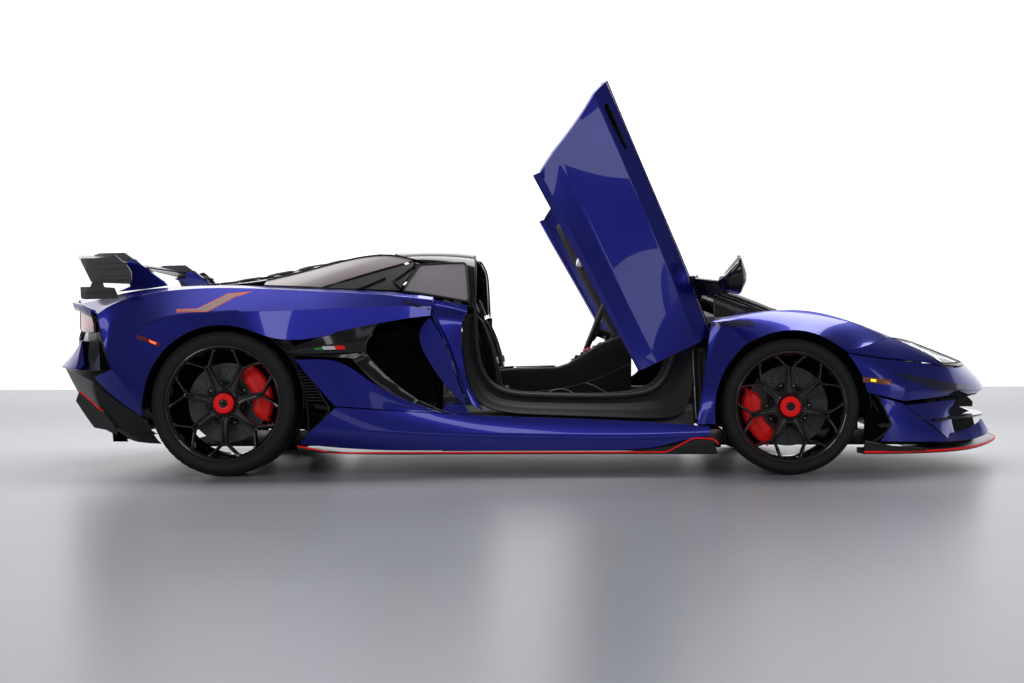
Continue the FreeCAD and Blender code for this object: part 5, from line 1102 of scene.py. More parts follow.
RIM = mat("rim_gloss_black", (0.006, 0.006, 0.0065), rough=0.20, coat=0.9, spec=0.5, var=0.15, var_scale=120, rough_var=0.03)
DISC = mat("disc_ceramic", (0.085, 0.085, 0.088), rough=0.42, metal=0.35, var=0.35, var_scale=260, bump=0.3, bump_scale=1400)
BRIGHT = mat("bright_steel", (0.72, 0.70, 0.66), rough=0.25, metal=1.0, var=0.08)
# red with a faint emission: painted glow on the calipers and cam covers, which are no lamps
CALIPER = mat("caliper_red", (0.80, 0.010, 0.010), rough=0.30, coat=0.3, spec=0.35, emit=(1.0, 0.01, 0.01), estr=0.10, var=0.08, var_scale=60)

for s, t in ((1, "left"), (-1, "right")):
    pf = wplace(s, 1350, 324, 860)
    pb = wplace(s, -1350, 349, 850)
    tyre("tyre_tread_front_" + t, pf, 324, 127, 264, "wheel_front_" + t, "tyre_front_" + t)
    tyre("tyre_tread_rear_" + t, pb, 349, 177, 276.5, "wheel_rear_" + t, "tyre_rear_" + t)
    rim("front_" + t, pf, 264, 118, 90.0, "wheel_front_" + t, "rim_front_" + t)
    rim("rear_" + t, pb, 276.5, 166, -90.0, "wheel_rear_" + t, "rim_rear_" + t)
    disc("front_" + t, pf, 118, "wheel_front_" + t, "brake_disc_front_" + t)
    disc("rear_" + t, pb, 166, "wheel_rear_" + t, "brake_disc_rear_" + t)
    caliper("front_" + t, pf, 118, 157.0, 243.0, "caliper_front_" + t, "knuckle_" + t)
    caliper("rear_" + t, pb, 166, -25.0, 59.0, "calipers_rear")

# wheel-arch liners, ribbed, with their inner walls
def liner(name, s, cx, cz, prof, a0, a1, mat_, ribs=True):
    n = int((a1 - a0) / 1.6)
    th = np.radians(np.linspace(a0, a1, n))
    pr = np.asarray(prof, float)
    R = np.broadcast_to(pr[:, 1], (n, len(pr))).copy()
    if ribs:
        R[:, 3:-2] -= (2.2 * (np.sin(np.linspace(0, (a1 - a0) / 3.2 * math.pi, n)) > 0.2))[:, None]
    P = np.stack([cx + R * np.cos(th)[:, None], np.broadcast_to(s * pr[:, 0], R.shape), cz + R * np.sin(th)[:, None]], -1)
    N = np.stack([np.cos(th)[:, None] * np.ones_like(R), np.zeros_like(R), np.sin(th)[:, None] * np.ones_like(R)], -1)
    V, F = slab(P, P + N * 2.0)
    return add(name, V, F, mat_, "body", slot="carbon_dark", rep="wheel_liners", sharp=35)


LINER = mat("liner_plastic", (0.014, 0.014, 0.015), rough=0.75, var=0.2, bump=0.3, bump_scale=900)
for s, t in ((1, "left"), (-1, "right")):
    liner("liner_front_" + t, s, 1350, 324, [(980, 371), (960, 378), (926, 392), (900, 394), (820, 394), (740, 394), (702, 393), (696, 380), (694, 354)], -2, 186, LINER)
    liner("liner_rear_" + t, s, -1350, 349, [(1030, 389), (1010, 393), (975, 396), (950, 397), (860, 397), (760, 397), (655, 396), (648, 388), (646, 366)], -4, 184, LINER)
    b = Bag()
    V, F = side_poly([(950, 210), (1745, 190), (1760, 560), (1640, 640), (1512, 676), (1440, 636), (1375, 596), (1340, 616), (1336, 705), (1120, 710), (975, 690)], 556, 562, s)
    b.put(V, F)
    V, F = side_poly([(-1752, 230), (-958, 200), (-930, 560), (-960, 780), (-1140, 892), (-1560, 892), (-1760, 800)], 628, 634, s)
    b.put(V, F)
    b.make("inner_fender_" + t, LINER, "body", slot="carbon_dark", rep="wheel_liners", sharp=30)


# ------------------------------------------------------------------ doors, modelled closed and swung up as they are stored
def od(V, s, deg=63.3):
    t, tx, a = math.radians(18.85), math.radians(-4.41), math.radians(deg)
    n = unit([-s * math.tan(tx), math.cos(t), -s * math.sin(t)])
    c = np.array([911.0, s * 800.0, 712.5])
    V = np.asarray(V, float).reshape(-1, 3) - c
    return c + V * math.cos(a) + np.cross(n, V) * math.sin(a) + np.outer(V @ n, n) * (1 - math.cos(a))


TRIM = mat("door_trim_leather", (0.030, 0.029, 0.030), rough=0.55, var=0.2, bump=0.45, bump_scale=1500, sheen=0.15)
MIRROR = mat("mirror_silver", (0.8, 0.82, 0.85), rough=0.03, metal=1.0, var=0.01)
SEAL = mat("rubber_seal", (0.010, 0.010, 0.011), rough=0.6, var=0.2, bump=0.15)
# near-black with almost no sheen: painted shade for recesses, ducts and the space behind vents
SHADE_BLACK = mat("recess_shade_black", (0.0015, 0.0015, 0.0018), rough=0.8, spec=0.08, var=0.2)


def door_parts(s, t):
    body, node = "door_" + t, "door_" + t
    g = inset_grid(side(DOOR, s), 3.0)
    P, ui, vi = dense(g, (), (1, 2, 4, 5), 13.0)
    N = grid_normals(P)
    if (N * (P - np.array([300, s * 300, 560.0]))).sum() < 0:
        N = -N
    uu = np.linspace(0, 1, P.shape[0])[:, None]; vv = np.linspace(0, 1, P.shape[1])[None, :]
    e = np.clip(np.minimum(np.minimum(1.0, uu / 0.22), (1 - vv) / 0.22), 0, 1)
    e = e * e * (3 - 2 * e)
    T = 24.0 + 36.0 * e
    Q = P - N * T[..., None]
    V, F = slab(P, Q)
    add("door_skin_" + t, od(V, s), F, PAINT, body, slot="paint_blue", rep=node, bevel=2.2, seg=2, angle=30)
    # inner trim: moulded panel with an armrest swell and a recess
    iu = slice(int(P.shape[0] * 0.10), int(P.shape[0] * 0.95)); iv = slice(int(P.shape[1] * 0.10), int(P.shape[1] * 0.86))
    A, NA, TA = P[iu, iv], N[iu, iv], T[iu, iv]
    a, b = A.shape[:2]
    u2 = np.linspace(0, 1, a)[:, None]; v2 = np.linspace(0, 1, b)[None, :]
    edge = np.clip(np.minimum(np.minimum(u2, 1 - u2) / 0.06, np.minimum(v2, 1 - v2) / 0.10), 0, 1)
    arm = np.exp(-((v2 - 0.42 - 0.10 * u2) / 0.07) ** 2) * np.clip((u2 - 0.12) / 0.1, 0, 1) * np.clip((0.86 - u2) / 0.1, 0, 1)
    pock = np.exp(-((v2 - 0.74) / 0.09) ** 4) * np.clip((u2 - 0.3) / 0.05, 0, 1) * np.clip((0.9 - u2) / 0.05, 0, 1)
    h = 3 + 11 * edge ** 0.5 + 5 * arm - 9 * pock
    V, F = slab(A - NA * (TA - 4)[..., None], A - NA * (TA + h)[..., None])
    add("door_trim_" + t, od(V, s), F, TRIM, body, slot="seat_leather", rep=node, bevel=1.0, seg=1, angle=40)
    # pull strap, speaker ring and edge seal on the inner side
    def inner(u, v, off):
        x = min(max(u, 0), 1) * (a - 1); y = min(max(v, 0), 1) * (b - 1)
        i, j = int(round(x)), int(round(y))
        return A[i, j] - NA[i, j] * (TA[i, j] + h[i, j] + off)
    st = [inner(u, v, o) for u, v, o in ((0.30, 0.30, 0), (0.33, 0.33, 7), (0.40, 0.36, 12), (0.52, 0.38, 12), (0.59, 0.37, 7), (0.62, 0.35, 0))]
    V, F = sweep(curve(st, 24), [(-9, -1.5), (9, -1.5), (9, 1.5), (-9, 1.5)], (0, -s, 0.1))
    add("door_pull_" + t, od(V, s), F, RED, body, slot="seat_leather", rep=node, bevel=0.5, seg=1)
    rings = Bag()
    c = inner(0.80, 0.74, -2)
    for r in (64, 40, 20):
        th = np.linspace(0, 2 * math.pi, 40, endpoint=False)
        pts = np.stack([c[0] + r * np.cos(th), np.full(40, c[1]), c[2] + r * 0.82 * np.sin(th)], 1)
        V, F = sweep(pts, circle(2.2, 6), (0, 1, 0), closed=True)
        rings.put(od(V, s), F)
    rings.make("door_speaker_" + t, BLACK, body, slot="cabin_dark", rep=node)
    # seal all round the inner edge
    i0, i1, j0, j1 = 1, P.shape[0] - 2, 1, P.shape[1] - 3
    loop = [Q[i, j0] for i in range(i0, i1)] + [Q[i1, j] for j in range(j0, j1)] + [Q[i, j1] for i in range(i1, i0, -1)] + [Q[i0, j] for j in range(j1, j0, -1)]
    V, F = sweep(np.array(loop)[::2], circle(3.2, 6), (0, 1, 0.01), closed=True)
    add("door_seal_" + t, od(V, s), F, SEAL, body, slot="cabin_dark", rep=node)
    # handle recess in the shoulder band, drawn as a near-black strip laid on the skin: painted shade
    tree = bvh_of((DOOR, (), (1, 2, 4, 5)), s=s)
    top = [(-258, 782), (-225, 786), (-120, 779), (-40, 773), (-22, 768)]
    bot = [(-262, 762), (-240, 752), (-130, 750), (-40, 750), (-24, 757)]
    rev = lambda V: od(V, s)
    laid("door_handle_recess_shade_" + t, tree, top, bot, s, SHADE_BLACK, n=30, m=5, off=0.7, t=2.0, body=body, slot="gloss_black", rep=node, bevel=0, tf=rev)
    ring = rounded_loop([(x, z) for x, z in top] + [(x, z) for x, z in bot[::-1]], 9, 4)
    p, nn = lay(tree, ring, s, 0.6)
    V, F = sweep(p, circle(2.3, 8), (0, s, 0), closed=True)
    add("door_handle_frame_" + t, rev(V), F, PAINT, body, slot="paint_blue", rep=node)
    p, nn = lay(tree, [(x, z - 5) for x, z in resample(top, 12)[1:-1]], s, 1.2)
    V, F = sweep(p, [(-4, -2), (4, -2), (4, 1.2), (-4, 1.2)], (0, s, 0.2))
    add("door_handle_blade_" + t, rev(V), F, BLACK, body, slot="gloss_black", rep=node, bevel=0.5, seg=1)
    # belt moulding
    row = [P[i, vi[0] if False else 0] for i in range(0, P.shape[0], 2)]
    V, F = sweep(np.array(row) + np.array([0, -s * 1.0, 0.8]), [(-5, -1.5), (5, -1.5), (4, 2.2), (-4, 2.2)], (0, 0, 1))
    add("belt_moulding_" + t, rev(V), F, SEAL, body, slot="gloss_black", rep=node, bevel=0.6, seg=1)
    # latch on the rear edge, inside the shut face
    V, F = loft([[(x + dx, s * w, z) for x, w, z in ((-180, 862, 655), (-180, 876, 655), (-164, 882, 592), (-164, 868, 592))] for dx in (0, 12)])
    add("door_latch_" + t, rev(V), F, METAL, body, slot="suspension_metal", rep=node, bevel=1.5, seg=2)
    # mirror on its arm
    for nm, rings_, rad, n in (("mirror_arm_", MIRROR_ARM, 6, 22), ("mirror_shell_", MIRROR_HEAD, 12, 40)):
        S = np.array([[(x, s * w, z) for x, w, z in rounded_loop(r, rad, 5)] for r in rings_])
        B = basis(len(S), n)
        S = np.einsum("ai,ijk->ajk", B, S)
        V, F = loft(S)
        add(nm + t, rev(V), F, BLACK, body, slot="gloss_black", rep="mirror_" + t, bevel=0.8, seg=1, angle=40)
    H = np.array(MIRROR_HEAD, float); H[..., 1] *= s
    Bm = basis(5, 9)
    S = np.einsum("ai,ijk->ajk", Bm, H)
    lo_, hi_ = S[1:-1, 0], S[1:-1, 1]
    lo2, hi2 = lo_ * 0.90 + hi_ * 0.10, lo_ * 0.08 + hi_ * 0.92
    loop = np.concatenate([lo2, hi2[::-1]])
    nn = unit(np.cross(hi2[3] - lo2[3], lo2[4] - lo2[2]))
    if nn[0] > 0:
        nn = -nn
    loop = rounded_loop(loop, 10, 4)
    V, F = extrude(loop + nn * 2.0, -nn * 6.0)
    add("mirror_glass_" + t, rev(V), F, MIRROR, body, slot="glass", rep="mirror_" + t, smooth=False)
    V, F = sweep(loop + nn * 1.5, circle(2.0, 6), nn, closed=True)
    add("mirror_rim_" + t, rev(V), F, SATIN, body, slot="gloss_black", rep="mirror_" + t)
    # foot of the mirror on the door
    V, F = loft([[(x, s * w, z) for x, w, z in rounded_loop(r, 7, 4)] for r in (
        [(676, 838, 806), (792, 852, 800), (800, 852, 774), (676, 838, 782)], [(682, 852, 812), (782, 866, 806), (788, 866, 780), (682, 852, 788)])])
    add("mirror_foot_" + t, rev(V), F, BLACK, body, slot="gloss_black", rep="mirror_" + t, bevel=1.5, seg=1, angle=40)


for s, t in ((1, "left"), (-1, "right")):
    door_parts(s, t)


# ------------------------------------------------------------------ finishes for the details
def weave(name, a, b, scale, rough, coat):
    """Woven carbon: two tones in a fine diagonal check under lacquer."""
    m = mat(name, a, rough=rough, coat=coat)
    nt = m.node_tree
    tc = nt.nodes.new("ShaderNodeTexCoord"); mp = nt.nodes.new("ShaderNodeMapping"); ck = nt.nodes.new("ShaderNodeTexChecker")
    mp.inputs["Rotation"].default_value = (0.5, 0.4, 0.785)
    ck.inputs["Scale"].default_value = scale
    ck.inputs["Color1"].default_value = (*a, 1); ck.inputs["Color2"].default_value = (*b, 1)
    nt.links.new(tc.outputs["Object"], mp.inputs["Vector"]); nt.links.new(mp.outputs["Vector"], ck.inputs["Vector"])
    nt.links.new(ck.outputs["Color"], nt.nodes["Principled BSDF"].inputs["Base Color"])
    return m


CARB = weave("carbon_weave", (0.006, 0.006, 0.0065), (0.014, 0.014, 0.015), 260.0, 0.30, 0.30)
# darker copy of the body paint: painted shade for hollows, creases and inner faces
PAINT_SHADE = mat("paint_blue_shadow", (0.004, 0.0025, 0.060), rough=0.25, metal=0.5, coat=1.0, var=0.1, var_scale=900)
LENS = mat("lamp_lens_clear", (0.80, 0.83, 0.88), rough=0.03, alpha=0.28, coat=1.0, spec=0.9)
LED = mat("lamp_led_white", (0.9, 0.92, 1.0), rough=0.3, emit=(0.85, 0.92, 1.0), estr=1.6)
CHROME = mat("reflector_bright", (0.75, 0.76, 0.78), rough=0.12, metal=1.0)
AMBER = mat("marker_amber", (0.36, 0.10, 0.035), rough=0.14, coat=1.0, alpha=0.9)
AMBER_ON = mat("marker_amber_lit", (1.0, 0.62, 0.03), rough=0.2, emit=(1.0, 0.62, 0.02), estr=1.5)
REDLENS = mat("marker_red", (0.20, 0.010, 0.03), rough=0.14, coat=1.0)
RED_ON = mat("marker_red_lit", (1.0, 0.05, 0.02), rough=0.2, emit=(1.0, 0.10, 0.03), estr=1.9)
PINK = mat("tail_lens", (0.62, 0.30, 0.32), rough=0.06, coat=1.0, alpha=0.72)
GRILLE = mat("grille_black", (0.008, 0.008, 0.009), rough=0.38, var=0.15)
BRONZE = mat("stripe_bronze", (0.22, 0.15, 0.135), rough=0.35, metal=0.3, coat=0.2)
# orange stripe edge with a faint emission: painted glow, no lamp
ORANGE = mat("stripe_orange_glow", (0.78, 0.085, 0.018), rough=0.35, coat=0.15, spec=0.3, emit=(1.0, 0.12, 0.03), estr=0.10)
GREEN = mat("accent_green", (0.01, 0.30, 0.03), rough=0.35, coat=0.2)
WHITE = mat("accent_white", (0.85, 0.85, 0.85), rough=0.3, coat=1.0)
STEEL = mat("steel_satin", (0.42, 0.42, 0.44), rough=0.28, metal=1.0, var=0.1)
TITAN = mat("exhaust_titanium", (0.33, 0.30, 0.29), rough=0.22, metal=1.0, var=0.15, var_scale=20)


def honeycomb(y0, y1, z0, z1, cell, wall, z_off=2.5):
    """Flat honeycomb plate in a (y, z) rectangle; returns points (y, z, depth) and faces."""
    holes = []
    r = (cell - wall) / math.sqrt(3.0)
    dy, dz = cell, cell * math.sqrt(3) / 2
    row, z = 0, z0 + dz * 0.62
    while z + r < z1:
        y = y0 + cell * (0.62 if row % 2 == 0 else 1.12)
        while y + r < y1:
            holes.append([(y + r * math.cos(math.radians(60 * k + 30)), z + r * math.sin(math.radians(60 * k + 30))) for k in range(6)])
            y += dy
        z += dz
        row += 1
    return curve_plate([(y0, z0), (y1, z0), (y1, z1), (y0, z1)], holes, -z_off, z_off)


def at_grid(P, u, v):
    i, j = u * (P.shape[0] - 1), v * (P.shape[1] - 1)
    a, b = min(int(i), P.shape[0] - 2), min(int(j), P.shape[1] - 2)
    f, g = i - a, j - b
    return (P[a, b] * (1 - f) * (1 - g) + P[a + 1, b] * f * (1 - g) + P[a, b + 1] * (1 - f) * g + P[a + 1, b + 1] * f * g)


def outward(P, refp):
    N = grid_normals(P)
    return N if (N * (P - np.array(refp, float))).sum() > 0 else -N


def rect(w, h):
    return [(-w / 2, -h / 2), (w / 2, -h / 2), (w / 2, h / 2), (-w / 2, h / 2)]


# ------------------------------------------------------------------ headlights
for s, t in ((1, "left"), (-1, "right")):
    o = skin("headlight_lens_" + t, side(HEADLIGHT, s), t=3.0, gap=3.0, ref=(1900, s * 400, 300), mat=LENS, bevel=1.0)
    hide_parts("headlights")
    P, _, _ = dense(inset_grid(side(HEADLIGHT, s), 5.0), (), (), 9.0)
    N = outward(P, (1900, s * 400, 300))
    uu = np.linspace(0, 1, P.shape[0])[:, None]; vv = np.linspace(0, 1, P.shape[1])[None, :]
    e = np.clip(np.minimum(np.minimum(uu, 1 - uu), np.minimum(vv, 1 - vv)) / 0.10, 0, 1)
    dep = 4.5 + 11.0 * e + 1.6 * np.sin(uu * 60) * e
    V, F = slab(P - N * dep[..., None], P - N * (dep[..., None] + 3))
    add("headlight_bowl_" + t, V, F, BLACK, slot="gloss_black", rep="headlights", sharp=30)
    b = Bag()
    for path in ([(0.10, 0.30), (0.34, 0.50), (0.62, 0.52)], [(0.62, 0.52), (0.80, 0.24), (0.93, 0.16)], [(0.62, 0.52), (0.78, 0.80), (0.92, 0.88)],
                 [(0.10, 0.72), (0.34, 0.50)]):
        pts = resample([at_grid(P - N * 7.0, u, v) for u, v in path], 16)
        V, F = sweep(pts, rect(7, 4), N[P.shape[0] // 2, P.shape[1] // 2])
        b.put(V, F)
    b.make("headlight_led_" + t, LED, slot="lamp_clear", rep="headlights", bevel=0.6, seg=1)
    b = Bag(); b2 = Bag()
    for u, v in ((0.22, 0.50), (0.46, 0.76), (0.46, 0.26), (0.80, 0.52)):
        c = at_grid(P - N * 10.0, u, v); n = unit(N[int(u * (P.shape[0] - 1)), int(v * (P.shape[1] - 1))])
        a1 = unit(np.cross(n, (0, 0, 1))); a2 = np.cross(n, a1)
        L, F = lathe([(0.1, 5.5), (7, 5.0), (12, 3.2), (15, 0.5), (15.5, -4), (0.1, -4)], 28)
        b.put(c + L[:, 0:1] * a1 + L[:, 1:2] * a2 + L[:, 2:3] * n, F)
        L, F = lathe([(16, 0.5), (19, 1.5), (20.5, 0), (20, -4), (16, -4)], 28, closed=True)
        b2.put(c + L[:, 0:1] * a1 + L[:, 1:2] * a2 + L[:, 2:3] * n, F)
    b.make("headlight_projector_" + t, LENS, slot="lamp_clear", rep="headlights")
    b2.make("headlight_bezel_" + t, CHROME, slot="lamp_clear", rep="headlights")
    edge = np.concatenate([P[:, 0], P[-1, 1:], P[-2::-1, -1], P[0, -2:0:-1]])
    V, F = sweep(edge[::2], circle(3.0, 8), (0.01, 0.02, 1), closed=True)
    add("headlight_seal_" + t, V, F, SEAL, slot="gloss_black", rep="headlights")

# ------------------------------------------------------------------ front bumper, blades and grilles
FT = {s: bvh_of((BUMPER, (2, ), (2,)), (TONGUE, (), (3,)), (FENDER, (4,), (3,)), s=s) for s in (1, -1)}
BP, _, _ = dense(BUMPER, (2,), (2,), 14.0)
for s, t in ((1, "left"), (-1, "right")):
    o = skin("bumper_swoosh_" + t, side(SWOOSH, s), t=4, ref=(1700, s * 300, 250), mat=PAINT, bevel=1.4)
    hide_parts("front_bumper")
    # painted shade: strip of the darker paint laid along the side of the nose where the facet falls in shade
    laid("bumper_shade_strip_" + t, FT[s], [(1812, 486), (1948, 466), (2096, 439), (2300, 408), (2390, 392)], [(1812, 485), (1950, 437), (2048, 401), (2103, 382), (2127, 380)],
         s, PAINT_SHADE, n=34, m=5, off=0.9, t=1.6, slot="paint_blue", rep="front_bumper", bevel=0)
    # black eyebrow below the lamp
    V, F = loft([[(x, s * w, z) for x, w, z in r] for r in (
        [(2108, 786, 523), (2112, 787, 520), (2106, 780, 512), (2098, 778, 516)],
        [(2164, 724, 522), (2172, 722, 514), (2160, 712, 500), (2148, 712, 508)],
        [(2212, 640, 521), (2224, 636, 510), (2210, 626, 492), (2196, 628, 502)],
        [(2262, 540, 526), (2277, 534, 512), (2262, 526, 490), (2246, 530, 504)],
        [(2300, 442, 525), (2314, 434, 510), (2300, 424, 494), (2284, 430, 508)])])
    add("lamp_brow_" + t, V, F, BLACK, slot="gloss_black", rep="front_bumper", bevel=1.2, seg=2, angle=40)
    # amber side marker with a lit cell
    laid("marker_amber_" + t, FT[s], [(1684, 465), (1760, 457), (1821, 450), (1827, 438)], [(1684, 440), (1760, 432), (1812, 424), (1826, 436)], s, AMBER,
         n=22, m=4, off=2.2, t=4.0, slot="lamp_clear", rep="front_bumper", bevel=0.8, crown=1.4)
    laid("marker_amber_cell_" + t, FT[s], [(1722, 455), (1748, 452)], [(1722, 443), (1748, 440)], s, AMBER_ON, n=8, m=3, off=3.6, t=2.0,
         slot="lamp_clear", rep="front_bumper", bevel=0.6)
    # vent ahead of the wheel, its back plate in near-black painted shade, and the hooked black blade
    b = Bag()
    nose = [(1700, 380), (1745, 381), (1764, 366), (1824, 238), (1796, 198), (1750, 160), (1699, 162)]
    V, F = side_poly(rounded_loop(nose, 3, 3), 934, 950, s); b.put(V, F)
    b.make("nose_vent_back_" + t, SHADE_BLACK, slot="gloss_black", rep="air_intakes", bevel=0.8, seg=1)
    b = Bag()
    pth = [(1742, s * 966, 384), (1760, s * 968, 366), (1792, s * 969, 300), (1820, s * 964, 240), (1798, s * 964, 204), (1768, s * 966, 180), (1738, s * 968, 160)]
    V, F = sweep(resample(pth, 26), [(-7, -8), (7, -8), (4, 8), (-6, 6)], (0, s, 0)); b.put(V, F)
    V, F = side_poly([(1752, 240), (1786, 246), (1822, 240), (1812, 226), (1770, 224)], 938, 972, s); b.put(V, F)
    V, F = side_poly([(1714, 372), (1722, 372), (1770, 300), (1762, 296)], 948, 956, s); b.put(V, F)
    V, F = side_poly([(1690, 128), (1697, 161), (1745, 152), (1826, 139), (1985, 127), (1980, 114), (1690, 112)], 962, 980, s); b.put(V, F)
    b.make("nose_blade_" + t, BLACK, slot="gloss_black", rep="air_intakes", bevel=1.4, seg=2)
    # upright strut in the mouth
    V, F = side_poly([(2150, 376), (2205, 394), (2272, 364), (2256, 361), (2235, 345), (2221, 357), (2214, 311), (2262, 289), (2205, 267), (2158, 272),
                      (2188, 318), (2207, 360)], 682, 696, s)
    add("mouth_strut_" + t, V, F, BLACK, slot="gloss_black", rep="front_bumper", bevel=1.6, seg=2)
    # blue lip of the lower mouth
    U = resample([(2106, s * 820, 178), (2167, s * 760, 188), (2250, s * 700, 202), (2332, s * 620, 232), (2350, s * 594, 246)], 20)
    L = resample([(2120, s * 846, 150), (2200, s * 776, 150), (2286, s * 700, 152), (2372, s * 604, 168), (2396, s * 556, 182)], 20)
    G = np.stack([U * (1 - k) + L * k + np.array([0, s * 5.0, 0]) * math.sin(math.pi * k) for k in (0, 0.35, 0.7, 1.0)], 1)
    n = outward(G, (2000, 0, 200))
    V, F = slab(G, G - n * 6)
    add("mouth_lip_" + t, V, F, PAINT, slot="paint_blue", rep="front_bumper", bevel=1.2, seg=1)
    # roof and side walls of the mouth, in near-black painted shade
    edge = BP[:, -1].copy(); edge[:, 1] *= s
    keep = [p for p in edge if 2040 < p[0]]
    A = np.array(keep)
    B1 = A + np.array([-110, -s * 20, -2]); B2 = A + np.array([-150, -s * 20, -16])
    G = np.stack([A + np.array([-6, 0, -5]), B1, B2], 1)
    n = grid_normals(G); n = n if n[..., 2].mean() < 0 else -n
    V, F = slab(G, G - n * 3)
    add("mouth_roof_" + t, V, F, SHADE_BLACK, slot="gloss_black", rep="air_intakes")
    # radiator core behind the grille, in place of the plain duct
    b = Bag()
    for k in range(13):
        z = 156 + k * 15.5
        V, F = extrude([(2090, s * 66, z), (2090, s * 700, z), (2078, s * 752, z), (2030, s * 756, z + 4), (2030, s * 64, z + 4)], (0, 0, 3.0))
        b.put(V, F)
    for w in (64, 220, 400, 580, 748):
        V, F = extrude([(2032, s * w, 152), (2084, s * w, 152), (2084, s * (w + 6), 152), (2032, s * (w + 6), 152)], (0, 0, 196)); b.put(V, F)
    V, F = extrude([(2022, s * 62, 151), (2030, s * 62, 151), (2030, s * 758, 151), (2022, s * 758, 151)], (0, 0, 198)); b.put(V, F)
    b.make("radiator_" + t, GRILLE, slot="suspension_metal", rep="air_intakes", smooth=False)
    # side wall of the duct in near-black painted shade
    V, F = extrude([(2100, s * 716, 152), (2106, s * 722, 152), (2026, s * 760, 152), (2022, s * 754, 152)], (0, 0, 197))
    add("duct_wall_" + t, V, F, SHADE_BLACK, slot="gloss_black", rep="air_intakes", smooth=False)
# fore-aft dividers of the mouth
b = Bag()
for w in (-276, 0, 276):
    dx = -(abs(w) / 300.0) ** 2 * 22
    for q in ([(2104, 152), (2404, 152), (2424, 200), (2412, 250), (2104, 250)], [(2104, 292), (2414, 292), (2416, 318), (2380, 352), (2104, 352)]):
        V, F = extrude([(x + (dx if x > 2300 else 0), w - 3, z) for x, z in q], (0, 6, 0)); b.put(V, F)
b.make("mouth_dividers", GRILLE, slot="gloss_black", rep="front_bumper", bevel=1.0, seg=1)
# honeycomb across the mouth
V, F = honeycomb(-716, 716, 158, 350, 23.0, 3.4)
y, z, d = V[:, 0], V[:, 1], V[:, 2]
V = np.stack([2206 - (np.abs(y) / 716.0) ** 2 * 98 + d, y, z], 1)
keepf = [f for f in F]
add("mouth_grille", V, keepf, GRILLE, slot="gloss_black", rep="air_intakes", smooth=False)
# tow eye socket
L, F = lathe([(12.2, 24), (17.5, 24), (18, 22), (18, -163), (12.2, -163)], 28, closed=True)
V = np.stack([2176 + L[:, 2], L[:, 0], 300 + L[:, 1]], 1)
add("tow_socket", V, F, STEEL, slot="suspension_metal", rep="tow_eye_socket", bevel=0.8, seg=1)
# closed end inside the socket in near-black painted shade
L, F = lathe([(12.0, -120), (0.2, -120), (0.2, -126), (12.0, -126)], 28)
V = np.stack([2176 + L[:, 2], L[:, 0], 300 + L[:, 1]], 1)
add("tow_socket_end", V, F, SHADE_BLACK, slot="suspension_metal", rep="tow_eye_socket")

# splitter: satin blade with a red edge
rows = []
for x, w in SPLIT:
    lift = max(0.0, (x - 2150.0) / 350.0)
    zb = 98 + 32 * lift ** 1.6
    xi = max(1672.0, min(x - 90, 1990 if w < 800 else x - 90)); wi = max(0.0, w if w < 800 else w - 90)
    rows.append([(xi, wi, 100.0 if xi < 2100 else zb), (0.5 * (xi + x), 0.5 * (wi + w), 0.5 * (100 + zb)), (x, w, zb)])
G, _, _ = dense(both_rows(rows), (), (), 26.0)
lo = G + np.array([0, 0, 1.0]); hi = G + np.array([0, 0, 27.0])
c = np.linspace(0, 1, G.shape[1])[None, :, None]
hi = hi - np.array([0, 0, 1.0]) * 12 * np.clip((c - 0.8) / 0.2, 0, 1) ** 2
V, F = slab(hi, lo)
add("splitter_blade", V, F, CARB, slot="carbon_dark", rep="front_splitter", bevel=1.5, seg=1, angle=50)
e = G[:, -1]
tn = tangents(e)
nout = np.stack([tn[:, 1], -tn[:, 0], np.zeros(len(tn))], 1)
nout = np.where(((e - np.array([1200, 0, 0])) * nout).sum(1)[:, None] > 0, nout, -nout)
pth = e + nout * 1.0 + np.array([0, 0, 12.0])
V, F = sweep(pth, rect(4.5, 10.5), (0, 0, 1))
add("splitter_red_edge", V, F, RED, slot="caliper_red", rep="front_splitter", bevel=0.8, seg=1)
G, _, _ = dense(np.array([[(p[0], p[1] * q, p[2]) for p in r] for q, r in [(-1, r) for r in FBLADE] + [(1, r) for r in FBLADE[-2::-1]]]), (), (), 24.0)
V, F = slab(G + np.array([0, 0, 10.5]), G + np.array([0, 0, 0.5]))
add("mouth_blade", V, F, BLACK, slot="gloss_black", rep="front_splitter", bevel=2.2, seg=2)

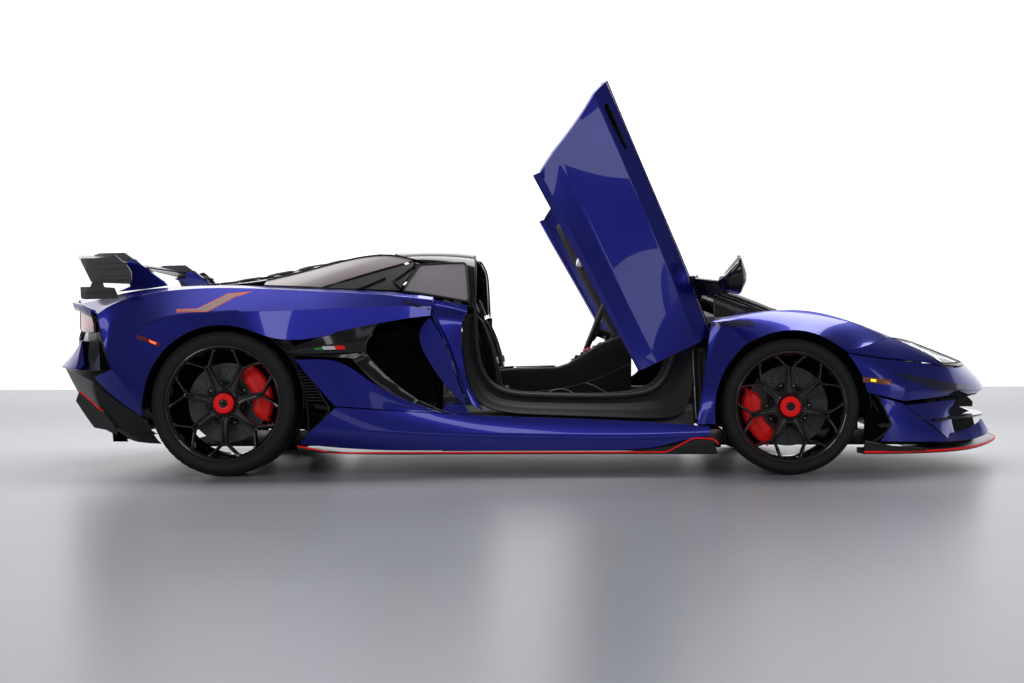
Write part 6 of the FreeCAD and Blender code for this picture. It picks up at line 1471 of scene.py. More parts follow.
# ------------------------------------------------------------------ windscreen, pillars, cowl, wipers
G = both_rows(WSHIELD)
P, _, _ = dense(inset_grid(G, 3.0), (), (), 34.0)
N = outward(P, (600, 0, 400))
V, F = slab(P, P - N * 5)
add("windscreen", V, F, GLASS, slot="glass", rep="windows", bevel=0.8, seg=1, angle=50)
ring = np.concatenate([P[:, 0], P[-1, 1:], P[-2::-1, -1], P[0, -2:0:-1]])
V, F = sweep(ring[::2], rect(9, 5), (0.02, 0.01, 1), closed=True)
add("windscreen_seal", V, F, SEAL, slot="gloss_black", rep="windows", bevel=1.0, seg=1, angle=50)
for s, t in ((1, "left"), (-1, "right")):
    secs = []
    for x, w, z in PIL:
        k = 1.0 if x > 500 else 0.9
        secs.append(rounded_loop([(x - 14, s * (w + 4), z - 26), (x + 4, s * (w - 36 * k), z - 8), (x + 18, s * (w - 34 * k), z + 24), (x + 2, s * (w + 4), z + 14)], 6, 4))
    S = np.einsum("ai,ijk->ajk", basis(4, 34), np.array(secs))
    V, F = loft(S)
    add("pillar_" + t, V, F, BLACK, slot="gloss_black", rep="windshield_frame", angle=40)
    S4 = np.einsum("ai,ijk->ajk", basis(4, 34), np.array([[(x - 14, s * (w + 4), z - 26), (x + 2, s * (w + 4), z + 14)] for x, w, z in PIL], float))
    b = Bag()
    for f in (0.30, 0.62):
        pt = S4[:, 0] * (1 - f) + S4[:, 1] * f + np.array([0, s * 1.0, 0])
        V, F = sweep(pt, rect(3.0, 2.6), (0, s, 0)); b.put(V, F)
    b.make("pillar_groove_" + t, STEEL, slot="gloss_black", rep="windshield_frame")
    pt = S4[:, 0] + np.array([0, -s * 3.0, -3.0])
    V, F = tube(pt, 6.0, 8)
    add("pillar_seal_" + t, V, F, SEAL, slot="cabin_dark", rep="windshield_frame")
    # shelf beside the screen, quarter light and its frame
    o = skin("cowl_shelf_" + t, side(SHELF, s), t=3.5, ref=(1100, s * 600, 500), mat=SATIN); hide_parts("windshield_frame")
    q = [np.array((x, s * w, z), float) for x, w, z in QLIGHT]
    c = sum(q) / 3
    qi = [c + (p - c) * 0.95 for p in q]
    rl = rounded_loop(qi, 10, 5)
    V, F = extrude([p + np.array([0, -s * 1.0, 0]) for p in rl], (0, -s * 3.5, 0))
    add("quarter_light_" + t, V, F, GLASS, slot="glass", rep="windows", smooth=False)
    V, F = sweep(rl + np.array([0, -s * 2.0, 0]), rect(7, 6), (0, s, 0), closed=True)
    add("quarter_light_frame_" + t, V, F, SEAL, slot="gloss_black", rep="windows", bevel=1.0, seg=1)
    # speaker pod seen behind the quarter light
    L, F = lathe([(0.2, 8), (20, 7), (30, 3), (34, -4), (30, -10), (0.2, -10)], 36)
    V = np.stack([1076 + L[:, 0] * 1.1, s * (648 + L[:, 2]), 772 + L[:, 1] * 0.9], 1)
    add("pillar_speaker_" + t, V, F, BLACK, slot="cabin_dark", rep="windshield_frame")
H = np.array(hdr, float)
H2 = np.array([rounded_loop(r, 8, 4) for r in H])
S = np.einsum("ai,ijk->ajk", basis(5, 40), H2)
V, F = loft(S)
add("screen_header", V, F, BLACK, slot="gloss_black", rep="windshield_frame", angle=40)
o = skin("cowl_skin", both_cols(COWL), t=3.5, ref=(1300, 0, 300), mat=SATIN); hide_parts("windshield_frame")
# louvre slots across the cowl
GT = bvh_of((both_rows(WSHIELD), (), ()), s=1)


def drop(x, y, tree, off=0.0, top=1600.0):
    h = tree.ray_cast(Vector((x, y, top)), Vector((0, 0, -1)))
    if h[0] is None:
        h = tree.find_nearest(Vector((x, y, 900)))
    p = h[0]; n = h[1] if h[1].z > 0 else -h[1]
    return np.array(p + n * off), np.array(n)


CT = bvh_of((both_cols(COWL), (), ()), s=1)
b = Bag()
for k in range(-13, 14):
    y = k * 42.0
    x0 = 1462 - abs(y) * 0.20; x1 = x0 - 22
    p0, _ = drop(x0, y, CT, 0.8); p1, _ = drop(x1, y * 0.985, CT, 0.8)
    V, F = sweep([p0, p1], rect(26, 2.4), (0, 0, 1)); b.put(V, F)
b.make("cowl_louvres", GRILLE, slot="gloss_black", rep="windshield_frame", bevel=0.4, seg=1)
# wipers parked low on the glass
for y0, y1, nm in ((330, -190, "a"), (-60, -520, "b")):
    pts, rub = [], []
    for f in np.linspace(0, 1, 16):
        yy = y0 + (y1 - y0) * f
        xx = 1420 - (yy / 640.0) ** 2 * 110 - 8 - 46 * math.sin(math.pi * f) * 0.5
        p, n = drop(xx - 6, yy, GT, 9.0)
        pts.append(p); q, _ = drop(xx - 14, yy, GT, 3.0); rub.append(q)
    b = Bag()
    V, F = sweep(pts, rect(9, 5), (0, 0, 1), scale=np.linspace(1.25, 0.7, 16)); b.put(V, F)
    V, F = sweep(rub, rect(4, 6), (0, 0, 1)); b.put(V, F)
    L, F = lathe([(0.2, 10), (8, 9), (11, 5), (12, -8), (0.2, -8)], 20)
    b.put(np.stack([pts[0][0] + L[:, 0], pts[0][1] + L[:, 1], pts[0][2] + L[:, 2]], 1), F)
    b.make("wiper_" + nm, SATIN, slot="gloss_black", rep="windshield_frame", bevel=0.8, seg=1)

# ------------------------------------------------------------------ hood details: two side vents and the shut-line creases
HT = bvh_of((both_cols(HOOD), (), ()), s=1)
for s, t in ((1, "left"), (-1, "right")):
    b = Bag()
    for k in range(5):
        xx = 1560 + k * 26
        row = []
        for f in np.linspace(0, 1, 9):
            yy = s * (330 + 190 * f); p, n = drop(xx + 60 * f * 0.6, yy, HT, 1.2); row.append(p)
        V, F = sweep(row, [(-8, -2), (8, -2), (9, 4.0), (-5, 0.5)], (0, 0, 1)); b.put(V, F)
    b.make("hood_vent_slats_" + t, BLACK, "front_hood", slot="gloss_black", rep="front_hood", bevel=0.5, seg=1)
    pts = []
    for f in np.linspace(0, 1, 30):
        p, n = drop(1500 + 800 * f, s * (250 + 40 * math.sin(f * 3.1) - 130 * f), HT, -0.6); pts.append(p)
    V, F = sweep(pts, [(-15, 0), (0, 3.2), (15, 0), (0, -3)], (0, 0, 1), scale=np.r_[np.linspace(0.2, 1, 6), np.ones(18), np.linspace(1, 0.2, 6)])
    add("hood_crease_" + t, V, F, PAINT, "front_hood", slot="paint_blue", rep="front_hood", sharp=20)


# ------------------------------------------------------------------ sides: intakes, sills, doorway, glass
def grid_pts(G, n=26, m=None):
    G = np.array(G, float)
    return surf(G, n, m or G.shape[1])


for s, t in ((1, "left"), (-1, "right")):
    sd = lambda rows: np.array([[(x, s * w, z) for x, w, z in r] for r in rows], float)
    # upper blade: pale upper facet and dark lower facet meeting in a ridge
    top = [(-1040, 1037, 601), (-985, 1026, 628), (-880, 1008, 664), (-795, 1000, 692), (-690, 984, 713), (-610, 966, 729)]
    rid = [(-1040, 1041, 599), (-960, 1034, 613), (-880, 1024, 624), (-788, 1010, 636), (-720, 994, 642), (-664, 982, 650)]
    bot = [(-1036, 1036, 592), (-960, 1026, 584), (-880, 1016, 585), (-800, 1004, 587), (-730, 990, 589), (-668, 976, 592)]
    b = Bag()
    for A, B in ((top, rid), (rid, bot)):
        a_, b_ = resample(sd([A])[0], 30), resample(sd([B])[0], 30)
        G = np.stack([a_, 0.5 * (a_ + b_) + np.array([0, -s * 1.5, 0]), b_], 1)
        V, F = slab(G, G - np.array([0, s * 7.0, 0])); b.put(V, F)
    b.make("intake_blade_upper_" + t, BLACK, slot="gloss_black", rep="air_intakes", bevel=1.2, seg=1, angle=30)
    # lower hooked limb
    inner = [(-612, 958, 727), (-640, 972, 678), (-666, 978, 640), (-672, 978, 592), (-640, 970, 548), (-577, 966, 482), (-506, 962, 420), (-420, 958, 360), (-315, 957, 312), (-212, 956, 284)]
    outer = [(-668, 986, 648), (-700, 992, 610), (-860, 1022, 586), (-979, 1034, 579), (-750, 1006, 562), (-674, 990, 493), (-579, 978, 397), (-475, 968, 335), (-350, 964, 303), (-236, 958, 282)]
    a_, b_ = resample(sd([inner[3:]])[0], 40), resample(sd([[(-700, 994, 588), (-735, 1000, 560), (-674, 992, 493), (-579, 980, 397), (-475, 970, 335), (-350, 964, 303), (-236, 958, 282)]])[0], 40)
    G = np.stack([a_, a_ * 0.55 + b_ * 0.45 + np.array([0, s * 5, 0]), b_], 1)
    V, F = slab(G, G - np.array([0, s * 7.0, 0]))
    add("intake_limb_" + t, V, F, BLACK, slot="gloss_black", rep="air_intakes", bevel=1.2, seg=1, angle=25)
    G = np.stack([resample(sd([[(-1036, 1036, 588), (-900, 1022, 580), (-760, 1004, 582), (-668, 984, 592)]])[0], 22),
                  resample(sd([[(-1000, 1038, 578), (-900, 1028, 572), (-780, 1012, 566), (-716, 1002, 560)]])[0], 22)], 1)
    V, F = slab(G, G - np.array([0, s * 6.0, 0]))
    add("intake_limb_rear_" + t, V, F, BLACK, slot="gloss_black", rep="air_intakes", bevel=1.0, seg=1)
    pt = resample(sd([inner[1:]])[0], 60) + np.array([0, s * 2.5, 0])
    V, F = tube(pt, 1.1, 8)
    add("intake_edge_" + t, V, F, METAL, slot="gloss_black", rep="air_intakes")
    # near-black underlay below the limbs and closing wall behind the blades: painted shade
    a_ = resample(sd([[(-1010, 1020, 592), (-900, 1008, 590), (-800, 996, 588), (-700, 976, 560), (-640, 962, 500), (-560, 952, 425), (-470, 948, 372), (-350, 946, 318)]])[0], 44)
    b_ = resample(sd([[(-985, 1014, 560), (-900, 1004, 548), (-820, 994, 530), (-740, 982, 490), (-660, 970, 420), (-570, 958, 350), (-470, 950, 305), (-350, 946, 285)]])[0], 44)
    V, F = slab(np.stack([a_, 0.5 * (a_ + b_), b_], 1) - np.array([0, s * 10.0, 0]), np.stack([a_, 0.5 * (a_ + b_), b_], 1) - np.array([0, s * 14.0, 0]))
    add("intake_underlay_" + t, V, F, SHADE_BLACK, slot="gloss_black", rep="air_intakes")
    V, F = side_poly([(-972, 250), (-330, 250), (-330, 700), (-600, 742), (-980, 720)], 846, 850, s)
    add("intake_back_" + t, V, F, SHADE_BLACK, slot="gloss_black", rep="air_intakes", smooth=False)
    # near-black inner wall below the louvre and the buttress: painted shade
    V, F = side_poly([(-336, 560), (-336, 770), (-372, 890), (-420, 915), (-650, 905), (-900, 868), (-1000, 845), (-1000, 560)], 742, 746, s)
    add("flank_liner_" + t, V, F, SHADE_BLACK, slot="gloss_black", rep="buttresses", smooth=False)
    # painted ledge at the foot of the jamb
    V, F = loft(sd([[(-326, 952, 290), (-290, 952, 336), (-198, 952, 336), (-176, 952, 292)], [(-322, 940, 294), (-296, 930, 343), (-204, 924, 343), (-182, 930, 296)],
                    [(-318, 908, 300), (-298, 900, 350), (-212, 894, 348), (-192, 900, 300)]]))
    add("jamb_ledge_" + t, V, F, PAINT, slot="paint_blue", rep="rear_quarter_" + t, bevel=1.5, seg=2, angle=30)
    # generic tricolour accent
    for k, (x0, x1, m_) in enumerate(((-911, -873, GREEN), (-871, -812, WHITE), (-810, -766, RED))):
        row = [[(x, s * (1022 - (x + 911) * 0.115 + 3.4), z) for x, z in ((x0 - 4, 619 + (x0 + 911) * 0.03), (x1 - 4, 619 + (x1 + 911) * 0.03), (x1 + 5, 603 + (x1 + 911) * 0.02), (x0 + 5, 603 + (x0 + 911) * 0.02))]]
        V, F = extrude(row[0], (0, -s * 5.0, 0))
        add("accent_%d_%s" % (k, t), V, F, m_, slot="gloss_black", rep="air_intakes", bevel=0.6, seg=1)
    # duct behind the blades, with a screen, in near-black painted shade
    back = [[(-640, 878, 700), (-560, 866, 690), (-470, 852, 680), (-400, 842, 655)],
            [(-720, 918, 610), (-600, 890, 600), (-480, 868, 590), (-385, 862, 560)],
            [(-650, 922, 480), (-560, 900, 470), (-440, 880, 465), (-350, 872, 450)],
            [(-510, 912, 382), (-450, 898, 378), (-390, 888, 370), (-335, 880, 350)]]
    P = surf(sd(back), 24, 20)
    V, F = slab(P, P - np.array([0, s * 6.0, 0]))
    add("intake_duct_" + t, V, F, SHADE_BLACK, slot="gloss_black", rep="air_intakes")
    walls = Bag()
    for ring in ([(-612, 955, 722), (-664, 965, 660), (-700, 985, 600), (-672, 972, 560), (-575, 958, 470), (-440, 950, 365), (-330, 950, 318)],):
        A = resample(sd([ring])[0], 30)
        B = resample(sd([[(-640, 876, 700), (-690, 900, 660), (-720, 918, 610), (-690, 922, 540), (-600, 920, 440), (-510, 912, 382), (-335, 880, 350)]])[0], 30)
        G = np.stack([A - np.array([0, s * 6, 0]), 0.5 * (A + B) + np.array([-10, 0, -6]), B], 1)
        n = grid_normals(G)
        V, F = slab(G, G - n * 3); walls.put(V, F)
    walls.make("intake_wall_" + t, SHADE_BLACK, slot="gloss_black", rep="air_intakes")
    ribs = Bag()
    for k in range(7):
        z = 420 + k * 36
        x0 = -690 + (abs(z - 600) * 0.35); x1 = -400 + (560 - z) * 0.1 * 0
        V, F = sweep([(x0, s * (917 - k), z), (0.5 * (x0 + x1), s * 893, z + 4), (x1, s * 868, z)], rect(16, 2.5), (0, 0.3 * s, 1)); ribs.put(V, F)
    ribs.make("intake_slats_" + t, SHADE_BLACK, slot="gloss_black", rep="air_intakes")
    # rear-arch vent: back plate in near-black painted shade, edge blade, small hook, mesh
    front = [(-1007, 572), (-959, 530), (-893, 434), (-820, 318), (-876, 248), (-925, 180)]
    rear = [(-960, 165), (-943, 220), (-945, 294), (-957, 389), (-988, 494)]
    V, F = side_poly(front + rear, 1006, 1012, s)
    add("arch_vent_back_" + t, V, F, SHADE_BLACK, slot="gloss_black", rep="air_intakes", bevel=0.8, seg=1)
    b = Bag()
    pth = [(x - 5, s * 1028, z) for x, z in [(-1003, 566), (-962, 528), (-897, 434), (-828, 320), (-880, 248), (-934, 178)]]
    V, F = sweep(resample(pth, 40), [(-6, -14), (6, -14), (4, 7), (-4, 5)], (0, s, 0)); b.put(V, F)
    V, F = side_poly([(-912, 346), (-874, 343), (-832, 326), (-834, 314), (-903, 327)], 1010, 1034, s); b.put(V, F)
    pth = [(x + 6, s * 1024, z) for x, z in [(-1010, 566), (-988, 494), (-957, 389), (-945, 294), (-943, 220), (-955, 172)]]
    V, F = sweep(resample(pth, 36), [(-5, -12), (5, -12), (3, 4), (-4, 4)], (0, s, 0)); b.put(V, F)
    b.make("arch_vent_blade_" + t, BLACK, slot="gloss_black", rep="air_intakes", bevel=1.2, seg=1)
    b = Bag()
    for k in range(11):
        z = 362 + k * 14
        xa = -962 - (z - 389) * 0.26; xb = -848 - (z - 362) * 0.70
        if xb - xa > 24:
            V, F = sweep([(xa + 6, s * 1015, z), (xb - 8, s * 1015, z + 2)], rect(3, 6), (0, s, 0.2)); b.put(V, F)
    b.make("arch_vent_slats_" + t, GRILLE, slot="gloss_black", rep="air_intakes")
    # red pinstripe along the skirt and the black end piece
    pts = [(-992, 1015, 146), (-905, 1010, 129), (-824, 1007, 112.5), (-300, 1002.5, 113), (300, 999, 113), (758, 999, 113), (884, 1000, 179.5), (982, 1000, 175.5), (1004, 1000, 150)]
    P = rounded([(x, s * w, z) for x, w, z in pts], 16, 4)
    V, F = sweep(resample(P, 130), [(-3.6, -2.5), (3.6, -2.5), (3.6, 2.4), (-3.6, 2.4)], (0, s, 0))
    add("sill_red_line_" + t, V, F, RED, slot="caliper_red", rep="side_skirts", bevel=0.6, seg=1)
    V, F = side_poly([(772, 106), (886, 172), (978, 169), (1001, 108)], 990, 999, s)
    add("skirt_end_" + t, V, F, CARB, slot="carbon_dark", rep="side_skirts", bevel=1.0, seg=1)
    # doorway frame, with a rubber seal round the opening
    DF = sd([[(-188, 844, 768), (-170, 822, 776), (-150, 800, 782)], [(-207, 866, 735), (-174, 834, 728), (-147, 802, 716)],
             [(-214, 880, 663), (-180, 842, 640), (-140, 802, 610)], [(-203, 892, 540), (-160, 850, 520), (-118, 804, 500)],
             [(-172, 906, 400), (-115, 866, 400), (-60, 812, 425)], [(-100, 935, 300), (-50, 884, 338), (50, 812, 398)],
             [(200, 935, 288), (200, 884, 330), (200, 812, 392)], [(541, 935, 276), (541, 884, 324), (480, 812, 384)],
             [(785, 928, 264), (740, 884, 330), (690, 800, 410)], [(880, 888, 300), (830, 850, 400), (752, 790, 500)],
             [(905, 850, 470), (860, 812, 540), (790, 780, 600)], [(915, 806, 610), (880, 786, 650), (835, 770, 680)]])
    P, _, _ = dense(DF, (), (), 17.0)
    N = outward(P, (300, s * 300, 560))
    vv = np.linspace(0, 1, P.shape[1])[None, :]
    step = 3.0 * np.exp(-((vv - 0.30) / 0.05) ** 2) - 3.0 * np.exp(-((vv - 0.62) / 0.07) ** 2)
    Q = P + N * step[..., None] * np.ones(P.shape[:2])[..., None]
    V, F = slab(Q, Q - N * 7)
    add("doorway_frame_" + t, V, F, FRAME_M, slot="cabin_dark", rep="doorway_frames", bevel=1.0, seg=1, angle=60)
    j = int(0.80 * (P.shape[1] - 1))
    pt = P[:, j] + N[:, j] * 7.0
    V, F = tube(resample(pt, 90), 11.0, 12)
    add("doorway_seal_" + t, V, F, SEAL, slot="cabin_dark", rep="doorway_frames")
    j2 = int(0.92 * (P.shape[1] - 1))
    pt = P[:, j2] + N[:, j2] * 2.0
    V, F = tube(resample(pt, 90), 4.5, 8)
    add("doorway_lip_" + t, V, F, SEAL, slot="cabin_dark", rep="doorway_frames")
    # hinge pillar ahead of the doorway: plate, gas strut and wiring loom
    V, F = loft(sd([[(896, 852, 240), (966, 886, 240), (970, 874, 240), (900, 840, 240)], [(894, 828, 420), (964, 866, 420), (968, 854, 420), (898, 816, 420)],
                    [(900, 794, 600), (962, 836, 600), (966, 824, 600), (904, 782, 600)]]))
    add("hinge_pillar_" + t, V, F, FRAME_M, slot="cabin_dark", rep="doorway_frames", bevel=2.0, seg=2)
    b = Bag()
    V, F = tube([(912, s * 868, 262), (906, s * 856, 420)], 8.0, 14, up=(1, 0, 0)); b.put(V, F)
    V, F = tube([(906, s * 856, 420), (899, s * 834, 590)], 4.5, 12, up=(1, 0, 0)); b.put(V, F)
    b.make("door_strut_" + t, METAL, slot="suspension_metal", rep="doorway_frames")
    b = Bag()
    V, F = tube([(938, s * 874, 300), (934, s * 856, 450), (930, s * 832, 580)], 5.5, 10, up=(1, 0, 0)); b.put(V, F)
    for z in (330, 470, 580):
        V, F = extrude([(925, s * (848 - z * 0.03), z), (952, s * (862 - z * 0.03), z), (952, s * (848 - z * 0.03), z), (925, s * (834 - z * 0.03), z)], (0, 0, 22)); b.put(V, F)
    b.make("door_loom_" + t, SEAL, slot="cabin_dark", rep="doorway_frames", bevel=1.2, seg=1)
    # door check pad in the jamb and striker
    L, F = lathe([(0.2, 7), (10, 6), (13, 2), (13, -6), (0.2, -6)], 20)
    V = np.stack([-292 + L[:, 0], s * (905 + L[:, 2]), 620 + L[:, 1]], 1)
    add("door_bump_stop_" + t, V, F, SEAL, slot="cabin_dark", rep="rear_quarter_" + t)
    b = Bag()
    V, F = tube(rounded([(-262, s * 888, 600), (-262, s * 902, 600), (-262, s * 902, 560), (-262, s * 888, 560)], 5, 5), 4.0, 8); b.put(V, F)
    V, F = extrude([(-276, s * 890, 612), (-248, s * 886, 612), (-248, s * 886, 548), (-276, s * 890, 548)], (0, -s * 4, 0)); b.put(V, F)
    b.make("door_striker_" + t, STEEL, slot="suspension_metal", rep="rear_quarter_" + t, bevel=0.8, seg=1)
    # side glass with its black surround
    P, _, _ = dense(inset_grid(side(QWINDOW, s), 3.0), (), (), 14.0)
    N = outward(P, (-300, s * 300, 800))
    V, F = slab(P, P - N * 4)
    add("side_glass_" + t, V, F, QGLASS, slot="glass", rep="windows", bevel=0.6, seg=1)
    ring = np.concatenate([P[:, 0], P[-1, 1:], P[-2::-1, -1], P[0, -2:0:-1]])
    V, F = sweep(ring[::2], rect(10, 7), (0, s, 0.3), closed=True)
    add("side_glass_seal_" + t, V, F, SEAL, slot="gloss_black", rep="windows", bevel=1.2, seg=1, angle=50)
    # cab frame along the front of the hoop
    pt = curve([(x + 3, s * w, z) for x, w, z in HOOP[0][:5]], 60)
    V, F = tube(pt - np.array([0, s * 6.0, 12.0]), 5.0, 10, up=(1, 0, 0.1))
    add("hoop_seal_" + t, V, F, SEAL, slot="cabin_dark", rep="rear_hoop")
    # fender: painted shade, a strip of the darker paint laid behind the wheel crest
    laid("fender_shade_strip_" + t, FT[s], [(985, 724), (1040, 732), (1110, 738), (1165, 738)], [(985, 710), (1060, 706), (1150, 706), (1188, 708)], s, PAINT_SHADE,
         n=20, m=4, off=0.8, t=1.5, slot="paint_blue", rep="front_fender_" + t, bevel=0)
    # rear quarter: generic stripe and the red marker
    QT = bvh_of((QUARTER, (), (1, 2)), s=s)
    laid("stripe_edge_" + t, QT, [(-1580, 801), (-1478, 804), (-1461, 811), (-1346, 877), (-1232, 886)], [(-1575, 785), (-1421, 787), (-1306, 859), (-1236, 883)], s, ORANGE,
         n=40, m=4, off=0.7, t=1.2, slot="paint_blue", rep="rear_quarter_" + t, bevel=0)
    laid("stripe_fill_" + t, QT, [(-1568, 797), (-1480, 800), (-1459, 806), (-1346, 871), (-1290, 876)], [(-1564, 789), (-1424, 791), (-1310, 862), (-1284, 874)], s, BRONZE,
         n=40, m=4, off=1.1, t=1.2, slot="paint_blue", rep="rear_quarter_" + t, bevel=0)
    laid("marker_red_" + t, QT, [(-1770, 682), (-1718, 666), (-1636, 634)], [(-1762, 660), (-1700, 640), (-1650, 621)], s, REDLENS,
         n=22, m=4, off=2.2, t=4.0, slot="lamp_red", rep="rear_quarter_" + t, bevel=0.8, crown=1.4)
    laid("marker_red_cell_" + t, QT, [(-1700, 655), (-1660, 640)], [(-1696, 643), (-1664, 631)], s, RED_ON, n=8, m=3, off=3.8, t=2.0,
         slot="lamp_red", rep="rear_quarter_" + t, bevel=0.6)
    # painted shade: strip of the darker paint along the shoulder crease behind the door
    laid("shoulder_shade_strip_" + t, QT, [(-366, 800), (-430, 822), (-500, 838)], [(-366, 792), (-430, 806), (-500, 826)], s, PAINT_SHADE,
         n=14, m=3, off=0.9, t=1.5, slot="paint_blue", rep="rear_quarter_" + t, bevel=0)
    # filler cap on the far side only
    if s == 1:
        L, F = lathe([(0.2, 3.0), (58, 2.4), (62, 1.2), (63, -2), (0.2, -2)], 48)
        p, n = lay(QT, [(-760, 842)], s, 0.2)
        a1 = unit(np.cross(n[0], (0, 0, 1))); a2 = np.cross(n[0], a1)
        add("filler_cap", p[0] + L[:, 0:1] * a1 + L[:, 1:2] * a2 + L[:, 2:3] * n[0], F, PAINT, slot="paint_blue", rep="rear_quarter_left")


# ------------------------------------------------------------------ rear: wing, tail, lamps, diffuser, exhaust, engine cover
P, _, _ = dense(both_rows(WING), (), (), 20.0)
N = outward(P, (-2100, 0, 500))
c = np.linspace(0, 1, P.shape[1])[None, :]
th = 21.0 * (0.35 + 0.65 * np.sin(math.pi * np.clip(c * 0.82 + 0.16, 0, 1)))
V, F = slab(P, P - N * (th * np.ones(P.shape[:2]))[..., None])
add("wing_blade", V, F, CARB, slot="carbon_dark", rep="rear_wing", bevel=1.5, seg=1, angle=45)
te = P[:, 0]
G = np.stack([te + np.array([2, 0, -1.0]), te + np.array([-28, 0, 6.0])], 1)
V, F = slab(G, G - np.array([0, 0, 3.0]))
add("wing_flap", V, F, LENS, slot="gloss_black", rep="rear_wing", bevel=0.5, seg=1)
V, F = sweep(te[::2] + np.array([0, 0, 1.0]), rect(5, 5), (0, 0, 1))
add("wing_trailing_bead", V, F, BLACK, slot="gloss_black", rep="rear_wing", bevel=0.8, seg=1)
for s, t in ((1, "left"), (-1, "right")):
    sd = lambda rows: np.array([[(x, s * w, z) for x, w, z in r] for r in rows], float)
    # end plate with pressed creases
    b = Bag()
    pl = rounded_loop([(-2068, 1047), (-1930, 1058), (-1900, 1070), (-1840, 1020), (-1817, 986), (-1816, 944), (-1822, 926), (-2012, 934)], 7, 3)
    V, F = side_poly(pl, 896, 908, s); b.put(V, F)
    for k, (za, zb) in enumerate(((1022, 1030), (996, 1000), (968, 966), (950, 946))):
        xa = -2062 + (1047 - za) * 0.46; xb = -1832 + k * 2
        V, F = sweep([(xa + 10, s * 908, za), (0.5 * (xa + xb), s * 909, 0.5 * (za + zb)), (xb - 8, s * 908, zb)], rect(5, 4), (0, s, 0)); b.put(V, F)
    b.make("wing_endplate_" + t, CARB, slot="carbon_dark", rep="wing_mounts", bevel=1.3, seg=2)
    b = Bag()
    V, F = side_poly(rounded_loop([(-2071, 914), (-2022, 914), (-2016, 934), (-1962, 936), (-1956, 913), (-1905, 909), (-1884, 860), (-1900, 856), (-2048, 853), (-2068, 858)], 4, 3), 882, 894, s); b.put(V, F)
    V, F = sweep([(-2060, s * 895, 884), (-1900, s * 895, 884)], rect(4, 4), (0, s, 0)); b.put(V, F)
    b.make("deck_fin_" + t, CARB, slot="carbon_dark", rep="wing_mounts", bevel=1.3, seg=2)
    # pylon: blue foot and black cap
    foot = [(-1930, 1062), (-1880, 1064), (-1845, 1030), (-1797, 994), (-1735, 951), (-1716, 930), (-1829, 912), (-1972, 899), (-1908, 926), (-1925, 985), (-1996, 1014), (-1998, 1020), (-1928, 1020)]
    V, F = side_poly(foot, 593, 617, s)
    add("wing_pylon_" + t, V, F, PAINT, slot="paint_blue", rep="wing_mounts", bevel=4.0, seg=3)
    cap = [(-2092, 1084), (-2061, 1094), (-1934, 1096), (-1845, 1032), (-1797, 998), (-1806, 1008), (-1912, 1062), (-1926, 1052), (-2040, 1056)]
    V, F = side_poly(cap, 590, 620, s)
    add("wing_pylon_cap_" + t, V, F, BLACK, slot="gloss_black", rep="wing_mounts", bevel=2.5, seg=2)
    # tail lamps: lens, bezel, three lit bars
    TL = sd([[(-2003, 925, 762), (-1990, 936, 728), (-1986, 947, 694)], [(-2058, 835, 782), (-2062, 842, 735), (-2062, 850, 690)], [(-2150, 650, 806), (-2152, 655, 750), (-2146, 660, 706)]])
    P, _, _ = dense(TL, (), (), 9.0)
    N = outward(P, (-1500, s * 300, 600))
    V, F = slab(P - N * 0.3, P - N * 3.0)
    add("tail_lamp_lens_" + t, V, F, PINK, slot="lamp_red", rep="taillights", bevel=0.8, seg=1)
    V, F = slab(P - N * 8.0, P - N * 9.8)
    add("tail_lamp_bowl_" + t, V, F, BLACK, slot="lamp_red", rep="taillights")
    b = Bag()
    for u0 in (0.16, 0.46, 0.76):
        for path in ([(u0, 0.5), (u0 + 0.09, 0.5)], [(u0 + 0.09, 0.5), (u0 + 0.17, 0.2)], [(u0 + 0.09, 0.5), (u0 + 0.17, 0.8)]):
            pts = resample([at_grid(P - N * 5.6, u, v) for u, v in path], 7)
            V, F = sweep(pts, rect(7, 3.5), N[P.shape[0] // 2, P.shape[1] // 2]); b.put(V, F)
    b.make("tail_lamp_bars_" + t, RED_ON, slot="lamp_red", rep="taillights", bevel=0.5, seg=1)
    edge = np.concatenate([P[:, 0], P[-1, 1:], P[-2::-1, -1], P[0, -2:0:-1]])
    V, F = sweep(edge[::2] - np.array([-1.5, 0, 0]), circle(3.2, 8), (1, 0, 0.01), closed=True)
    add("tail_lamp_bezel_" + t, V, F, BLACK, slot="gloss_black", rep="taillights")
    # bumper pods below the lamps
    V, F = loft(sd([rounded_loop(r, 9, 4) for r in (
        [(-2078, 848, 652), (-2066, 852, 532), (-2092, 850, 508), (-2112, 838, 513), (-2086, 830, 652)],
        [(-2100, 768, 655), (-2118, 770, 534), (-2140, 768, 508), (-2190, 752, 516), (-2112, 750, 656)],
        [(-2110, 668, 652), (-2160, 668, 534), (-2190, 668, 510), (-2245, 660, 520), (-2128, 650, 655)])]))
    add("rear_pod_" + t, V, F, PAINT, slot="paint_blue", rep="rear_bumper", bevel=0.0, sharp=34)
    # inner face beside the pod in the darker copy of the paint: painted shade
    P2 = sd([[(-2084, 764, 684), (-2044, 850, 677), (-1966, 926, 676)], [(-2120, 780, 600), (-2046, 846, 596), (-1964, 928, 590)], [(-2109, 806, 507), (-2036, 852, 505), (-1962, 930, 508)]])
    P, _, _ = dense(P2, (), (), 12.0)
    N = outward(P, (-1700, s * 300, 600))
    V, F = slab(P - N * 0.5, P - N * 4.0)
    add("rear_pod_inner_" + t, V, F, PAINT_SHADE, slot="paint_blue", rep="rear_bumper", bevel=0.8, seg=1)
    # slot in near-black painted shade
    V, F = loft(sd([[(-1967, 936, 648), (-1912, 964, 520), (-1962, 940, 508)], [(-1960, 918, 648), (-1905, 946, 520), (-1955, 922, 508)]]))
    add("rear_slot_" + t, V, F, SHADE_BLACK, slot="gloss_black", rep="rear_bumper", bevel=0.8, seg=1)
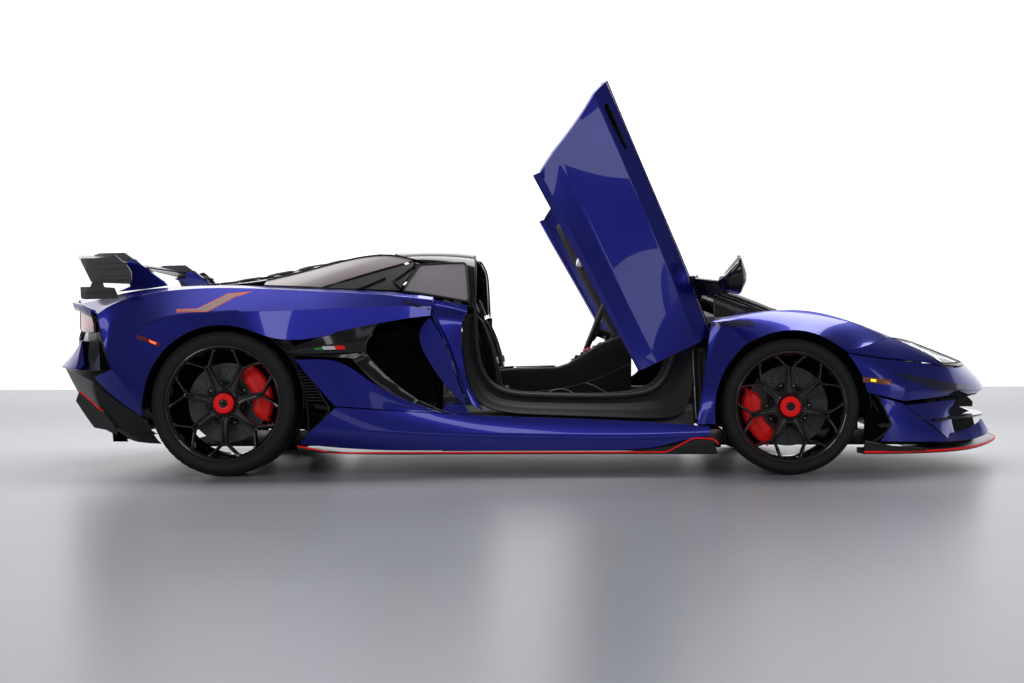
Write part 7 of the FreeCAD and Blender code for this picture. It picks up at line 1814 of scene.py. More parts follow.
    # hanging fin of the diffuser and its red line
    b = Bag()
    fin = [(-2089, 405), (-2106, 359), (-2062, 292), (-2016, 228), (-1900, 206), (-1941, 293), (-1992, 320), (-2040, 366)]
    V, F = side_poly(fin, 852, 862, s); b.put(V, F)
    V, F = side_poly([(-2060, 300), (-2016, 234), (-1908, 212), (-1920, 236), (-2008, 258), (-2044, 312)], 862, 866, s); b.put(V, F)
    b.make("diffuser_fin_" + t, CARB, slot="carbon_dark", rep="diffuser", bevel=1.2, seg=2)
    V, F = sweep(rounded([(-2089, s * 861, 407), (-2040, s * 861, 366), (-1992, s * 861, 321), (-1941, s * 861, 294)], 12, 5), rect(6.5, 5), (0, s, 0))
    add("diffuser_red_line_" + t, V, F, RED, slot="caliper_red", rep="diffuser", bevel=0.6, seg=1)
    # strakes under the tail
    b = Bag()
    for w in (140, 330, 520, 700):
        xr = -2330 + w * 0.30
        V, F = side_poly([(xr + 130, 318), (xr + 190, 225), (-1970, 150), (-1900, 150), (-1930, 168), (-2060, 235)], w - 4, w + 4, s); b.put(V, F)
    b.make("diffuser_strakes_" + t, CARB, slot="carbon_dark", rep="diffuser", bevel=1.2, seg=1)

# tail lip under the deck edge
half = [(-2316, 0, 864), (-2306, 150, 862), (-2284, 305, 857), (-2235, 460, 846), (-2186, 620, 836), (-2120, 740, 826), (-2060, 830, 806), (-2008, 892, 790)]
pth = [(x, -w, z) for x, w, z in half[:0:-1]] + [(x, w, z) for x, w, z in half]
V, F = sweep(resample(pth, 80), [(-10, -13), (12, -13), (14, 8), (4, 12), (-16, 10)], (0, 0, 1))
add("tail_lip", V, F, PAINT, slot="paint_blue", rep="tail_deck", bevel=1.6, seg=2)
pth2 = [(x - 2 if x < -2100 else x, y, z - 21) for x, y, z in pth]
V, F = sweep(resample(pth2, 80), [(-4, -6), (6, -6), (6, 6), (-4, 6)], (0, 0, 1))
add("tail_lip_shadow", V, F, BLACK, slot="gloss_black", rep="tail_deck", bevel=1.0, seg=1)
# tail mesh between the lamps
TT_ = bvh_of((np.array([[(p[0], p[1] * q, p[2]) for p in r] for q, r in [(-1, r) for r in TAIL] + [(1, r) for r in TAIL[-2::-1]]]), (1, 9), ()), s=1)


def back_on(V2, off):
    out = []
    for y, z, d in V2:
        h = TT_.ray_cast(Vector((-3200, y, z)), Vector((1, 0, 0)))
        x = h[0].x if h[0] is not None else -2200
        out.append((x - off - d, y, z))
    return np.array(out)


V, F = honeycomb(-600, 600, 648, 806, 25.0, 4.0, 2.0)
add("tail_mesh", back_on(V, 6.0), F, GRILLE, slot="gloss_black", rep="rear_bumper", smooth=False)
# sheet behind the mesh in near-black painted shade
ya, za = np.meshgrid(np.linspace(-604, 604, 60), np.linspace(644, 810, 8), indexing="ij")
A = back_on(np.stack([ya.ravel(), za.ravel(), np.zeros(ya.size)], 1), 2.5).reshape(60, 8, 3)
V, F = slab(A, A + np.array([2.0, 0, 0]))
add("tail_mesh_back", V, F, SHADE_BLACK, slot="gloss_black", rep="rear_bumper")
ring = [(-606, 644), (606, 644), (640, 700), (606, 810), (-606, 810), (-640, 700)]
V, F = sweep(back_on([(y, z, 0) for y, z in resample(rounded_loop(ring, 24, 5).tolist() + [rounded_loop(ring, 24, 5)[0].tolist()], 120)[:-1]], 6.0), rect(9, 7), (1, 0, 0), closed=True)
add("tail_mesh_frame", V, F, BLACK, slot="gloss_black", rep="rear_bumper", bevel=1.2, seg=1)
# plate recess, left blank
yy, zz = np.meshgrid(np.linspace(-260, 260, 30), np.linspace(540, 588, 6), indexing="ij")
A = back_on(np.stack([yy.ravel(), zz.ravel(), np.zeros(yy.size)], 1), 1.2).reshape(30, 6, 3)
V, F = slab(A, A + np.array([2.0, 0, 0]))
add("plate_recess", V, F, SATIN, slot="gloss_black", rep="rear_bumper", bevel=0.6, seg=1)
# exhaust: rolled tailpipe, inner cone, shroud and clamp ring
b = Bag()
for prof, n in (([(61.5, -64), (62, -6), (61, 0.5), (58.5, 1.5), (56.4, 0), (55.5, -8), (55.0, -64)], 64), ([(50, -20), (52, -18), (53, -62), (50, -62)], 48)):
    L, F = lathe(prof, n, closed=True)
    b.put(np.stack([-2351 - L[:, 2], L[:, 0], 648 + L[:, 1]], 1), F)
b.make("tailpipe", TITAN, slot="exhaust_metal", rep="exhaust", sharp=50)
# inner cone in near-black painted shade
L, F = lathe([(0.3, -44), (46, -40), (50, -36), (54, -36), (54, -48), (0.3, -50)], 48)
add("tailpipe_baffle", np.stack([-2351 - L[:, 2], L[:, 0], 648 + L[:, 1]], 1), F, SHADE_BLACK, slot="exhaust_metal", rep="exhaust")
L, F = lathe([(66, -60), (80, -56), (86, -48), (84, -44), (78, -50), (66, -54)], 56, closed=True)
add("tailpipe_shroud", np.stack([-2345 - L[:, 2] - 12, L[:, 0], 648 + L[:, 1]], 1), F, CARB, slot="exhaust_metal", rep="exhaust")

# engine cover: hexagon frames with panes, side rails with short ribs
ET = bvh_of((both_cols(ENGINE_COVER), (), ()), s=1)
b = Bag(); g = Bag()
for k in range(6):
    xc = -735 - k * 165
    hw = 255 + k * 10
    ring = []
    for y, x in ((-hw, xc + 8), (-hw * 0.62, xc + 62), (hw * 0.62, xc + 62), (hw, xc + 8), (hw * 0.62, xc - 62), (-hw * 0.62, xc - 62)):
        p, n = drop(max(-1725, x), y, ET, 3.5); ring.append(p)
    ring = rounded_loop(ring, 16, 4)
    V, F = sweep(ring, [(-7, -4), (7, -4), (5, 4), (-5, 4)], (0, 0, 1), closed=True); b.put(V, F)
    inner = rounded_loop([r for r in ring[::2]], 0, 2) if False else ring
    c = ring.mean(0)
    low = ring * 0.97 + c * 0.03
    V, F = extrude(low + np.array([0, 0, -1.0]), (0, 0, -2.5)); g.put(V, F)
b.make("cover_frames", CARB, "engine_cover", slot="carbon_dark", rep="engine_cover", bevel=0.8, seg=1)
g.make("cover_panes", GLASS2, "engine_cover", slot="glass", rep="engine_cover", smooth=False)
b = Bag()
for y in (-1, 1):
    pts = [drop(-660 - 1050 * f, y * (395 + 120 * math.sin(f * 2.2)), ET, 2.0)[0] for f in np.linspace(0, 1, 30)]
    V, F = sweep(pts, [(-12, -3), (12, -3), (7, 5), (-7, 5)], (0, 0, 1)); b.put(V, F)
    for k in range(9):
        x = -760 - k * 100
        pts = [drop(x - 20 * f, y * (425 + 105 * f + 30 * math.sin(k * 0.3)), ET, 1.0)[0] for f in np.linspace(0, 1, 6)]
        V, F = sweep(pts, [(-14, -2), (14, -2), (14, 1.5), (-10, 4)], (0, 0, 1)); b.put(V, F)
b.make("cover_rails", BLACK, "engine_cover", slot="gloss_black", rep="engine_cover", bevel=0.8, seg=1)
# buttress edges and the louvre panel slats
for s, t in ((1, "left"), (-1, "right")):
    LT = bvh_of((LOUVRE, (), ()), s=s)
    b = Bag()
    for ln in ([(-448, 1020), (-500, 980), (-556, 936), (-535, 915), (-512, 896)], [(-600, 952), (-680, 915), (-740, 893)]):
        p, n = lay(LT, resample(ln, 14), s, 2.0)
        V, F = sweep(p, [(-7, -3), (7, -3), (4, 5), (-5, 5)], (0, s, 0.4)); b.put(V, F)
    b.make("louvre_blade_" + t, BLACK, slot="gloss_black", rep="buttresses", bevel=0.8, seg=1)
    pt = curve([(r[-1][0], s * r[-1][1], r[-1][2] + 2) for r in BUTTRESS], 50)
    V, F = tube(pt, 4.0, 8)
    add("buttress_edge_" + t, V, F, SEAL, slot="gloss_black", rep="buttresses")
    pt = curve([(r[0][0], s * (r[0][1] - 2), r[0][2] + 3) for r in BUTTRESS], 50)
    V, F = tube(pt, 2.2, 8)
    add("buttress_foot_" + t, V, F, SEAL, slot="gloss_black", rep="buttresses")


# ------------------------------------------------------------------ cabin
LEATHER = mat("seat_leather", (0.020, 0.019, 0.020), rough=0.52, var=0.25, bump=0.5, bump_scale=1400, sheen=0.1)
SUEDE = mat("seat_suede", (0.026, 0.025, 0.027), rough=0.9, var=0.3, bump=0.5, bump_scale=2600, sheen=0.5)
STITCH = mat("stitch_light", (0.20, 0.19, 0.19), rough=0.7, var=0.2)
PIPING = mat("piping_beige", (0.58, 0.52, 0.36), rough=0.6, var=0.15)
CARPET = mat("carpet_black", (0.012, 0.012, 0.013), rough=0.95, var=0.4, bump=0.8, bump_scale=2200)
SCREEN = mat("display_black", (0.008, 0.009, 0.011), rough=0.06, coat=1.0)
WEBBING = mat("belt_webbing", (0.016, 0.016, 0.017), rough=0.8, var=0.3, bump=0.5, bump_scale=1800)
SHELLM = mat("seat_shell", (0.010, 0.010, 0.011), rough=0.25, coat=0.6)


def pillow(G, N, t_edge, t_mid, ex=0.5, seamu=(), seamv=(), depth=4.0):
    """Closed cushion from a face grid: full in the middle, drawn in at the seams and the rim."""
    nu, nv = G.shape[:2]
    u = np.linspace(0, 1, nu)[:, None]; v = np.linspace(0, 1, nv)[None, :]
    e = np.clip(np.minimum(np.minimum(u, 1 - u) / 0.16, np.minimum(v, 1 - v) / 0.16), 0, 1) ** ex
    h = t_edge + (t_mid - t_edge) * e
    for a in seamu:
        h = h - depth * np.exp(-((u - a) / 0.024) ** 2) * e
    for a in seamv:
        h = h - depth * np.exp(-((v - a) / 0.028) ** 2) * e
    return slab(G + N * h[..., None], G - N * 6.0 * np.ones_like(h)[..., None]), h


def seat_parts(s, t):
    y0 = 352.0
    node = "seat_" + t
    yv = lambda y: s * (y0 + y)
    sd = lambda rows: np.array([[(x, yv(y), z) for x, y, z in r] for r in rows], float)
    # carbon shell: base pan and back with side wings
    SB = sd([[(428, -186, 270), (428, -120, 214), (428, 0, 208), (428, 120, 214), (428, 186, 270)],
             [(250, -204, 280), (250, -150, 186), (250, 0, 174), (250, 150, 186), (250, 204, 280)],
             [(60, -206, 276), (60, -160, 170), (60, 0, 158), (60, 160, 170), (60, 206, 276)],
             [(-70, -200, 272), (-70, -150, 176), (-80, 0, 166), (-70, 150, 176), (-70, 200, 272)]])
    P = surf(SB, 34, 34)
    n = grid_normals(P); n = n if n[..., 2].mean() < 0 else -n
    V, F = slab(P, P + n * 5)
    add("seat_pan_" + t, V, F, SHELLM, slot="seat_leather", rep=node, bevel=1.2, seg=1)
    BK = sd([[(-92, -202, 280), (-150, -150, 268), (-162, 0, 262), (-150, 150, 268), (-92, 202, 280)],
             [(-104, -206, 450), (-178, -160, 450), (-196, 0, 450), (-178, 160, 450), (-104, 206, 450)],
             [(-142, -192, 660), (-212, -150, 668), (-228, 0, 668), (-212, 150, 668), (-142, 192, 660)],
             [(-178, -130, 800), (-236, -100, 806), (-250, 0, 808), (-236, 100, 806), (-178, 130, 800)],
             [(-192, -96, 876), (-252, -74, 880), (-262, 0, 884), (-252, 74, 880), (-192, 96, 876)]])
    P = surf(BK, 46, 34)
    n = grid_normals(P); n = n if n[..., 0].mean() < 0 else -n
    V, F = slab(P, P + n * 5)
    add("seat_shell_" + t, V, F, SHELLM, slot="seat_leather", rep=node, bevel=1.2, seg=1)
    # thigh cushion with side bolsters
    FB = sd([[(424, -188, 306), (424, -122, 286), (428, 0, 282), (424, 122, 286), (424, 188, 306)],
             [(260, -204, 322), (260, -136, 272), (260, 0, 264), (260, 136, 272), (260, 204, 322)],
             [(80, -206, 318), (80, -136, 258), (80, 0, 250), (80, 136, 258), (80, 206, 318)],
             [(-58, -200, 318), (-58, -132, 262), (-60, 0, 256), (-58, 132, 262), (-58, 200, 318)]])
    P = surf(FB, 38, 36)
    n = grid_normals(P); n = n if n[..., 2].mean() > 0 else -n
    (V, F), h = pillow(P, n, 1.0, 15.0, 0.5, (0.33, 0.60, 0.84), (0.26, 0.74), 5.0)
    base = add("seat_cushion_" + t, V, F, LEATHER, slot="seat_leather", rep=node, subsurf=1)
    top = P + n * (h[..., None] + 0.6)
    st = Bag()
    for c in (0.235, 0.765):
        j = int(c * 35)
        V, F = tube(top[3:-3, j], 0.9, 5, up=(0, 1, 0.1)); st.put(V, F)
    # back cushion with bolsters
    BF = sd([[(-56, -194, 300), (-112, -122, 292), (-120, 0, 288), (-112, 122, 292), (-56, 194, 300)],
             [(-40, -202, 450), (-124, -130, 450), (-140, 0, 450), (-124, 130, 450), (-40, 202, 450)],
             [(-72, -188, 640), (-164, -120, 650), (-178, 0, 652), (-164, 120, 650), (-72, 188, 640)],
             [(-150, -122, 760), (-204, -84, 772), (-212, 0, 774), (-204, 84, 772), (-150, 122, 760)]])
    P = surf(BF, 40, 36)
    n = grid_normals(P); n = n if n[..., 0].mean() > 0 else -n
    (V, F), h = pillow(P, n, 1.0, 15.0, 0.5, (0.22, 0.44, 0.66, 0.84), (0.26, 0.74), 5.0)
    back = add("seat_backrest_" + t, V, F, LEATHER, slot="seat_leather", rep=node, subsurf=1)
    top = P + n * (h[..., None] + 0.6)
    for c in (0.235, 0.765):
        j = int(c * 35)
        V, F = tube(top[3:-3, j], 0.9, 5, up=(0, 1, 0.1)); st.put(V, F)
    for j in (6, 29):
        pts = top[3:-3, j]
        for k in range(0, len(pts) - 1, 1):
            a_, b_ = pts[k], pts[k + 1]
            V, F = tube([a_ + (b_ - a_) * 0.12 - n[k + 3, j] * 1.2, a_ + (b_ - a_) * 0.75 - n[k + 3, j] * 1.2], 1.0, 5, up=(0, 1, 0.1)); st.put(V, F)
    st.make("seat_stitching_" + t, STITCH, slot="seat_leather", rep=node)
    # headrest pad
    HR = sd([[(-158, -98, 786), (-194, -60, 790), (-200, 0, 792), (-194, 60, 790), (-158, 98, 786)],
             [(-170, -92, 830), (-208, -56, 836), (-214, 0, 836), (-208, 56, 836), (-170, 92, 830)],
             [(-190, -78, 874), (-224, -48, 878), (-230, 0, 880), (-224, 48, 878), (-190, 78, 874)]])
    P = surf(HR, 20, 24)
    n = grid_normals(P); n = n if n[..., 0].mean() > 0 else -n
    (V, F), h = pillow(P, n, 1.0, 13.0, 0.6, (), (), 0.0)
    hd = add("seat_headrest_" + t, V, F, SUEDE, slot="seat_leather", rep=node, subsurf=1)
    # rails, belt, buckle
    b = Bag()
    for y in (-150, 150):
        V, F = extrude([(330, yv(y - 12), 150), (330, yv(y + 12), 150), (-40, yv(y + 12), 150), (-40, yv(y - 12), 150)], (0, 0, 16)); b.put(V, F)
        for x in (280, 20):
            V, F = extrude([(x, yv(y - 8), 164), (x + 34, yv(y - 8), 164), (x + 34, yv(y + 8), 164), (x, yv(y + 8), 164)], (0, 0, 20)); b.put(V, F)
    b.make("seat_rails_" + t, SATIN, slot="suspension_metal", rep=node, bevel=1.5, seg=1)
    b = Bag()
    V, F = sweep(curve([(-176, yv(150), 792), (-120, yv(128), 730), (-66, yv(112), 560), (-36, yv(122), 420), (-22, yv(168), 342)], 40), rect(44, 1.6), (1, 0, 0.5)); b.put(V, F)
    b.make("seat_belt_" + t, WEBBING, slot="cabin_dark", rep=node, bevel=0.4, seg=1)
    b = Bag()
    V, F = extrude(rounded_loop([(-70, yv(106), 560), (-64, yv(106), 524), (-64, yv(136), 524), (-70, yv(136), 560)], 4, 4), (10, 0, 2)); b.put(V, F)
    V, F = extrude(rounded_loop([(-44, yv(-176), 352), (-10, yv(-176), 352), (-10, yv(-190), 352), (-44, yv(-190), 352)], 4, 4), (0, 0, 52)); b.put(V, F)
    b.make("seat_buckle_" + t, STEEL, slot="cabin_dark", rep=node, bevel=1.2, seg=2)


for s, t in ((1, "left"), (-1, "right")):
    seat_parts(s, t)

# centre console: tunnel, sloping panel with switches, lid, armrest and piping
def ring_c(x, w, z, wl, zt, k=0.0):
    return rounded_loop([(x + k, -wl, 152), (x + k, wl, 152), (x + 4, w + 4, zt - 46), (x, w - 2, zt), (x, -w + 2, zt), (x + 4, -w - 4, zt - 46)], [2, 2, 16, 18, 18, 16], 5)


secs = [ring_c(-298, 100, 470, 116, 468), ring_c(-150, 100, 480, 117, 484), ring_c(0, 99, 498, 117, 496), ring_c(130, 99, 500, 118, 499),
        ring_c(250, 101, 505, 119, 503), ring_c(300, 106, 530, 120, 520), ring_c(390, 113, 580, 121, 574), ring_c(462, 119, 630, 122, 622), ring_c(560, 124, 660, 126, 662), ring_c(636, 128, 698, 128, 694)]
V, F = loft(np.array(secs))
add("console_body", V, F, FRAME_M, slot="cabin_dark", rep="centre_console", sharp=38)
b = Bag()
V, F = extrude(rounded_loop([(318, -92, 536), (318, 92, 536), (600, 104, 684), (600, -104, 684)], 14, 5), (-2.5, 0, 4.5)); b.put(V, F)
b.make("console_panel", CARB, slot="cabin_dark", rep="centre_console", bevel=1.0, seg=1)
b = Bag(); b2 = Bag()
for i, x in enumerate((340, 372, 404, 436, 468)):
    z = 536 + (x - 318) * 0.5248 + 6
    for y in ((-70, -35, 0, 35, 70) if i % 2 == 0 else (-52, -17, 17, 52)):
        V, F = extrude(rounded_loop([(x, y - 11, z), (x, y + 11, z), (x + 15, y + 11, z + 7.9), (x + 15, y - 11, z + 7.9)], 3, 3), (-3.5, 0, 6.5))
        (b if (i + int(abs(y) / 17)) % 3 else b2).put(V, F)
for y in (-66, -22, 22, 66):
    V, F = tube([(508, y, 641), (502, y, 656), (505, y, 666)], 3.4, 10, up=(0, 1, 0)); b2.put(V, F)
L, F = lathe([(0.3, 12), (16, 11), (18, 8), (18, 0), (0.3, 0)], 28)
th = math.radians(27.7)
for y, x in ((-40, 555), (40, 555)):
    z = 536 + (x - 318) * 0.5248 + 4
    b.put(np.stack([x + L[:, 0] * math.cos(th) - L[:, 2] * math.sin(th), y + L[:, 1], z + L[:, 0] * math.sin(th) + L[:, 2] * math.cos(th)], 1), F)
b.make("console_keys", BLACK, slot="cabin_dark", rep="centre_console", bevel=0.8, seg=1)
b2.make("console_toggles", STEEL, slot="cabin_dark", rep="centre_console", bevel=0.6, seg=1)
V, F = extrude(rounded_loop([(392, -18, 577), (392, 18, 577), (430, 18, 597), (430, -18, 597)], 6, 4), (-7, 0, 13))
add("start_cover", V, F, RED, slot="cabin_dark", rep="centre_console", bevel=1.5, seg=2)
b = Bag()
V, F = extrude(rounded_loop([(20, -70, 500), (20, 70, 500), (232, 74, 504), (232, -74, 504)], 16, 5), (0, 0, 5)); b.put(V, F)
b.make("console_lid", LEATHER, slot="cabin_dark", rep="centre_console", bevel=1.8, seg=2)
V, F = sweep(rounded([(-240, 0, 484), (-60, 0, 497), (10, 0, 503)], 30, 6), rect(120, 9), (0, 0, 1))
add("console_armrest", V, F, LEATHER, slot="cabin_dark", rep="centre_console", bevel=3.5, seg=2)
b = Bag()
for s in (1, -1):
    pts = [(-280, s * 121, 330), (-60, s * 122, 352), (150, s * 122.5, 372), (320, s * 123, 392), (470, s * 124, 440), (630, s * 131, 520)]
    V, F = tube(curve(pts, 50), 1.8, 6); b.put(V, F)
b.make("console_piping", STITCH, slot="seat_leather", rep="centre_console")
# footwell carpets with light piping
b = Bag(); c = Bag()
for s in (1, -1):
    mt = rounded_loop([(440, s * 150, 147), (440, s * 540, 147), (800, s * 540, 147), (990, s * 520, 147), (990, s * 170, 147)], 34, 6)
    V, F = extrude(mt, (0, 0, 9)); b.put(V, F)
    V, F = sweep(mt + np.array([0, 0, 8]), circle(4.0, 6), (0, 0, 1), closed=True); c.put(V, F)
    for pts in ([(396, 170, 418), (433, 170, 407), (518, 170, 359), (602, 170, 342), (692, 170, 345), (735, 170, 395), (772, 170, 397)],
                [(189, 160, 366), (232, 160, 384), (274, 160, 388), (310, 160, 376), (338, 160, 359)]):
        V, F = tube(rounded([(x, s * w, z) for x, w, z in pts], 30, 5), 2.0, 8, up=(0, 1, 0.1)); c.put(V, F)
b.make("floor_mats", CARPET, slot="cabin_dark", rep="floor_panels", bevel=2.0, seg=1)
c.make("carpet_piping", PIPING, slot="seat_leather", rep="centre_console")
b = Bag()
for s in (1, -1):
    G = surf(np.array([[(160, s * 132, 150), (170, s * 140, 300), (200, s * 150, 364)], [(480, s * 134, 150), (480, s * 150, 280), (520, s * 158, 352)],
                       [(780, s * 136, 150), (780, s * 158, 290), (770, s * 160, 392)]], float), 26, 12)
    V, F = slab(G, G + np.array([0, s * 8.0, 0])); b.put(V, F)
b.make("tunnel_carpet", CARPET, slot="cabin_dark", rep="centre_console", bevel=1.0, seg=1)
# floor: pressed panels with ribs
b = Bag()
for x0, x1, w, z in ((-318, 1050, 688, 112), (-1690, -358, 560, 114), (1052, 1985, 540, 114)):
    nx, ny = int((x1 - x0) / 22), int(2 * w / 44)
    X_, Y_ = np.meshgrid(np.linspace(x0, x1, nx), np.linspace(-w, w, ny), indexing="ij")
    Z_ = z + 3.0 * (np.clip(np.sin(X_ / 36.0) * 2.2, -1, 1)) * (np.abs(Y_) < w - 60)
    G = np.stack([X_, Y_, Z_], -1)
    V, F = slab(G + np.array([0, 0, 14 if x0 != -318 else 26]), G); b.put(V, F)
b.make("floor_pressings", SATIN, slot="carbon_dark", rep="floor_panels", sharp=40)
# sill beams with rounded edges
b = Bag()
for s in (1, -1):
    sec = rounded_loop([(692, 112), (900, 112), (905, 235), (872, 300), (800, 334), (792, 376), (572, 378), (572, 150), (692, 150)], [6, 8, 14, 14, 10, 14, 14, 6, 6], 4)
    V, F = loft(np.array([[(x, s * w, z) for w, z in sec] for x in (-316, -100, 200, 600, 898)])); b.put(V, F)
b.make("sill_covers", TRIM, slot="cabin_dark", rep="sill_beams", sharp=30)
# bulkhead behind the seats: padded panel with seams, and the ribbed firewall
b = Bag()
for z in range(0, 1):
    ya, za = np.meshgrid(np.linspace(-690, 690, 90), np.linspace(150, 852, 48), indexing="ij")
    hx = 7 + 6 * np.cos(np.clip(np.abs(ya) / 130 % 1 * 2 * math.pi, 0, 2 * math.pi)) * 0.5 * (np.abs(ya) < 660) + 2.0 * np.sin(za / 28.0) * (np.abs(ya) < 500)
    G = np.stack([-326 + hx, ya, za], -1)
    V, F = slab(G, G * np.array([0, 1, 1]) + np.array([-350, 0, 0])); b.put(V, F)
b.make("rear_bulkhead_trim", SUEDE, slot="cabin_dark", rep="bulkheads")
b = Bag()
ya, za = np.meshgrid(np.linspace(-598, 598, 60), np.linspace(152, 688, 30), indexing="ij")
G = np.stack([1166 + 4 * np.cos(ya / 40.0) * (np.abs(ya) < 560), ya, za], -1)
V, F = slab(G, G * np.array([0, 1, 1]) + np.array([1184, 0, 0])); b.put(V, F)
b.make("firewall_panel", SATIN, slot="cabin_dark", rep="bulkheads")
# dashboard: hooded shelf, vents, displays
for s, t in ((1, "left"), (-1, "right")):
    secs = []
    for y, xr, zt, zb in ((133, 648, 764, 524), (240, 650, 776, 552), (360, 652, 774, 562), (470, 676, 768, 562), (560, 698, 752, 562), (688, 762, 733, 546)):
        xf = 1148 if y < 620 else 938
        secs.append(rounded_loop([(xr + 26, s * y, zb), (xr, s * y, zt - 96), (xr + 6, s * y, zt - 22), (xr + 44, s * y, zt), (xf, s * y, zt - 14), (xf, s * y, zb + 4)], [16, 26, 14, 22, 8, 8], 5))
    V, F = loft(np.array(secs))
    add("dash_shelf_" + t, V, F, LEATHER, slot="cabin_dark", rep="dashboard", sharp=50)
    b = Bag()
    for y in (190, 520):
        ring = rounded_loop([(646, s * (y - 44), 700), (646, s * (y - 22), 738), (646, s * (y + 22), 738), (646, s * (y + 44), 700), (646, s * (y + 22), 664), (646, s * (y - 22), 664)], 6, 3)
        ring[:, 0] += 26 * (abs(y) > 400) * 1.0
        V, F = sweep(ring, rect(7, 8), (1, 0, 0), closed=True); b.put(V, F)
        for k in range(5):
            z = 674 + k * 13
            V, F = extrude([(652 + 26 * (y > 400), s * (y - 30), z), (652 + 26 * (y > 400), s * (y + 30), z), (668 + 26 * (y > 400), s * (y + 30), z + 3), (668 + 26 * (y > 400), s * (y - 30), z + 3)], (0, 0, 2.0)); b.put(V, F)
    b.make("dash_vents_" + t, BLACK, slot="cabin_dark", rep="dashboard", bevel=0.5, seg=1)
# instrument hood and display on the driver's side
secs = []
for y in np.linspace(236, 504, 12):
    k = math.sin(math.pi * (y - 236) / 268.0) ** 0.5 if 236 < y < 504 else 0.02
    secs.append([(640, y, 766 + 14 * k), (642, y, 772 + 20 * k), (760, y, 774 + 8 * k), (760, y, 762)])
V, F = loft(np.array(secs))
add("instrument_hood", V, F, LEATHER, slot="cabin_dark", rep="dashboard", bevel=1.5, seg=1, angle=40)
V, F = extrude(rounded_loop([(640, 256, 668), (640, 484, 668), (643, 492, 752), (643, 248, 752)], 12, 5), (8, 0, 0))
add("instrument_display", V, F, SCREEN, slot="glass", rep="dashboard", bevel=1.2, seg=1)
V, F = extrude(rounded_loop([(646, -134, 560), (646, 134, 560), (640, 126, 742), (640, -126, 742)], 14, 5), (40, 0, 0))
add("centre_stack", V, F, CARB, slot="cabin_dark", rep="dashboard", bevel=2.5, seg=2)
V, F = extrude(rounded_loop([(643, -104, 640), (643, 104, 640), (638.5, 104, 732), (638.5, -104, 732)], 8, 4), (5, 0, 0))
add("centre_display", V, F, SCREEN, slot="glass", rep="dashboard", bevel=1.0, seg=1)

# steering wheel: flat-bottomed rim, three spokes, boss, paddles; turns with its column
A = math.radians(-68)
def swp(P):
    P = np.asarray(P, float).reshape(-1, 3)
    x, y, z = P[:, 0], P[:, 1], P[:, 2]
    return np.stack([452 + x * math.cos(A) + z * math.sin(A), 370 + y, 700 - x * math.sin(A) + z * math.cos(A)], 1)


th = np.linspace(0, 2 * math.pi, 96, endpoint=False)
rad = np.full(96, 176.0)
xr_, yr_ = 176 * np.cos(th), 176 * np.sin(th)
# the rim's lower edge is the -x side of the wheel plane
flat = -150.0
xr_ = np.where(xr_ < flat, flat + (xr_ - flat) * 0.25, xr_)
sc = 1.0 + 0.10 * np.cos(th * 2 + math.pi) + 0.05 * np.cos(6 * th)
V, F = sweep(np.stack([xr_, yr_, np.zeros(96)], 1), circle(15.0, 14, 0.86), (0, 0, 1), closed=True, scale=sc)
add("wheel_rim_grip", swp(V), F, SUEDE, "steering_wheel", slot="seat_leather", rep="steering_wheel")
b = Bag()
for a0 in (0, 120, 240):
    a_ = math.radians(a0 + 180)
    d = np.array([math.cos(a_), math.sin(a_), 0]); q = np.array([-math.sin(a_), math.cos(a_), 0])
    end = 150 if a0 == 0 else 168
    for off in ((-13, 13) if a0 else (-9, 9)):
        V, F = sweep(curve([d * 40 + q * off * 0.6 + np.array([0, 0, -4]), d * 90 + q * off + np.array([0, 0, -6]), d * 130 + q * off * 1.1 + np.array([0, 0, -3]), d * end + q * off * 1.3], 14), rect(12, 9), (0, 0, 1)); b.put(swp(V), F)
b.make("wheel_spokes", SATIN, "steering_wheel", slot="cabin_dark", rep="steering_wheel", bevel=1.6, seg=1)
L, F = lathe([(0.3, 15), (30, 14.5), (48, 11), (58, 4), (61, -6), (58, -22), (40, -29), (0.3, -29)], 48)
add("wheel_boss", swp(L), F, LEATHER, "steering_wheel", slot="seat_leather", rep="steering_wheel", sharp=60)
L, F = lathe([(0.3, -28), (25, -28), (26, -34), (24, -60), (26, -66), (25, -194), (0.3, -194)], 32)
add("wheel_column", swp(L), F, SATIN, "steering_wheel", slot="suspension_metal", rep="steering_wheel")
b = Bag()
for q in (-1, 1):
    V, F = extrude(rounded_loop([(18, q * 74, -22), (52, q * 84, -22), (84, q * 118, -22), (66, q * 128, -22), (10, q * 104, -22), (-22, q * 84, -22)], 8, 4), (0, 0, -3.5)); b.put(swp(V), F)
b.make("shift_paddles", CARB, "steering_wheel", slot="cabin_dark", rep="steering_wheel", bevel=0.8, seg=1)
# pedals under the driver's side of the dash
b = Bag()
for y, z, w_, h_ in ((300, 290, 34, 92), (400, 300, 30, 60)):
    V, F = extrude(rounded_loop([(900, y - w_, z), (900, y + w_, z), (918, y + w_, z + h_), (918, y - w_, z + h_)], 8, 4), (-6, 0, 1)); b.put(V, F)
    V, F = tube([(915, y, z + h_ * 0.7), (960, y, z + h_ + 90), (1010, y, z + h_ + 170)], 7, 8, up=(0, 1, 0)); b.put(V, F)
b.make("pedals", STEEL, slot="cabin_dark", rep="dashboard", bevel=1.0, seg=1)

# luggage tub: rounded shell with a carpet and a rim seal
def tub_ring(x0, x1, w, z, r):
    return rounded_loop([(x0, -w, z), (x1, -w, z), (x1, w, z), (x0, w, z)], r, 7)


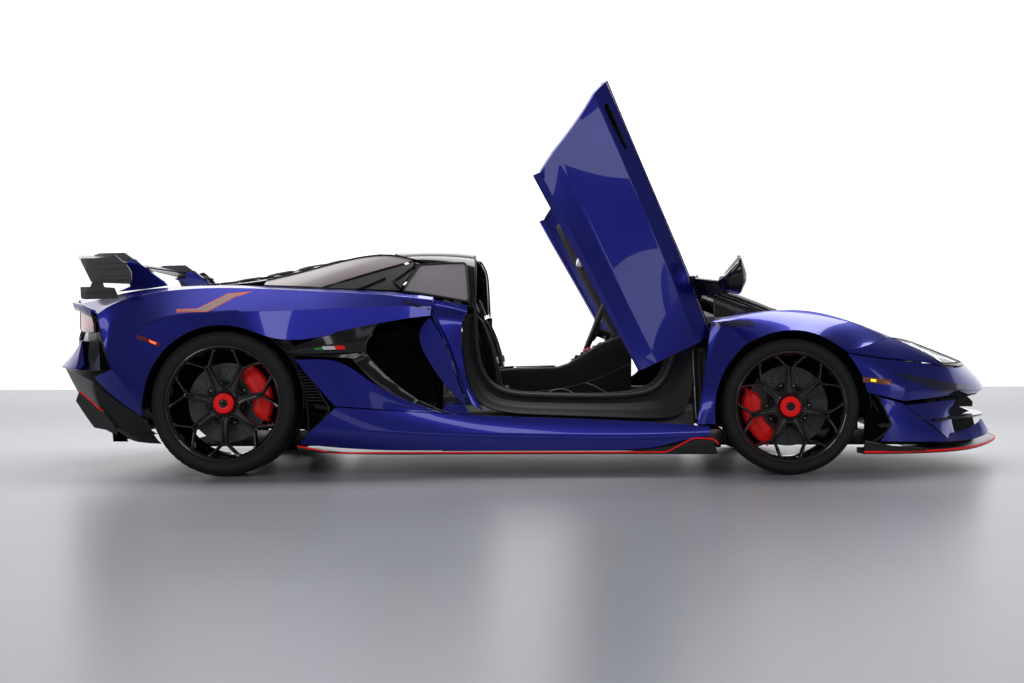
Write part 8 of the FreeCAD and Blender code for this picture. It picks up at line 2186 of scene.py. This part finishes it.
R = np.array([tub_ring(1201, 2009, 429, 598, 40), tub_ring(1201, 2009, 429, 300, 40), tub_ring(1204, 2006, 426, 262, 44), tub_ring(1224, 1986, 406, 243, 44),
              tub_ring(1224, 1986, 404, 252, 44), tub_ring(1213, 1997, 417, 266, 40), tub_ring(1212, 1998, 418, 300, 40), tub_ring(1212, 1998, 418, 598, 40)])
n = R.shape[1]
F = grid_faces(R.shape[0], n, close_v=True) + [tuple((3 * n + i) for i in range(n)), tuple((4 * n + i) for i in range(n))[::-1]]
F += [(i, (i + 1) % n, 7 * n + (i + 1) % n, 7 * n + i) for i in range(n)]
F = [f for f in F if not (len(f) == 4 and all(3 * n <= q < 4 * n or 4 * n <= q < 5 * n for q in f) and len({q // n for q in f}) == 2)]
add("luggage_shell", R.reshape(-1, 3), F, SATIN, slot="cabin_dark", rep="luggage_tub", sharp=40)
V, F = extrude(tub_ring(1228, 1982, 398, 253, 40), (0, 0, 8))
add("luggage_carpet", V, F, CARPET, slot="cabin_dark", rep="luggage_tub", bevel=2.5, seg=2)
V, F = sweep(tub_ring(1206, 2004, 424, 598, 40), [(-5, -4), (5, -4), (5, 2), (-5, 2)], (0, 0, 1), closed=True)
add("luggage_seal", V, F, SEAL, slot="cabin_dark", rep="luggage_tub", bevel=1.0, seg=1)

# engine: block, sump, two banks with ribbed covers, plenums, runners, belt drive
b = Bag()
V, F = loft(np.array([rounded_loop([(x, -190, 196), (x, 190, 196), (x, 250, 330), (x, 300, 470), (x, 190, 520), (x, -190, 520), (x, -300, 470), (x, -250, 330)], 16, 4) for x in (-1244, -1100, -700, -376)])); b.put(V, F)
for x in range(-1190, -400, 96):
    for s in (1, -1):
        V, F = extrude([(x, s * 252, 330), (x + 12, s * 252, 330), (x + 12, s * 302, 462), (x, s * 302, 462)], (0, s * 5.0, 3.0)); b.put(V, F)
b.make("engine_block", CASTM, slot="engine_cast", rep="engine", sharp=36)
b = Bag()
for s in (1, -1):
    V, F = loft(np.array([rounded_loop([(x, s * 96, 560), (x, s * 150, 515), (x, s * 296, 492), (x, s * 300, 560), (x, s * 236, 620), (x, s * 128, 640)], 14, 4) for x in (-1236, -1210, -420, -392)])); b.put(V, F)
b.make("cam_covers", CALIPER, slot="engine_cast", rep="engine", sharp=36)
b = Bag()
for s in (1, -1):
    for k in range(12):
        x = -1190 + k * 66
        V, F = sweep([(x, s * 132, 643), (x, s * 238, 623)], rect(12, 7), (0, 0, 1)); b.put(V, F)
b.make("cam_ribs", CASTM, slot="engine_cast", rep="engine", bevel=1.5, seg=1)
b = Bag()
for s in (1, -1):
    V, F = tube([(-1190, s * 66, 694), (-1180, s * 66, 694), (-460, s * 66, 694), (-450, s * 66, 694)], 42, 28, up=(0, 0, 1), scale=[0.8, 1, 1, 0.8]); b.put(V, F)
    for k in range(6):
        x = -1130 + k * 128
        V, F = tube(curve([(x, s * 74, 680), (x, s * 110, 694), (x, s * 138, 660), (x, s * 140, 618)], 12), 19, 14, up=(1, 0, 0)); b.put(V, F)
b.make("intake_plenums", SATIN, slot="engine_cast", rep="engine", sharp=45)
b = Bag()
for y, z, r in ((0, 300, 88), (150, 400, 52), (-150, 400, 52), (0, 470, 44), (-190, 280, 40)):
    L, F = lathe([(0.4, 3), (r * 0.35, 4), (r * 0.4, 0), (r * 0.8, 0), (r * 0.86, 4), (r, 4), (r, -10), (0.4, -10)], 40)
    b.put(np.stack([-362 + L[:, 2] - 8, y + L[:, 0], z + L[:, 1]], 1), F)
b.make("engine_pulleys", STEEL, slot="engine_cast", rep="engine")

slots = {"paint_blue": PAINT, "gloss_black": BLACK, "carbon_dark": SATIN, "tyre": RUBBER, "rim_black": BLACK, "brake_disc": METAL, "caliper_red": RED,
         "suspension_metal": METAL, "glass": GLASS, "lamp_clear": METAL, "lamp_red": RED, "exhaust_metal": METAL, "engine_cast": METAL,
         "seat_leather": CABIN, "cabin_dark": CABIN}
for sp in frame["record"]["subparts"]:
    ob = frame["nodes"][sp["node"]]
    ob.data.materials.clear()
    ob.data.materials.append(slots[sp["material_slot"]])
